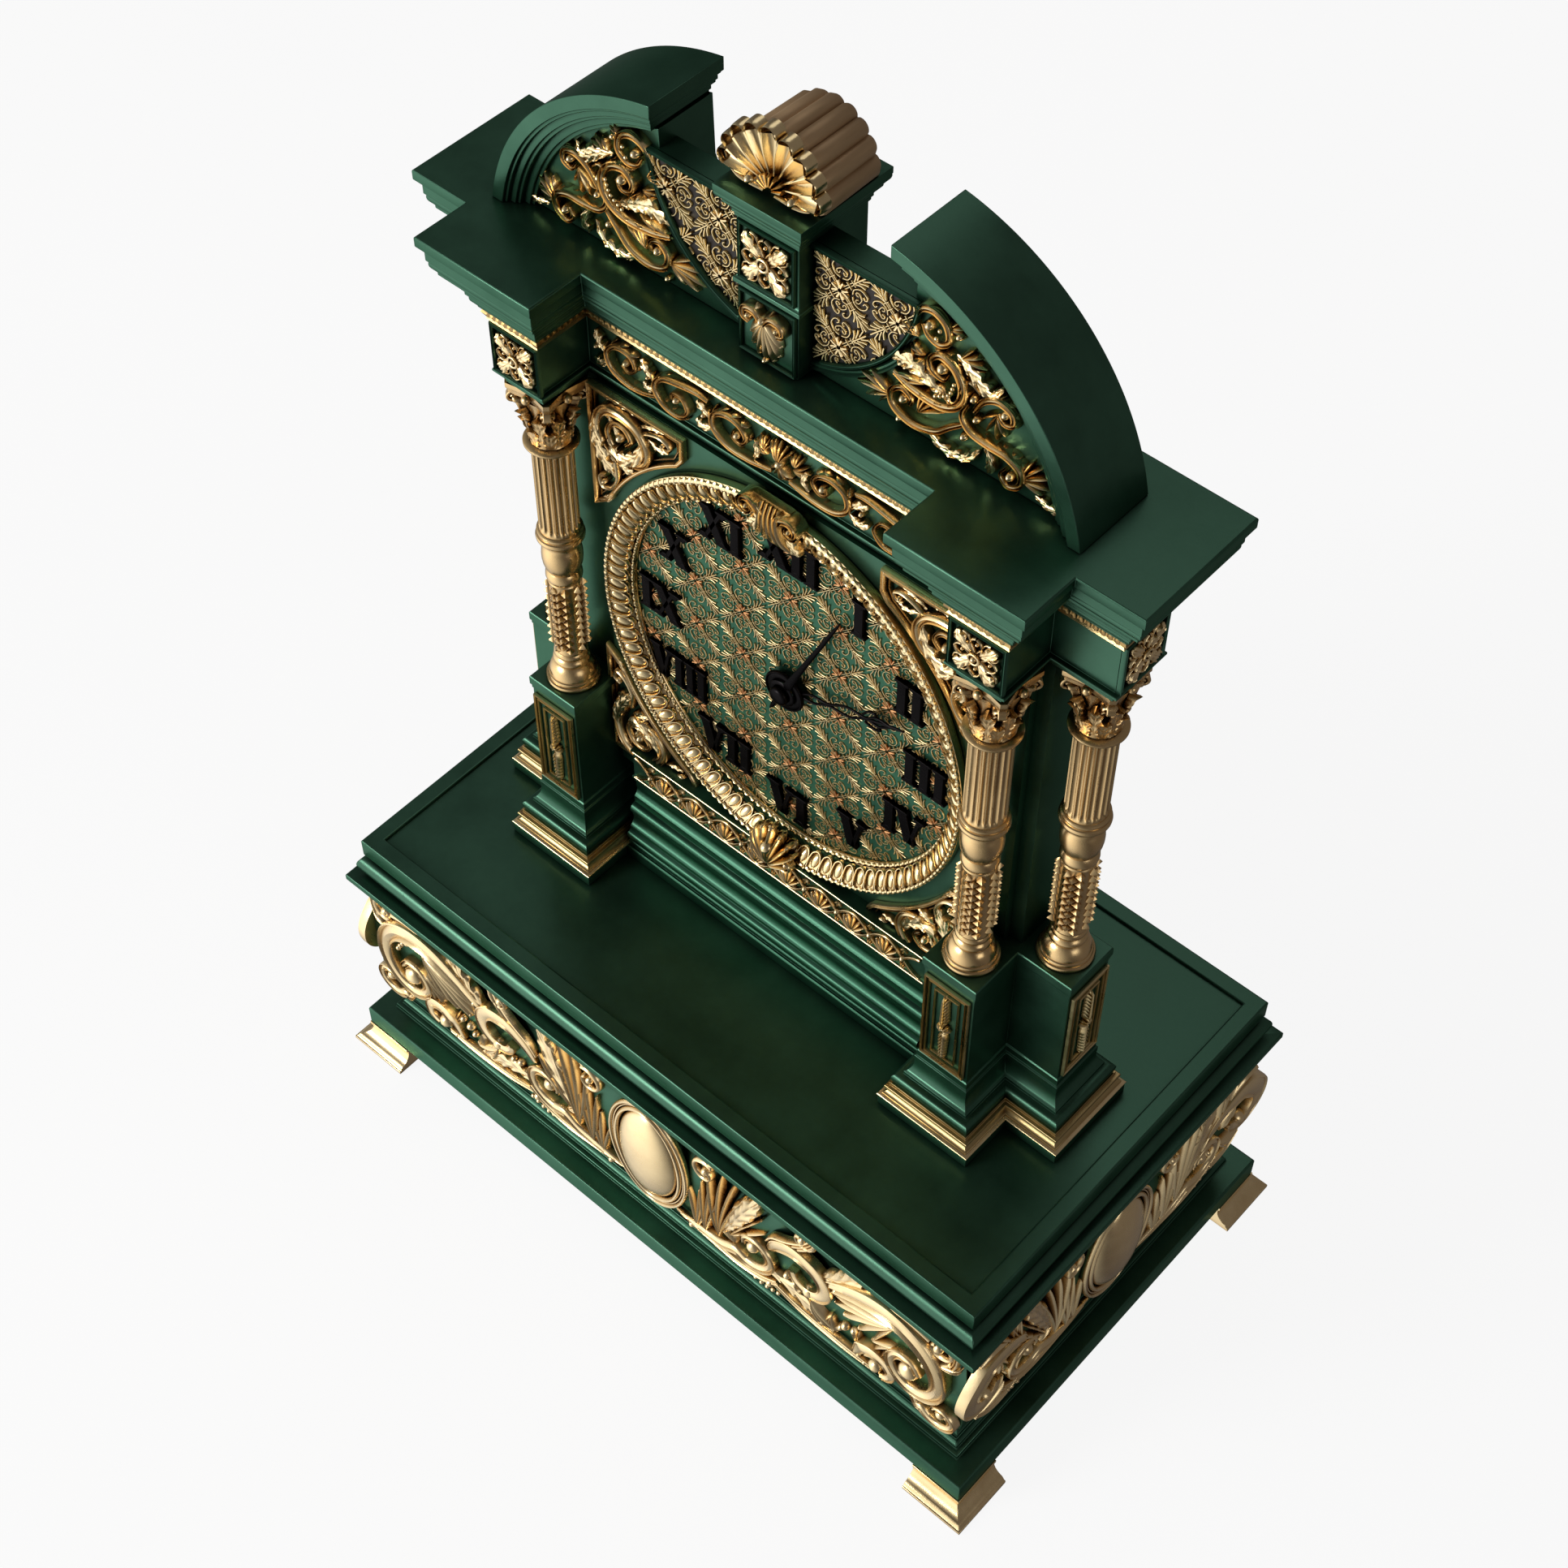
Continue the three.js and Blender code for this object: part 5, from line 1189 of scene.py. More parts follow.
def minute_hand():
    minute = Carving()
    minute.strip([(0, 5.0, 3.6, 1.0), (0, 20, 2.5, 1.0), (0, 48, 1.8, 1.0), (0, 60, 1.2, 0.9),
                  (0, 64, 0.4, 0.7)],
                 section((1, 0), (1, .55), (.5, .95), (0, 1), (-.5, .95), (-1, .55), (-1, 0)), 1.2)
    minute.strip([(0, -5.0, 3.0, 1.0), (0, -11, 2.2, 0.9), (0, -13.6, 1.0, 0.8)], ROUND, 1.0)
    minute.ring(ring_of(4.4, 1.6, 0.55, 0.5, steps=64))
    return turned_hand(minute, MINUTE_TURN)


def hour_hand():
    """Two wavy bars that cross, barbs near the end, and a pierced boss."""
    hour = Carving()
    for sign in (1, -1):
        bar = [(1.9, 14), (0.4, 22), (2.3, 32), (0.3, 41), (2.0, 47)]
        hour.strip([(0.0, 6, 1.5, 0.8)] + [(u * sign, v, 1.1, 0.8) for u, v in bar] + [(0, 54, 1.0, 0.8)],
                   ROUND, 0.8)
        hour.strip([(1.6 * sign, 40, 1.0, 0.8), (4.0 * sign, 44, 1.1, 0.8), (3.6 * sign, 47.4, 1.0, 0.8),
                    (2.4 * sign, 46.4, 0.8, 0.7)], ROUND, 0.6)
    hour.strip([(0, 40, 1.0, 0.8), (0, 54, 1.8, 0.8), (0, 60, 0.4, 0.7)], ROUND, 0.8)
    for start in range(4):
        a = math.radians(45 + 90 * start)
        hour.ball(7.4 * math.cos(a), 7.4 * math.sin(a), 1.5, 0.8, lift=0.7)
    hour.ring(ring_of(6.6, 2.6, 1.0, 0.75, steps=72))
    hour.ring(ring_of(8.7, 0.6, 0.9, 1.0, steps=72))
    return turned_hand(hour, HOUR_TURN)


def build_hands():
    cap = [(3.9, 0.0), (4.1, 0.6), (4.1, 1.4), (3.6, 2.2), (2.6, 2.6), (1.2, 2.8), (0.05, 2.85)]
    nut = Solid().tube(lathe(cap, 32))
    for work, name, y, body, node in (
        (minute_hand(), "minute_hand_forged", MINUTE_Y, "minute", "minute_hand"),
        (hour_hand(), "hour_hand_pierced", HOUR_Y, "hour", "hour_hand"),
        (nut, "hand_cap", CAP_Y, "minute", "hand_nut"),
    ):
        work.emit(name, on_front(y=y, z=DIAL_Z), BLACK, "blacked", body, [node])


# ---- columns ----
COLUMN_LINE = [
    (10.9, 252.2), (11.1, 252.9), (11.1, 253.5), (10.8, 254.2), (10.15, 254.5), (10.2, 255.4), (10.0, 256.0),
    (9.5, 256.3), (9.45, 257.2), (9.2, 258.4), (8.7, 259.8), (8.0, 261.0), (7.35, 261.8), (6.9, 262.2),
    (6.95, 262.7), (7.45, 263.3), (7.6, 264.2), (7.4, 265.1), (6.85, 265.8), (6.5, 266.2), (6.6, 266.7),
    (7.0, 267.3), (7.0, 268.2), (6.7, 268.9), (6.45, 269.3), (6.6, 269.8), (6.6, 270.6), (6.5, 270.8),
    (6.5, 308.2), (6.6, 308.6), (6.3, 309.2), (6.5, 309.7), (7.05, 310.5), (7.3, 311.8), (7.2, 313.2),
    (6.75, 314.4), (6.4, 315.0), (6.55, 315.5), (7.2, 316.8), (7.75, 318.8), (8.05, 321.2), (8.1, 323.4),
    (7.9, 325.6), (7.4, 327.4), (6.95, 328.3), (6.9, 328.9), (7.1, 330.1), (7.6, 331.1), (8.3, 331.6),
    (8.3, 332.1), (9.0, 332.3), (9.5, 333.0), (9.6, 333.9), (9.3, 334.7), (8.8, 335.0), (8.75, 335.4),
    (9.0, 336.0), (9.0, 336.8), (8.5, 337.3), (8.0, 337.5), (7.95, 338.1),
]


SHAFT_R, FLUTE_DEPTH = 7.95, 0.95
STUD_FOOT, STUD_BAND, STUD_ROWS = 271.0, 37.0, 9


def shaft_rings():
    """The fluted shaft, its hollows fading out at both ends."""
    flutes, fine = 20, 12
    b = np.linspace(0, 2 * math.pi, flutes * fine, endpoint=False)
    wave = np.abs(np.sin(flutes * b / 2))
    rings = []
    for z, depth in ((337.6, 0), (338.6, 0), (339.4, .55), (340.4, 1), (378.6, 1), (379.6, .55), (380.4, 0),
                     (381.4, 0)):
        r = SHAFT_R - FLUTE_DEPTH * depth * np.clip((wave - 0.28) / 0.72, 0, 1) ** 0.6
        rings.append(np.column_stack([r * np.cos(b), r * np.sin(b), np.full(len(b), z)]))
    return np.stack(rings)


def column_core(work):
    """The turned lower body, the fluted shaft, its flange and the studs, about the column's own axis."""
    work.tube(lathe(COLUMN_LINE, 64))
    work.tube(shaft_rings())
    flange = [(7.4, 380.8), (8.5, 381.0), (8.9, 381.6), (10.2, 381.8), (10.6, 382.4), (10.6, 383.0),
              (10.1, 383.5), (7.9, 384.0), (7.3, 385.2), (7.0, 388.0), (7.1, 394.0), (7.7, 400.0),
              (9.0, 404.8), (9.4, 406.2)]
    work.tube(lathe(flange, 64))
    stud_angles = [g * 90 + 22.5 + s for g in range(4) for s in (-22, 0, 22)]
    pitch = STUD_BAND / STUD_ROWS
    for index, degrees in enumerate(stud_angles):
        shift = pitch / 2 if index % 3 == 1 else 0
        t = math.radians(degrees)
        out, side = np.array([math.cos(t), math.sin(t), 0]), np.array([-math.sin(t), math.cos(t), 0])
        for row in range(STUD_ROWS - (1 if shift else 0)):
            mid = STUD_FOOT + pitch * (row + 0.5) + shift
            centre = out * 6.3 + np.array([0, 0, mid])
            high = np.array([0, 0, pitch * 0.56])
            wide = side * 1.75
            root = np.stack([centre - high, centre + wide, centre + high, centre - wide])
            neck = np.stack([p + out * 0.5 for p in root])
            tip = np.stack([centre + out * 2.3 + (p - centre) * 0.08 for p in root])
            work.tube(np.stack([root, neck, tip]))


def round_bell(turn):
    """Lays flat work on the capital's bell: u runs round it from a turn in degrees, v is the height."""
    def place(points):
        u, v, w = points.T
        angle = math.radians(turn) + u / 7.4
        r = 7.0 + 2.6 * np.clip((v - 386.0) / 20.0, 0, 1) ** 2 + w
        return np.column_stack([r * np.cos(angle), r * np.sin(angle), v])
    return place


def capital_leaves(work):
    """Two tiers of acanthus round the bell, and a curled stalk on each side of each corner."""
    low, high, stalk = Carving(), Carving(), Carving()
    low.leaf([(0, 384.2, 4.4, 1.4), (0, 387.6, 5.2, 1.8), (0, 391.6, 4.8, 2.6), (0, 394.0, 3.0, 4.2)],
             3, 0.34, 0.3, 0.5)
    high.leaf([(0, 386.0, 3.6, 1.5), (0, 392.0, 4.6, 2.0), (0, 398.0, 4.6, 2.8), (0, 401.2, 3.0, 4.6)],
              4, 0.34, 0.3, 0.5)
    curl = coil(3.4, 403.4, 1.5, 0.6, 120, -200, (1.5, 1.0), (3.4, 3.8))
    stalk.strip([(0, 392, 1.6, 1.6), (1.0, 398, 1.7, 2.2), (2.6, 402.6, 1.7, 3.2)] + curl)
    for step in range(8):
        work.bend(low, round_bell(step * 45))
        work.bend(high, round_bell(step * 45 + 22.5))
    for corner in range(4):
        for sign in (1, -1):
            work.bend(stalk, mirrored(round_bell(corner * 90 + 45 - sign * 24), sign))


VOLUTE_SECTION = ((1, -.5), (1, .5), (.4, .62), (-.4, .62), (-1, .5), (-1, -.5), (-.4, -.62), (.4, -.62))


def corner_volutes(work):
    """A flat spiral scroll that stands out from each corner of the capital."""
    for corner in range(4):
        t = math.radians(45 + 90 * corner)
        out = np.array([math.cos(t), math.sin(t), 0])
        side = np.array([-math.sin(t), math.cos(t), 0])
        spiral = np.array(coil(0, 0, 3.1, 0.8, 150, -330, (1.3, 0.8), (2.4, 2.4)))
        path = through([(-5.6, -5.4, 1.0, 2.0), (-4.4, -1.0, 1.2, 2.4)] + [tuple(row) for row in spiral],
                       0.35)
        _, left = sides(path)
        rings = []
        for (u, v, width, thick), n in zip(path, left):
            ring = []
            for s, q in VOLUTE_SECTION:
                p = np.array([u, v]) + n * s * width / 2
                ring.append(out * (12.2 + p[0]) + side * q * thick + np.array([0, 0, 404.4 + p[1]]))
            rings.append(ring)
        work.tube(np.array(rings))


def abacus(work):
    """A hollow-sided slab with cut corners and a bud in the middle of each side."""
    reach, edge = 16.4, []
    for corner in range(4):
        t0 = math.radians(45 + 90 * corner)
        t1 = t0 + math.pi / 2
        a, b = np.array([math.cos(t0), math.sin(t0)]), np.array([math.cos(t1), math.sin(t1)])
        for s in np.linspace(0.07, 0.93, 10):
            inward = 1 - 0.17 * math.sin(math.pi * s)
            edge.append((a * (1 - s) + b * s) * reach * inward)
    edge = np.array(edge)
    levels = [(0.90, 406.4), (0.94, 407.2), (0.94, 408.2), (0.99, 409.2), (1.0, 409.6), (1.0, 411.5)]
    work.tube(np.stack([np.column_stack([edge * k, np.full(len(edge), z)]) for k, z in levels]))
    for quarter in range(4):
        t = math.radians(90 * quarter)
        lat = np.linspace(0.1, math.pi - 0.1, 7)
        lon = np.linspace(0, 2 * math.pi, 10, endpoint=False)
        out, rise, radius = 10.4, 408.4, 1.9
        bud = np.stack([out * math.cos(t) + radius * np.sin(lat)[:, None] * np.cos(lon),
                        out * math.sin(t) + radius * np.sin(lat)[:, None] * np.sin(lon),
                        rise + radius * np.cos(lat)[:, None] + 0 * lon], -1)
        work.tube(bud)


def build_columns():
    """One column, set up four times."""
    whole = Solid()
    for draw in (column_core, capital_leaves, corner_volutes, abacus):
        draw(whole)
    for side, sign in (("left", -1), ("right", 1)):
        for kind, (x, y) in (("front", FRONT_COLUMN), ("side", SIDE_COLUMN)):
            whole.emit(f"column_{kind}_turned_{side}", standing(sign * x, y), WARM, "gilt",
                       stands_for=[f"column_{kind}_{side}"])


# ---- mounts on the tower and the frieze ----
BAND_EDGE = section((1, 0), (1, .7), (.6, .95), (.2, .7), (-.2, .7), (-.6, .95), (-1, .7), (-1, 0))


def outline_strip(work, corners, width, height):
    """A mitred straight frame along a closed outline."""
    pts = np.array(corners, float)
    ahead, behind = np.roll(pts, -1, 0) - pts, pts - np.roll(pts, 1, 0)
    ahead /= np.hypot(*ahead.T)[:, None]
    behind /= np.hypot(*behind.T)[:, None]
    left = lambda d: np.column_stack([-d[:, 1], d[:, 0]])
    mitre = left(ahead) + left(behind)
    mitre /= np.sum(mitre * left(ahead), 1)[:, None]
    s, h = BAND_EDGE.T
    flat = pts[:, None] - mitre[:, None] * (width / 2 * s)[:, None]
    rise = np.broadcast_to(height * h, flat.shape[:2])
    work.ring(np.concatenate([flat, rise[..., None]], -1))


def box_corners(u0, u1, v0, v1):
    return [(u0, v0), (u1, v0), (u1, v1), (u0, v1)]


def build_pedestal_panels():
    """Three thin fillets round a drop of leaves: one spray down, one up, tied by a flower."""
    work = Carving()
    for half, low, high, width, height in (
        (10.3, 191.5, 242.7, 0.8, 1.5), (8.6, 193.2, 241.0, 0.5, 1.2), (5.6, 196.4, 237.8, 0.5, 1.2),
    ):
        outline_strip(work, box_corners(-half, half, low, high), width, height)
    for base, direction in ((217.6, 1), (216.4, -1)):
        work.strip([(0, base, 0.8, 1.2), (0, base + 17 * direction, 0.6, 1.0)])
        for index in range(7):
            v = base + direction * (2.2 + index * 2.3)
            size = 4.8 - 0.30 * index
            for heading in (60, 120):
                work.finger(0, v, direction * heading, size, -direction * 18 * math.copysign(1, heading - 90),
                            2.0, 2.8)
        work.finger(0, base + direction * 17.0, 90 * direction, 3.4, 0, 1.5, 1.9)
    for turn in range(8):
        work.finger(0, 217, turn * 45, 3.0, 0, 1.4, 2.8)
    work.ball(0, 217, 1.1, 2.6)
    x, y = FRONT_COLUMN
    sx, sy = SIDE_COLUMN
    for side, sign in (("left", -1), ("right", 1)):
        work.emit(f"pedestal_front_drop_{side}", on_front(x=sign * x, y=y - DIE - 0.3), PALE, "gilt",
                  stands_for=[f"pedestal_panel_front_{side}"])
        turned = on_right if sign > 0 else on_left
        work.emit(f"pedestal_side_drop_{side}", turned(x=sign * (sx + DIE + 0.3), y=sy), PALE, "gilt",
                  stands_for=[f"pedestal_panel_side_{side}"])


def build_guilloche():
    """Crossing arcs along the foot of the dial, a shell in each bay."""
    plate = moulding(rectangle(-78, 78, -17.9, -13.1), profile(
        (0.9, 200.5), (0.9, 201.6), (0.2, 202.0), (0.2, 216.8), (0.9, 217.2), (0.9, 218.4)))
    plate.emit("guilloche_ground", standing(), LACQUER, "lacquer", stands_for=["guilloche_band"])
    work = Carving()
    middle, swing, bays, half = 209.4, 6.0, 9, 76
    tuft = ((90, 3.0, 1.6, 1.9), (50, 2.7, 1.1, 1.5), (130, 2.7, 1.1, 1.5))
    pitch = 2 * half / bays
    x = np.linspace(-half, half, bays * 14 + 1)
    for sign in (1, -1):
        wave = middle + sign * swing * np.cos(math.pi * (x + half) / pitch)
        work.strip([(a, b, 1.3, 1.8) for a, b in zip(x, wave)], GROOVED, 0.8)
    for index in range(bays + 1):
        u = -half + pitch * index
        mid = u + pitch / 2
        if index < bays:
            work.ball(mid, middle, 1.5, 2.7)
        if 0 < index < bays:
            for heading in (90, 66, 114, 42, 138):
                work.finger(u, middle - 3.8, heading, 8.6 - abs(heading - 90) * 0.04, 0, 2.5, 2.9, 0.5)
            work.ball(u, middle - 3.6, 1.3, 2.5)
            for sx in (1, -1):
                work.finger(u + sx * 1.0, middle - 3.6, -90 + sx * 62, 3.6, sx * 40, 1.0, 1.6)
        for sz in (1, -1):
            if index < bays:
                for heading, length, width, height in tuft:
                    work.finger(mid, middle + sz * 6.2, -sz * heading, length, 0, width, height)
    for z in (201.4, 217.6):
        work.strip([(-77.6, z, 0.9, 1.0), (77.6, z, 0.9, 1.0)])
    work.emit("guilloche_scroll", on_front(y=GUILLOCHE_Y), GILT, "gilt", stands_for=["guilloche_band"])


def spandrel_art(work, flip):
    """Drawn for the upper right corner: a frame with one hollow side, a big acanthus scroll and two small
    ones. flip drops it to the lower corner."""
    def place(u, v):
        return (u, v) if not flip else (u, 2 * DIAL_Z - v - 1.5)

    def rows(path, *size):
        return [(*place(*row[:2]), *(row[2:] or size)) for row in path]

    def scroll(path, eye, shape, height):
        eye_scroll(work, rows(path), (*place(*eye[:2]), eye[2]), shape, height)

    def leaf(path, *rest):
        work.leaf(rows(path), *rest)

    def frame(path, width, height):
        placed = [place(*p) for p in path]
        outline_strip(work, placed[::-1] if flip else placed, width, height)

    angles = np.radians(np.linspace(25, 62.5, 22))
    curve = [(94.6 * math.cos(t), DIAL_Z + 1 + 99.5 * math.sin(t)) for t in angles]
    outline = [(91.4, 351.4)] + [(p[0], p[1]) for p in curve[1:] if p[1] > 351.4 and p[0] > 46.5] + \
              [(46.2, 401.2), (46.2, 410.2), (91.4, 410.2)]
    frame(outline, 2.0, 2.8)
    inner = [(89.2, 356)] + [(p[0] + 1.7, p[1] + 1.6) for p in curve[3:] if p[1] > 354 and p[0] > 48.5] + \
            [(48.6, 403.4), (48.6, 407.8), (89.2, 407.8)]
    frame(inner, 0.7, 1.5)
    scroll([
        (80, 378, 2.4, 2.6), (86, 386, 3.6, 3.8), (87.2, 395, 4.0, 4.4), (83, 403.5, 4.2, 4.8),
        (75, 406, 4.2, 4.8), (66.5, 403, 4.0, 4.6), (62.5, 395.5, 3.8, 4.4), (64.5, 388, 3.4, 4.2),
        (71, 384.3, 3.0, 4.0), (78.5, 386.5, 2.8, 3.8), (81.8, 393, 2.6, 3.8), (79, 399.2, 2.4, 3.8),
        (73.4, 400, 2.2, 3.8), (70.2, 395.6, 2.0, 3.8), (73, 391.6, 1.8, 3.8),
    ], (75.4, 394.4, 2.1), REED, 4.6)
    leaf([(82, 402, 3, 3.4), (76, 391, 3, 2.8)], 3)
    leaf([(64, 399, 3.0, 3.6), (67.5, 390, 6.5, 5.2), (75.5, 385, 6.5, 5.6), (82, 390, 3.0, 4.2)],
         5, 0.34, 0.6, 0.3)
    leaf([(87.6, 400, 3.0, 3.2), (88, 390, 6.4, 4.8), (84.5, 379.5, 7.2, 5.0), (79.5, 371, 5.0, 3.0)],
         5, 0.36, 0.6, 0.3)
    leaf([(79, 383, 3, 3.0), (74.6, 380.0, 4.6, 4.0), (70.5, 379.4, 3.0, 2.8)], 3, 0.3, 0.5)
    side = -1 if flip else 1
    sweep = rows([(86, 386), (87.2, 395), (83, 403.5), (75, 406), (66.5, 403), (62.5, 395.5)], 1.0, 1.0)
    work.frond(sweep, side, 8, 4.4, 1.9, 3.8, 30, 46)
    scroll([(66, 401.5, 2.2, 3.0), (61, 404.8, 2.2, 3.4), (55.5, 406.3, 2.0, 3.4), (51.6, 404.2, 1.8, 3.2),
            (53.2, 401.8, 1.5, 3.2), (56.0, 402.6, 1.2, 3.0)], (54.4, 403.8, 1.1), ROUND, 3.6)
    leaf([(65.5, 405.5, 1.6, 2.4), (60, 408.0, 2.6, 2.8), (54.5, 408.3, 1.6, 2.0)], 3)
    leaf([(62.5, 401, 1.6, 2.4), (57.5, 399.4, 2.6, 2.8), (53, 399.6, 1.4, 2.0)], 3)
    scroll([(80, 379, 2.4, 3.0), (79, 371, 2.4, 3.4), (82.5, 364, 2.4, 3.4), (87.2, 362.3, 2.2, 3.2),
            (88.4, 366.6, 1.8, 3.2), (85.4, 368.4, 1.4, 3.0)], (85.7, 365.8, 1.2), ROUND, 3.6)
    leaf([(82, 373, 1.8, 2.6), (85.4, 375.4, 3.0, 3.0), (88.2, 379, 1.6, 2.0)], 3)
    leaf([(82, 361, 2.0, 2.6), (85, 356.8, 3.4, 3.0), (88.0, 354.6, 1.8, 2.0)], 3)
    leaf([(69, 409, 1.6, 2.4), (77, 409.4, 2.4, 2.6), (86, 408, 1.4, 1.8)], 4)


def build_spandrels():
    """Four corner mounts: the upper drawing is turned over for the lower corners."""
    for level, flip in (("upper", False), ("lower", True)):
        art = Carving()
        spandrel_art(art, flip)
        for sign, side in ((1, "right"), (-1, "left")):
            place = mirrored(on_front(y=SPANDREL_Y), sign)
            art.emit(f"spandrel_acanthus_{level}_{side}", place, GILT, "gilt",
                     stands_for=[f"spandrel_{level}_{side}"])


def square_flower(work, half):
    """A pierced square flower: four big diagonal leaves, four eyelet leaves and a ball."""
    for turn in range(4):
        heading = 45 + 90 * turn
        t = math.radians(heading)
        reach = half * 1.26
        tip = (reach * math.cos(t), reach * math.sin(t))
        work.leaf([(0.1 * tip[0], 0.1 * tip[1], half * 0.3, 2.2),
                   (0.45 * tip[0], 0.45 * tip[1], half * 0.52, 3.2),
                   (0.8 * tip[0], 0.8 * tip[1], half * 0.56, 3.4), (tip[0], tip[1], half * 0.34, 2.2)],
                  3, 0.4, 0.5, 0.3)
        t = math.radians(90 * turn)
        c, s = math.cos(t), math.sin(t)
        for sign in (1, -1):
            loop = [(0.16, 0.0), (0.42, 0.15 * sign), (0.6, 0.27 * sign), (0.82, 0.2 * sign),
                    (0.95, 0.02 * sign)]
            hook = [(0.7, 0.28 * sign), (0.92, 0.42 * sign), (0.98, 0.62 * sign)]
            for path, width, height in ((loop, 0.13, 2.2), (hook, 0.12, 1.9)):
                work.strip([(half * (a * c - b * s), half * (a * s + b * c),
                             half * width, height) for a, b in path],
                           ROUND, 0.4)
        work.ball(0.62 * half * c, 0.62 * half * s, half * 0.1, 2.0)
    work.ball(0, 0, half * 0.17, 3.9)
    work.ring(ring_of(half * 0.23, 0.5, 0.6, 2.6, steps=24, around=8))


def build_rosettes():
    """A square flower in a green frame on the front and the outer side of each end of the frieze."""
    work = Carving()
    square_flower(work, 9.0)
    frame = Carving()
    outline_strip(frame, box_corners(-11.0, 11.0, -10.4, 10.4), 1.5, 1.9)
    x, z = FRONT_COLUMN[0], 429.2
    for side, sign in (("left", -1), ("right", 1)):
        front = on_front(x=sign * x, y=ROSETTE_Y, z=z)
        turned = (on_right if sign > 0 else on_left)(x=sign * ROSETTE_X, y=-0.55, z=z)
        for kind, place in (("front", front), ("side", turned)):
            work.emit(f"rosette_{kind}_carved_{side}", place, GILT, "gilt",
                      stands_for=[f"rosette_{kind}_{side}"])
        for kind, place in (("front", front), ("side", turned)):
            frame.emit(f"rosette_{kind}_frame_{side}", place, LACQUER, "lacquer")


def build_frieze():
    """Foliage scrolls either side of a fan: three scrolls a side, ending in a small flower."""
    half = Carving()
    scrolls = [
        ([(4, 424.2, 1.6, 3.0), (14, 422.8, 2.1, 3.6), (24, 423.4, 2.4, 3.8), (30.2, 428.4, 2.5, 4.0),
          (29.2, 434.6, 2.4, 4.0), (23.6, 437.2, 2.2, 3.9), (17.8, 435.8, 2.0, 3.8), (15.0, 431.6, 1.8, 3.8),
          (17.6, 428.0, 1.6, 3.6), (21.0, 429.2, 1.4, 3.6), (20.6, 432.2, 1.2, 3.4)], (19.2, 430.8, 1.7), 1),
        ([(33, 437.4, 1.5, 3.0), (38, 438.4, 1.9, 3.4), (46, 437.6, 2.2, 3.8), (54, 435.4, 2.4, 4.0),
          (57.4, 429.4, 2.4, 4.0), (53.4, 423.6, 2.2, 3.9), (46.0, 422.6, 2.0, 3.8), (42.0, 427.0, 1.8, 3.8),
          (44.6, 431.8, 1.6, 3.6), (49.0, 431.6, 1.4, 3.6), (49.6, 428.4, 1.2, 3.4)], (47.4, 429.4, 1.7), -1),
        ([(58, 424.4, 1.5, 3.0), (64, 422.6, 1.9, 3.4), (71, 422.6, 2.2, 3.8), (78.0, 425.6, 2.3, 4.0),
          (80.0, 432.0, 2.2, 4.0), (75.6, 436.8, 2.0, 3.8), (69.0, 436.2, 1.8, 3.6), (66.6, 431.6, 1.6, 3.6),
          (69.6, 428.6, 1.4, 3.6), (73, 430.2, 1.3, 3.4)], (71.0, 432.0, 1.6), 1),
    ]
    for rows, eye, turn in scrolls:
        eye_scroll(half, rows, eye, REED, height=3.9)
        half.frond(rows[2:8], -turn, 7, 4.6, 1.9, 3.0, 34, 44)
        half.frond(rows[1:6], turn, 5, 4.2, 1.7, 3.2, 30, 40)
        half.frond(rows[5:10], turn, 3, 2.6, 1.2, 2.8, 40, 30)
    leaves = [
        [(31, 430, 2.2, 3.2), (34.6, 433.4, 4.2, 4.0), (38.6, 434.2, 2.6, 2.8)],
        [(30.6, 427, 2.2, 3.2), (34.6, 425.2, 4.2, 3.8), (39.0, 425.6, 2.6, 2.8)],
        [(57.6, 431, 2.2, 3.2), (61.0, 434.8, 4.2, 4.0), (64.6, 437.4, 2.4, 2.6)],
        [(57.6, 428, 2.2, 3.2), (60.6, 426.6, 3.6, 3.6), (64.0, 427.4, 2.2, 2.6)],
        [(80, 430, 2.2, 3.2), (83.6, 433.6, 4.0, 3.8), (86.4, 438.0, 2.2, 2.6)],
        [(79.6, 427, 2.2, 3.0), (83.4, 424.8, 3.8, 3.6), (87.6, 424.4, 2.2, 2.4)],
        [(12.4, 424.4, 1.8, 2.6), (10.4, 428.2, 3.4, 3.4), (11.4, 432.8, 2.2, 2.6)],
    ]
    for rows in leaves:
        half.leaf(rows, 3, 0.4, 0.6, 0.3)
    half.ball(86.4, 430.4, 1.3, 3.2)
    half.ball(35.4, 429.4, 1.3, 3.2)
    half.ball(61.4, 430.8, 1.2, 3.2)
    for index in range(4):
        half.finger(6.8, 432.2, 62 + 22 * index, 5.6 - 0.4 * index, 0, 1.7, 3.2)
    half.plume(5.6, 430.4, (28, 8, -14), (6.6, 7.2, 6.2), 10, 1.6, 3.0)
    whole = half.both()
    for up, root, step, longest, width, height in (
        (1, 430.6, 17, 8.8, 2.3, 4.4), (-1, 429.4, 24, 7.4, 2.1, 3.8),
    ):
        for off in (0, -up, up, -2 * up, 2 * up):
            whole.finger(0, root, 90 * up + step * off, longest - step * abs(off) * 0.03, 0, width, height,
                         0.5)
    whole.ball(0, 430, 2.1, 5.0)
    whole.emit("frieze_scrolls", on_front(y=FRIEZE_Y), GILT, "gilt", stands_for=["frieze_mount"])


ROPE_INSET, ROPE_Z = 15.9, 444.6


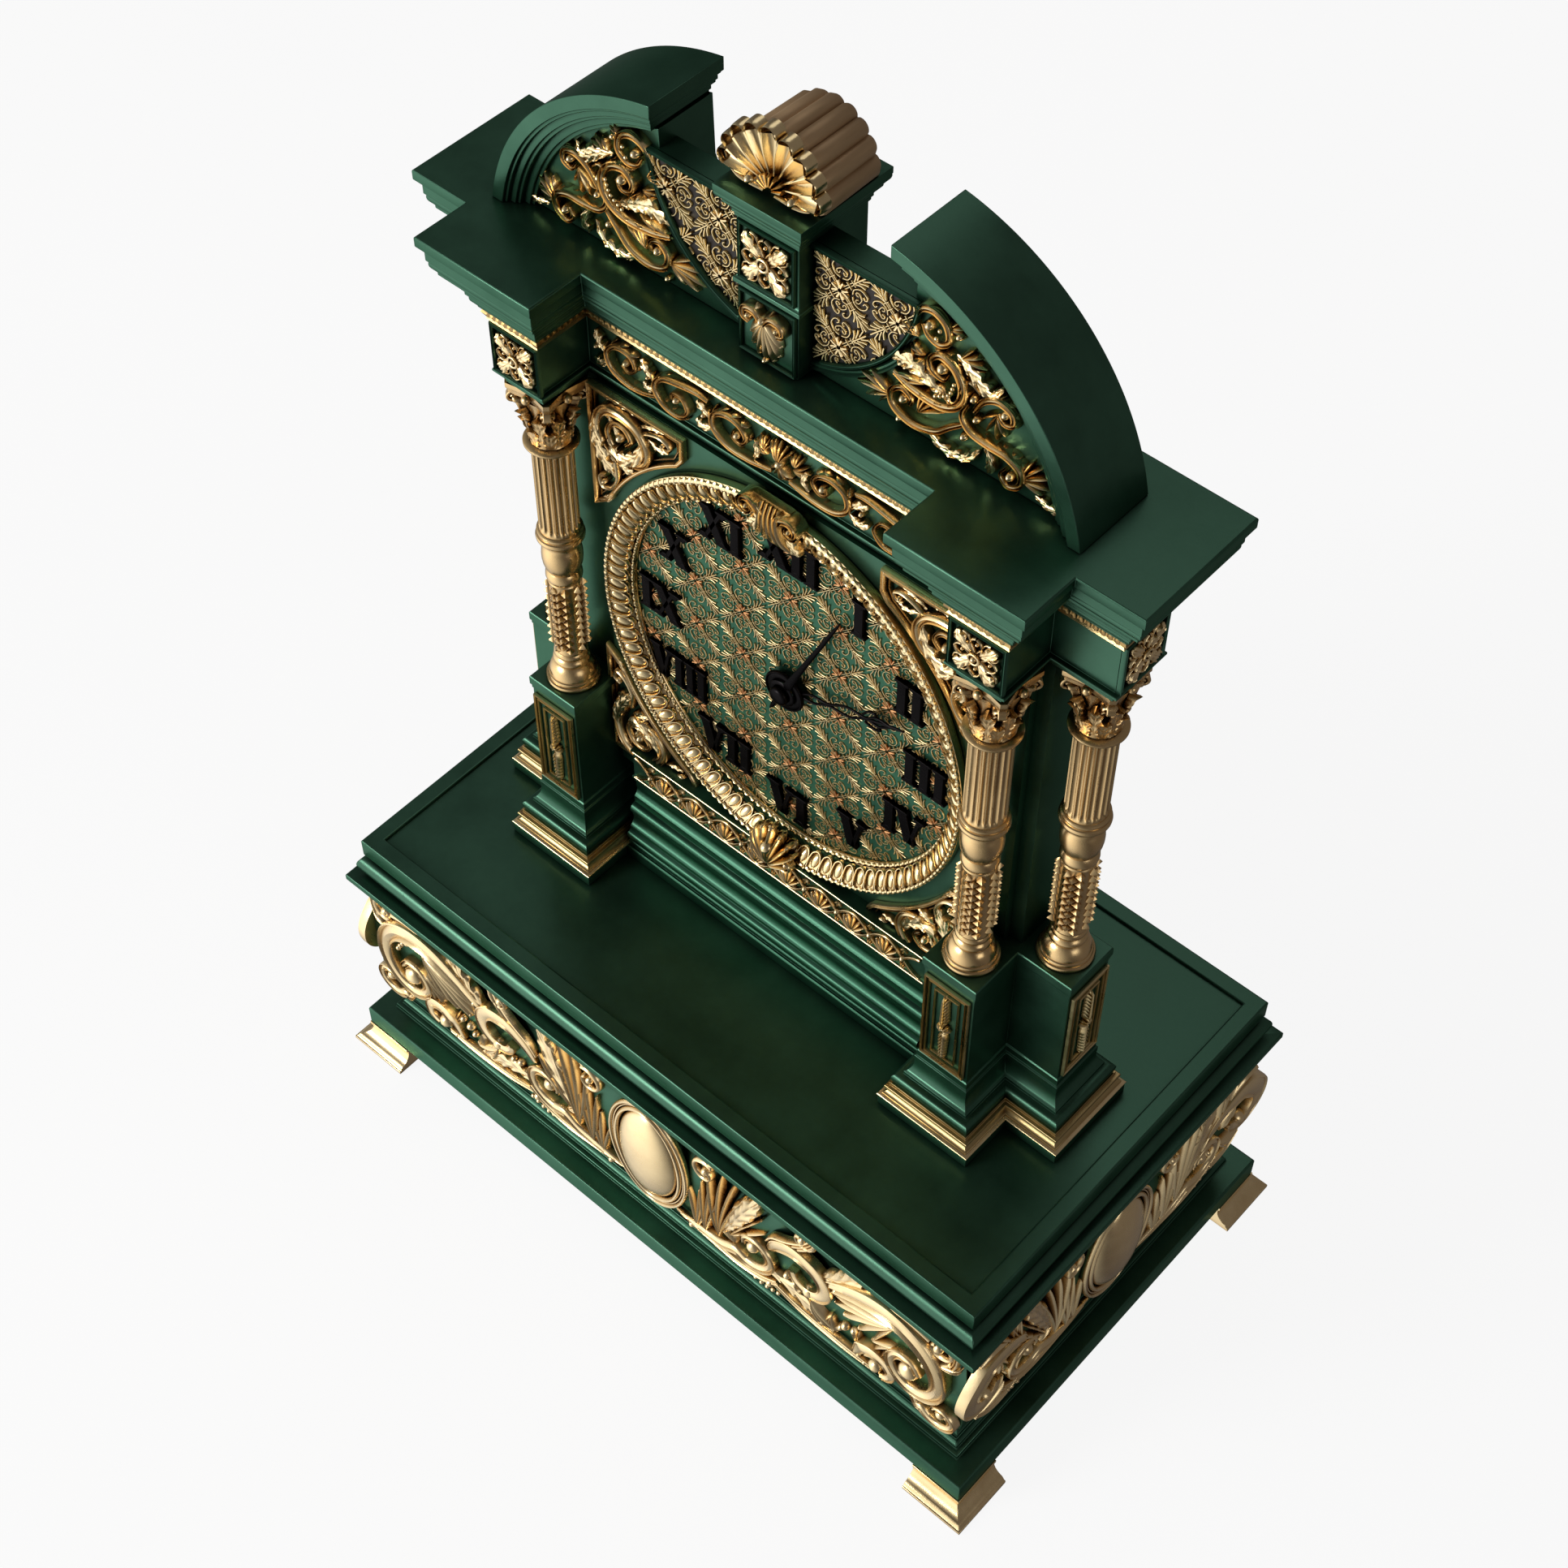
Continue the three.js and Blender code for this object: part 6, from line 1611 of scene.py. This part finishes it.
def build_rope():
    """A twisted cord and a gilt fillet that follow the slab's plan under the cornice."""
    normals = edge_normals(SLAB)
    corners = np.array(SLAB) - ROPE_INSET * (normals + np.roll(normals, 1, 0))
    closed = np.vstack([corners, corners[:1]])
    legs = np.hypot(*np.diff(closed, axis=0).T)
    along = np.concatenate([[0], np.cumsum(legs)])
    count = int(along[-1] / 0.46)
    stops = np.unique(np.concatenate([np.linspace(0, along[-1], count, endpoint=False), along[:-1]]))
    centre = np.column_stack([np.interp(stops, along, closed[:, 0]), np.interp(stops, along, closed[:, 1])])
    leg = np.clip(np.searchsorted(along, stops, side="right") - 1, 0, len(legs) - 1)
    run = (np.diff(closed, axis=0) / legs[:, None])[leg]
    out = np.column_stack([run[:, 1], -run[:, 0]])
    for index, stop in enumerate(along[:-1]):
        at = np.argmin(np.abs(stops - stop))
        before = (np.diff(closed, axis=0) / legs[:, None])[index - 1]
        out[at] = out[at] + np.array([before[1], -before[0]])
    b = np.linspace(0, 2 * math.pi, 10, endpoint=False)
    swell = 1.7 * (1 + 0.40 * np.abs(np.cos(1.5 * b[None] + stops[:, None] * 2 * math.pi / 5.6)) - 0.12)
    rings = np.concatenate([centre[:, None] + out[:, None] * (swell * np.cos(b))[..., None],
                            (ROPE_Z + swell * np.sin(b))[..., None]], -1)
    rope = Solid().ring(rings)
    rope.emit("rope_twisted", standing(), ROPE, "gilt", stands_for=["rope_moulding"])
    fillet = moulding(SLAB, profile((-17.4, 440.5), (-15.4, 440.7), (-14.8, 441.5), (-15.4, 442.3),
                                    (-17.6, 442.5)))
    fillet.emit("rope_fillet", standing(), ANTIQUE, "gilt", stands_for=["rope_moulding"])


# ---- pediment ornament ----
def tympanum_art(work):
    """The right half: a crowning scroll, a great scroll with its frond, trailing scrolls and plumes."""
    crown = [(54, 526.4, 1.8, 3.0), (57, 531.6, 2.4, 3.8), (62, 533.4, 2.6, 4.2), (66.8, 530.6, 2.6, 4.2),
             (68, 525, 2.4, 4.0), (64.4, 521.6, 2.2, 3.8), (60, 522.6, 1.9, 3.6), (57.8, 526, 1.6, 3.4)]
    eye_scroll(work, crown, (60.4, 527, 2.0), REED, height=4.4)
    work.frond(crown[1:6], -1, 4, 3.6, 1.7, 3.4, 30, 34)
    work.beads([(63.8, 524.4), (65.0, 528)], 0.8, 1.7, 4.0)
    work.ball(71.0, 528.0, 1.6, 3.6)
    work.plume(67.6, 529.6, (58, 28, 0), (4.6, 5.4, 5.0), -16, 2.0, 3.2)
    great = [(47, 500.4, 2.0, 3.2), (55, 498.8, 2.8, 4.2), (66, 499, 3.2, 5.0), (73.2, 503.2, 3.4, 5.4),
             (75.2, 510.4, 3.4, 5.4), (71.8, 516.8, 3.2, 5.2), (65.6, 518.6, 2.8, 4.8),
             (61.8, 514.8, 2.4, 4.6), (63.2, 510.6, 2.1, 4.4), (67.2, 509.8, 1.8, 4.2),
             (69.0, 512.8, 1.5, 4.0)]
    eye_scroll(work, great, (66.6, 514, 2.4), REED, height=5.2)
    work.frond(great[2:8], -1, 8, 5.4, 2.1, 4.2, 28, 50)
    work.frond(great[1:5], 1, 5, 5.6, 2.3, 4.8, 30, 46)
    work.beads([(72.4, 512), (70.6, 506.8), (65.6, 503.4)], 0.75, 1.6, 5.2)
    work.leaf([(70, 502.6, 3.0, 4.2), (62.6, 506.4, 6.6, 5.6), (54.6, 509.4, 7.6, 5.8),
               (46.4, 505.6, 4.0, 3.4)],
              6, 0.4, 0.6, 0.3)
    work.plume(64, 507, (122, 140, 158, 174), (7, 11, 14, 16), 26, 2.5, 4.4)
    work.plume(60, 503, (186, 200), (14, 12), 14, 2.2, 3.8)
    work.leaf([(71, 521.6, 2.4, 3.4), (77, 519.0, 6.0, 4.8), (84.4, 514.4, 5.2, 4.4),
               (88.4, 517.6, 2.2, 2.4)],
              5, 0.42, 0.7, 0.3)
    work.plume(72.6, 521.0, (58, 32, 8, -14), (5.6, 7.6, 9.0, 9.4), -14, 2.1, 3.6)
    hook = [(78.4, 503, 1.8, 3.2), (82.2, 509.8, 2.3, 4.0), (87.8, 513.4, 2.5, 4.4), (93.0, 511.6, 2.4, 4.2),
            (93.8, 507.4, 2.1, 4.0), (90.2, 505.8, 1.8, 3.8), (88.0, 508.6, 1.5, 3.6)]
    eye_scroll(work, hook, (90.6, 509.6, 1.8), REED, height=4.2)
    work.frond(hook[1:5], 1, 5, 4.0, 1.7, 3.4, 30, 36)
    work.plume(87.6, 507.4, (-146, -122, -98, -76), (9, 10.6, 10.6, 8), 14, 2.0, 3.6)
    work.ball(78.2, 508.0, 1.8, 4.2)
    work.strip([(73.8, 512.6, 1.4, 3.2), (77.4, 514.0, 1.6, 3.6), (80.6, 511.6, 1.2, 3.2)])
    tail = [(76.2, 505, 1.8, 3.4), (74.8, 499.6, 2.2, 4.2), (78.2, 495.4, 2.5, 4.4), (85, 494.4, 2.7, 4.6),
            (92.6, 494.4, 2.7, 4.8), (98.2, 491.4, 2.7, 4.8), (98.4, 485.8, 2.4, 4.6), (94, 482.8, 2.2, 4.4),
            (91.0, 485.6, 1.8, 4.2), (92.6, 488.8, 1.5, 4.0)]
    eye_scroll(work, tail, (94.4, 486.8, 1.9), REED, height=4.6)
    work.frond(tail[2:7], 1, 7, 4.4, 1.9, 3.8, 32, 44)
    work.frond(tail[2:6], -1, 5, 3.8, 1.7, 3.4, 32, 40)
    work.ball(79.6, 500.4, 1.6, 4.0)
    work.plume(98.6, 488, (84, 62, 40, 16, -10), (8.6, 10.2, 10.6, 9.6, 7.6), -22, 2.3, 3.8)
    low = [(76, 496.6, 1.8, 3.2), (70.4, 492.2, 2.4, 4.2), (64.4, 487.0, 2.7, 4.6), (56, 485.2, 2.8, 4.8),
           (48.8, 487.8, 2.7, 4.8), (47.2, 493.2, 2.5, 4.6), (51, 496.8, 2.2, 4.4), (55.2, 494.6, 1.8, 4.2),
           (54.6, 491.2, 1.5, 4.0)]
    eye_scroll(work, low, (52, 492.6, 2.0), REED, height=4.6)
    work.frond(low[1:6], -1, 7, 4.6, 1.9, 3.6, 30, 44)
    work.frond(low[1:5], 1, 5, 4.2, 1.8, 3.6, 32, 40)
    work.plume(47, 490.6, (142, 162, 182, 202, 220), (11, 14, 15, 13, 9), 18, 2.4, 3.8)
    work.plume(57.6, 490, (96, 78, 58, 38), (8.0, 9.6, 11, 11), -20, 2.2, 3.8)
    work.leaf([(60, 486, 2.6, 3.2), (68, 481.8, 4.2, 4.2), (77, 483.4, 4.0, 4.0), (81.6, 489, 2.2, 2.6)],
              5, 0.4, 0.6, 0.3)
    work.ball(75.2, 490.4, 1.7, 3.8)
    work.ball(49.4, 481.6, 1.5, 3.2)
    work.leaf([(84, 492, 2.2, 3.2), (86.4, 486.4, 4.2, 4.0), (85, 481.4, 2.4, 2.6)], 3, 0.4, 0.6)
    work.plume(56, 519.6, (112, 134, 156, 176), (6.0, 7.4, 8.2, 7.6), 16, 1.9, 3.4)
    work.plume(58.6, 513.6, (150, 172, 192), (5.6, 6.4, 6.4), 16, 1.7, 3.2)
    work.leaf([(103.6, 484, 2.0, 2.8), (108.8, 482.6, 3.4, 3.4), (113.6, 481.4, 1.6, 2.0)], 3, 0.4, 0.6)


def build_tympana():
    """The same scrolls on both halves, mirrored."""
    art = Carving()
    tympanum_art(art)
    for side, sign in (("right", 1), ("left", -1)):
        art.emit(f"tympanum_scrolls_{side}", mirrored(on_front(y=WALL_Y), sign), BRIGHT, "gilt")


def fret_wall(inset):
    """Outline of the pierced panel between the middle block and the round bite, right hand side."""
    r = 56.4 - inset
    x0, z0, z1 = 12.8 + inset * 0.4, 484.9 + inset * 0.4, 532.0 - inset
    start = math.asin((BITE_Z - z1) / r)
    end = math.acos(x0 / r)
    arc = [(r * math.cos(t), BITE_Z - r * math.sin(t)) for t in np.linspace(start, end, 30)]
    return [(x0, z1)] + [p for p in arc[::-1] if p[1] > z0]


def build_fret_panels():
    """A dark ground on a green backing, under a gilt fret that is cut to the panel's outline."""
    outline = np.array(fret_wall(0.3))
    ground = outline * 0.97 + np.array([0.9, 15.2])
    body = Solid().plan(plate(outline, 4.6, 13.4))
    face = Solid().plan(plate(ground, 13.3, 14.0))
    art, flower = Carving(), Carving()
    inner_u, top_v, bite_r, pitch = 13.8, 530.2, 55.2, 23.0

    def inside(u, v):
        return u > inner_u and v < top_v and math.hypot(u, v - BITE_Z) < bite_r

    for cx, cz in ((25, 520), (25, 497), (48, 520), (2, 520), (2, 497), (48, 543), (25, 543), (48, 497)):
        fret_unit(art, flower, cx, cz, pitch, inside, 0.9, 0.72)
    edge = Carving()
    rows = [(x, z, 1.6, 2.2) for x, z in outline[1:]]
    edge.strip(rows, BAND_EDGE, 1.0)
    edge.strip([(13.0, 531.0, 1.7, 2.2), (55.2, 531.0, 1.7, 2.2)], BAND_EDGE)
    for side, sign in (("right", 1), ("left", -1)):
        stands = [f"fret_panel_{side}"]
        body.emit(f"fret_backing_{side}", mirrored(on_front(), sign), LACQUER, "lacquer")
        face.emit(f"fret_ground_{side}", mirrored(on_front(), sign), GROUND, "bronze", stands_for=stands)
        art.emit(f"fret_gilt_{side}", mirrored(on_front(y=FRET_Y), sign), PALE, "bronze", stands_for=stands)
        flower.emit(f"fret_flowers_{side}", mirrored(on_front(y=FRET_Y), sign),
                    GILT, "bronze", stands_for=stands)
        edge.emit(f"fret_edge_{side}", mirrored(on_front(y=FRET_EDGE_Y), sign), LACQUER, "lacquer")


def build_centre_block():
    """The moulded block between the pediment's halves: a square flower over a shell of leaves."""
    plan = rectangle(-12.5, 12.5, -20.0, 11.6)
    body = moulding(plan, profile(
        (0.0, 478.6), (0.0, 504.4), (0.5, 504.8), (1.5, 505.6), (1.5, 507.2), (0.8, 507.6), (0.3, 508.6),
        (0.3, 531.2), (0.9, 531.6), (0.9, 532.8), (1.5, 533.2), (3.1, 536.4, -0.35), (3.5, 536.8),
        (3.5, 538.2), (4.2, 538.6), (5.3, 541.2, 0.3), (5.5, 541.6), (5.5, 543.9)))
    body.emit("centre_block_moulded", standing(), LACQUER, "lacquer", stands_for=["centre_block"], bevel=0.2)
    frame = Carving()
    outline_strip(frame, box_corners(-11.2, 11.2, 509.3, 530.7), 1.3, 1.6)
    outline_strip(frame, box_corners(-11.4, 11.4, 479.8, 503.8), 1.1, 1.3)
    frame.emit("centre_block_frames", on_front(y=BLOCK_Y), LACQUER, "lacquer")
    work, flower = Carving(), Carving()
    square_flower(flower, 9.6)
    work.put(flower, (0, 520.1, 0))
    for off, length in ((0, 15.8), (16, 14.8), (-16, 14.8), (34, 12.6), (-34, 12.6), (54, 9.4), (-54, 9.4)):
        work.finger(0, 496.8, off - 90, length, off * -0.5, 4.4, 3.2, 0.5)
    work.ball(0, 480.9, 1.3, 3.0)
    for sign in (1, -1):
        eye_scroll(work, [(0, 497, 2.4, 4.0), (3.4 * sign, 500.4, 2.6, 4.2), (7.6 * sign, 499.6, 2.4, 4.0),
                          (8.4 * sign, 496.2, 2.0, 3.8), (5.8 * sign, 494.9, 1.7, 3.6)],
                   (6.0 * sign, 497.4, 1.3), REED,
                   height=3.8)
        work.finger(2 * sign, 499, 90 - 20 * sign, 4.0, 0, 1.8, 3.4)
    work.ball(0, 498.2, 1.9, 5.0)
    work.emit("centre_block_carving", on_front(y=BLOCK_Y), GILT, "gilt", stands_for=["centre_block"])


LOBES = 9
SHELL_Z, SHELL_R = 546.4, 17.6
SPOON = section((1, 0), (1, .95), (.8, 1.0), (.55, .66), (.25, .44), (0, .38), (-.25, .44), (-.55, .66),
                (-.8, 1.0), (-1, .95), (-1, 0))


def scallop_front(work):
    """Nine hollow lobes with raised rims round a small fan of teeth, with volutes and wings."""
    width = 5.4
    for index in range(LOBES):
        heading = 90 + (index - (LOBES - 1) / 2) * 19.5
        t = math.radians(heading)
        reach = SHELL_R - 0.022 * abs(heading - 90)
        start = (4.6 * math.cos(t), SHELL_Z + 4.6 * math.sin(t))
        end = (reach * math.cos(t), SHELL_Z + reach * math.sin(t))
        mid = ((start[0] + end[0]) / 2, (start[1] + end[1]) / 2)
        work.strip([(*start, width * 0.36, 3.4), (*mid, width * 0.78, 4.4), (*end, width * 1.05, 4.6)],
                   SPOON, 0.6)
        cap = [(end[0] + width * 0.5 * math.cos(a), end[1] + width * 0.5 * math.sin(a), 0.8, 4.8)
               for a in np.linspace(t - math.pi / 2, t + math.pi / 2, 7)]
        work.strip(cap, ROUND, 0.5)
    for index in range(7):
        t = math.radians(90 + (index - 3) * 24)
        work.strip([(r * math.cos(t), SHELL_Z + r * math.sin(t), wide, high)
                    for r, wide, high in ((1.2, 0.9, 5.0), (4.8, 1.7, 5.4))])
    for sign in (1, -1):
        work.ball(sign * 7.6, 546.0, 2.1, 5.6)
        work.strip([(sign * 2.0, 545.6, 1.6, 4.8), (sign * 9.8, 545.4, 1.8, 4.8),
                    (sign * 14.2, 546.4, 1.6, 3.8),
                    (sign * 17.4, 549.4, 0.9, 2.4)])


CREST_FOOT, CREST_SCALE = 544.4, 1.14


def build_crest():
    """A scallop stands in front of a half drum ribbed to match it."""
    work, larger = Carving(), Carving()
    scallop_front(work)
    larger.put(work, (0, -SHELL_Z * CREST_SCALE + 547.0, 0), stretch=(CREST_SCALE, CREST_SCALE, 1))
    larger.emit("crest_scallop", on_front(y=CREST_Y), BRIGHT, "gilt", stands_for=["crest_shell"])
    barrel = Solid()
    angle = np.linspace(0, math.pi, LOBES * 10 + 1)
    wave = np.abs(np.sin(LOBES * angle))
    rings = []
    for y, size in ((-15.8, 0.97), (-15.0, 1.0), (9.4, 0.97), (11.4, 0.9)):
        r = (SHELL_R + 2.2 * wave ** 0.6) * size
        rings.append(np.column_stack([r * np.cos(angle), CREST_FOOT + (r + 2.4) * np.sin(angle),
                                      -y + 0 * angle]))
    barrel.plan(np.array(rings)[::-1])
    barrel.emit("crest_ribbed_barrel", on_front(), BRONZE, "gilt", stands_for=["crest_shell"])


# ---- CAD pieces that keep their shape ----
def finish_cad_pieces():
    """The case, the plates and the movement get their material and soft edges."""
    looks = {
        "case_body": LACQUER, "rear_door": LACQUER, "dial_plate": ENAMEL, "front_plate": BRASS,
        "back_plate": BRASS,
        "centre_arbor": STEEL, "hour_wheel": BRASS, "minute_wheel": BRASS, "mainspring_barrel": BRASS,
        "pendulum": STEEL, "door_hinge_lower": BRASS, "door_hinge_upper": BRASS, "door_knob": BRASS,
    }
    for node, material in looks.items():
        thing = frame["nodes"][node]
        thing.material_slots[0].material = material
        round_over(thing, 0.3 if material is LACQUER else 0.12)


# ---- floor, camera and light ----
FLOOR_REACH, FLOOR_GLOW = 9.0, 0.90
BRIGHT_SKY, SKY_STRENGTH = (-0.58, -0.76, -0.30), 0.85
FAR_SKY = (0.165, 0.150, 0.145)
LIT_POINT = (0, 0, 0.28)
LENS, SENSOR = 60.115, 36
CAMERA_PLACE = (0.4202, -0.4848, 1.0487)
CAMERA_TURN = (38.5605, -0.0201, 41.6985)


def build_floor():
    """A pale floor that the camera sees and that lights nothing."""
    material, tree, shader = node_material("pale_floor")
    cloud = noise(tree, 1.5, 3.0)
    tree.links.new(ramp(tree, cloud, [(0.3, grey(0.10)), (0.7, grey(0.12))]), shader.inputs["Base Color"])
    shader.inputs["Roughness"].default_value = 0.9
    shader.inputs["Specular IOR Level"].default_value = 0.1
    shader.inputs["Emission Color"].default_value = (1, 1, 1, 1)
    shader.inputs["Emission Strength"].default_value = FLOOR_GLOW
    mesh = bpy.data.meshes.new("floor")
    corners = rectangle(-FLOOR_REACH, FLOOR_REACH, -FLOOR_REACH, FLOOR_REACH)
    mesh.from_pydata([(x, y, 0) for x, y in corners], [], [(0, 1, 2, 3)])
    mesh.materials.append(material)
    floor = bpy.data.objects.new("floor", mesh)
    scene.collection.objects.link(floor)
    floor.visible_diffuse = False
    floor.visible_glossy = False


def build_world():
    """Soft studio light: bright from the front left, dim from behind."""
    world = bpy.data.worlds.new("studio")
    scene.world = world
    world.use_nodes = True
    tree = world.node_tree
    background = tree.nodes["Background"]
    coords = tree.nodes.new("ShaderNodeTexCoord").outputs["Generated"]
    toward = tree.nodes.new("ShaderNodeVectorMath")
    toward.operation = "DOT_PRODUCT"
    toward.inputs[1].default_value = BRIGHT_SKY
    tree.links.new(coords, toward.inputs[0])
    share = tree.nodes.new("ShaderNodeMapRange")
    share.inputs["From Min"].default_value = -1.0
    tree.links.new(toward.outputs["Value"], share.inputs["Value"])
    glow = ramp(tree, share.outputs["Result"], [
        (0.0, FAR_SKY), (0.30, FAR_SKY), (0.48, (0.10, 0.09, 0.09)), (0.62, grey(0.20)),
        (0.78, grey(0.56)), (0.92, grey(1.35)), (1.0, grey(2.0))])
    tree.links.new(glow, background.inputs["Color"])
    background.inputs["Strength"].default_value = SKY_STRENGTH


def build_lamps():
    for name, spot, size, power in (
        ("key", (-1.1, -2.3, 1.15), 0.9, 34.0),
        ("side_fill", (2.4, -0.6, 0.9), 1.0, 5.0),
        ("top", (-0.6, 1.0, 2.4), 1.2, 3.0),
    ):
        light = bpy.data.lights.new(name, "AREA")
        light.shape = "RECTANGLE"
        light.size, light.size_y = size, size
        light.energy = power
        lamp = bpy.data.objects.new(name, light)
        lamp.location = spot
        aim = Vector(LIT_POINT) - lamp.location
        lamp.rotation_euler = aim.to_track_quat("-Z", "Y").to_euler()
        scene.collection.objects.link(lamp)


def build_camera():
    """The place, turn and lens from which the photo was taken."""
    eye = bpy.data.cameras.new("camera")
    eye.lens = LENS
    eye.sensor_width = SENSOR
    camera = bpy.data.objects.new("camera", eye)
    camera.location = CAMERA_PLACE
    camera.rotation_euler = [math.radians(a) for a in CAMERA_TURN]
    scene.collection.objects.link(camera)
    scene.camera = camera
    scene.view_settings.view_transform = "Standard"


build_base()
build_feet()
build_waist_mounts()
build_pedestals()
build_plinth()
build_entablature()
build_pediment()
build_dial_fret()
build_numerals()
build_bezel()
build_cartouche()
build_palmette()
build_hands()
build_columns()
build_pedestal_panels()
build_guilloche()
build_spandrels()
build_rosettes()
build_frieze()
build_rope()
build_tympana()
build_fret_panels()
build_centre_block()
build_crest()
finish_cad_pieces()
build_floor()
build_world()
build_lamps()
build_camera()
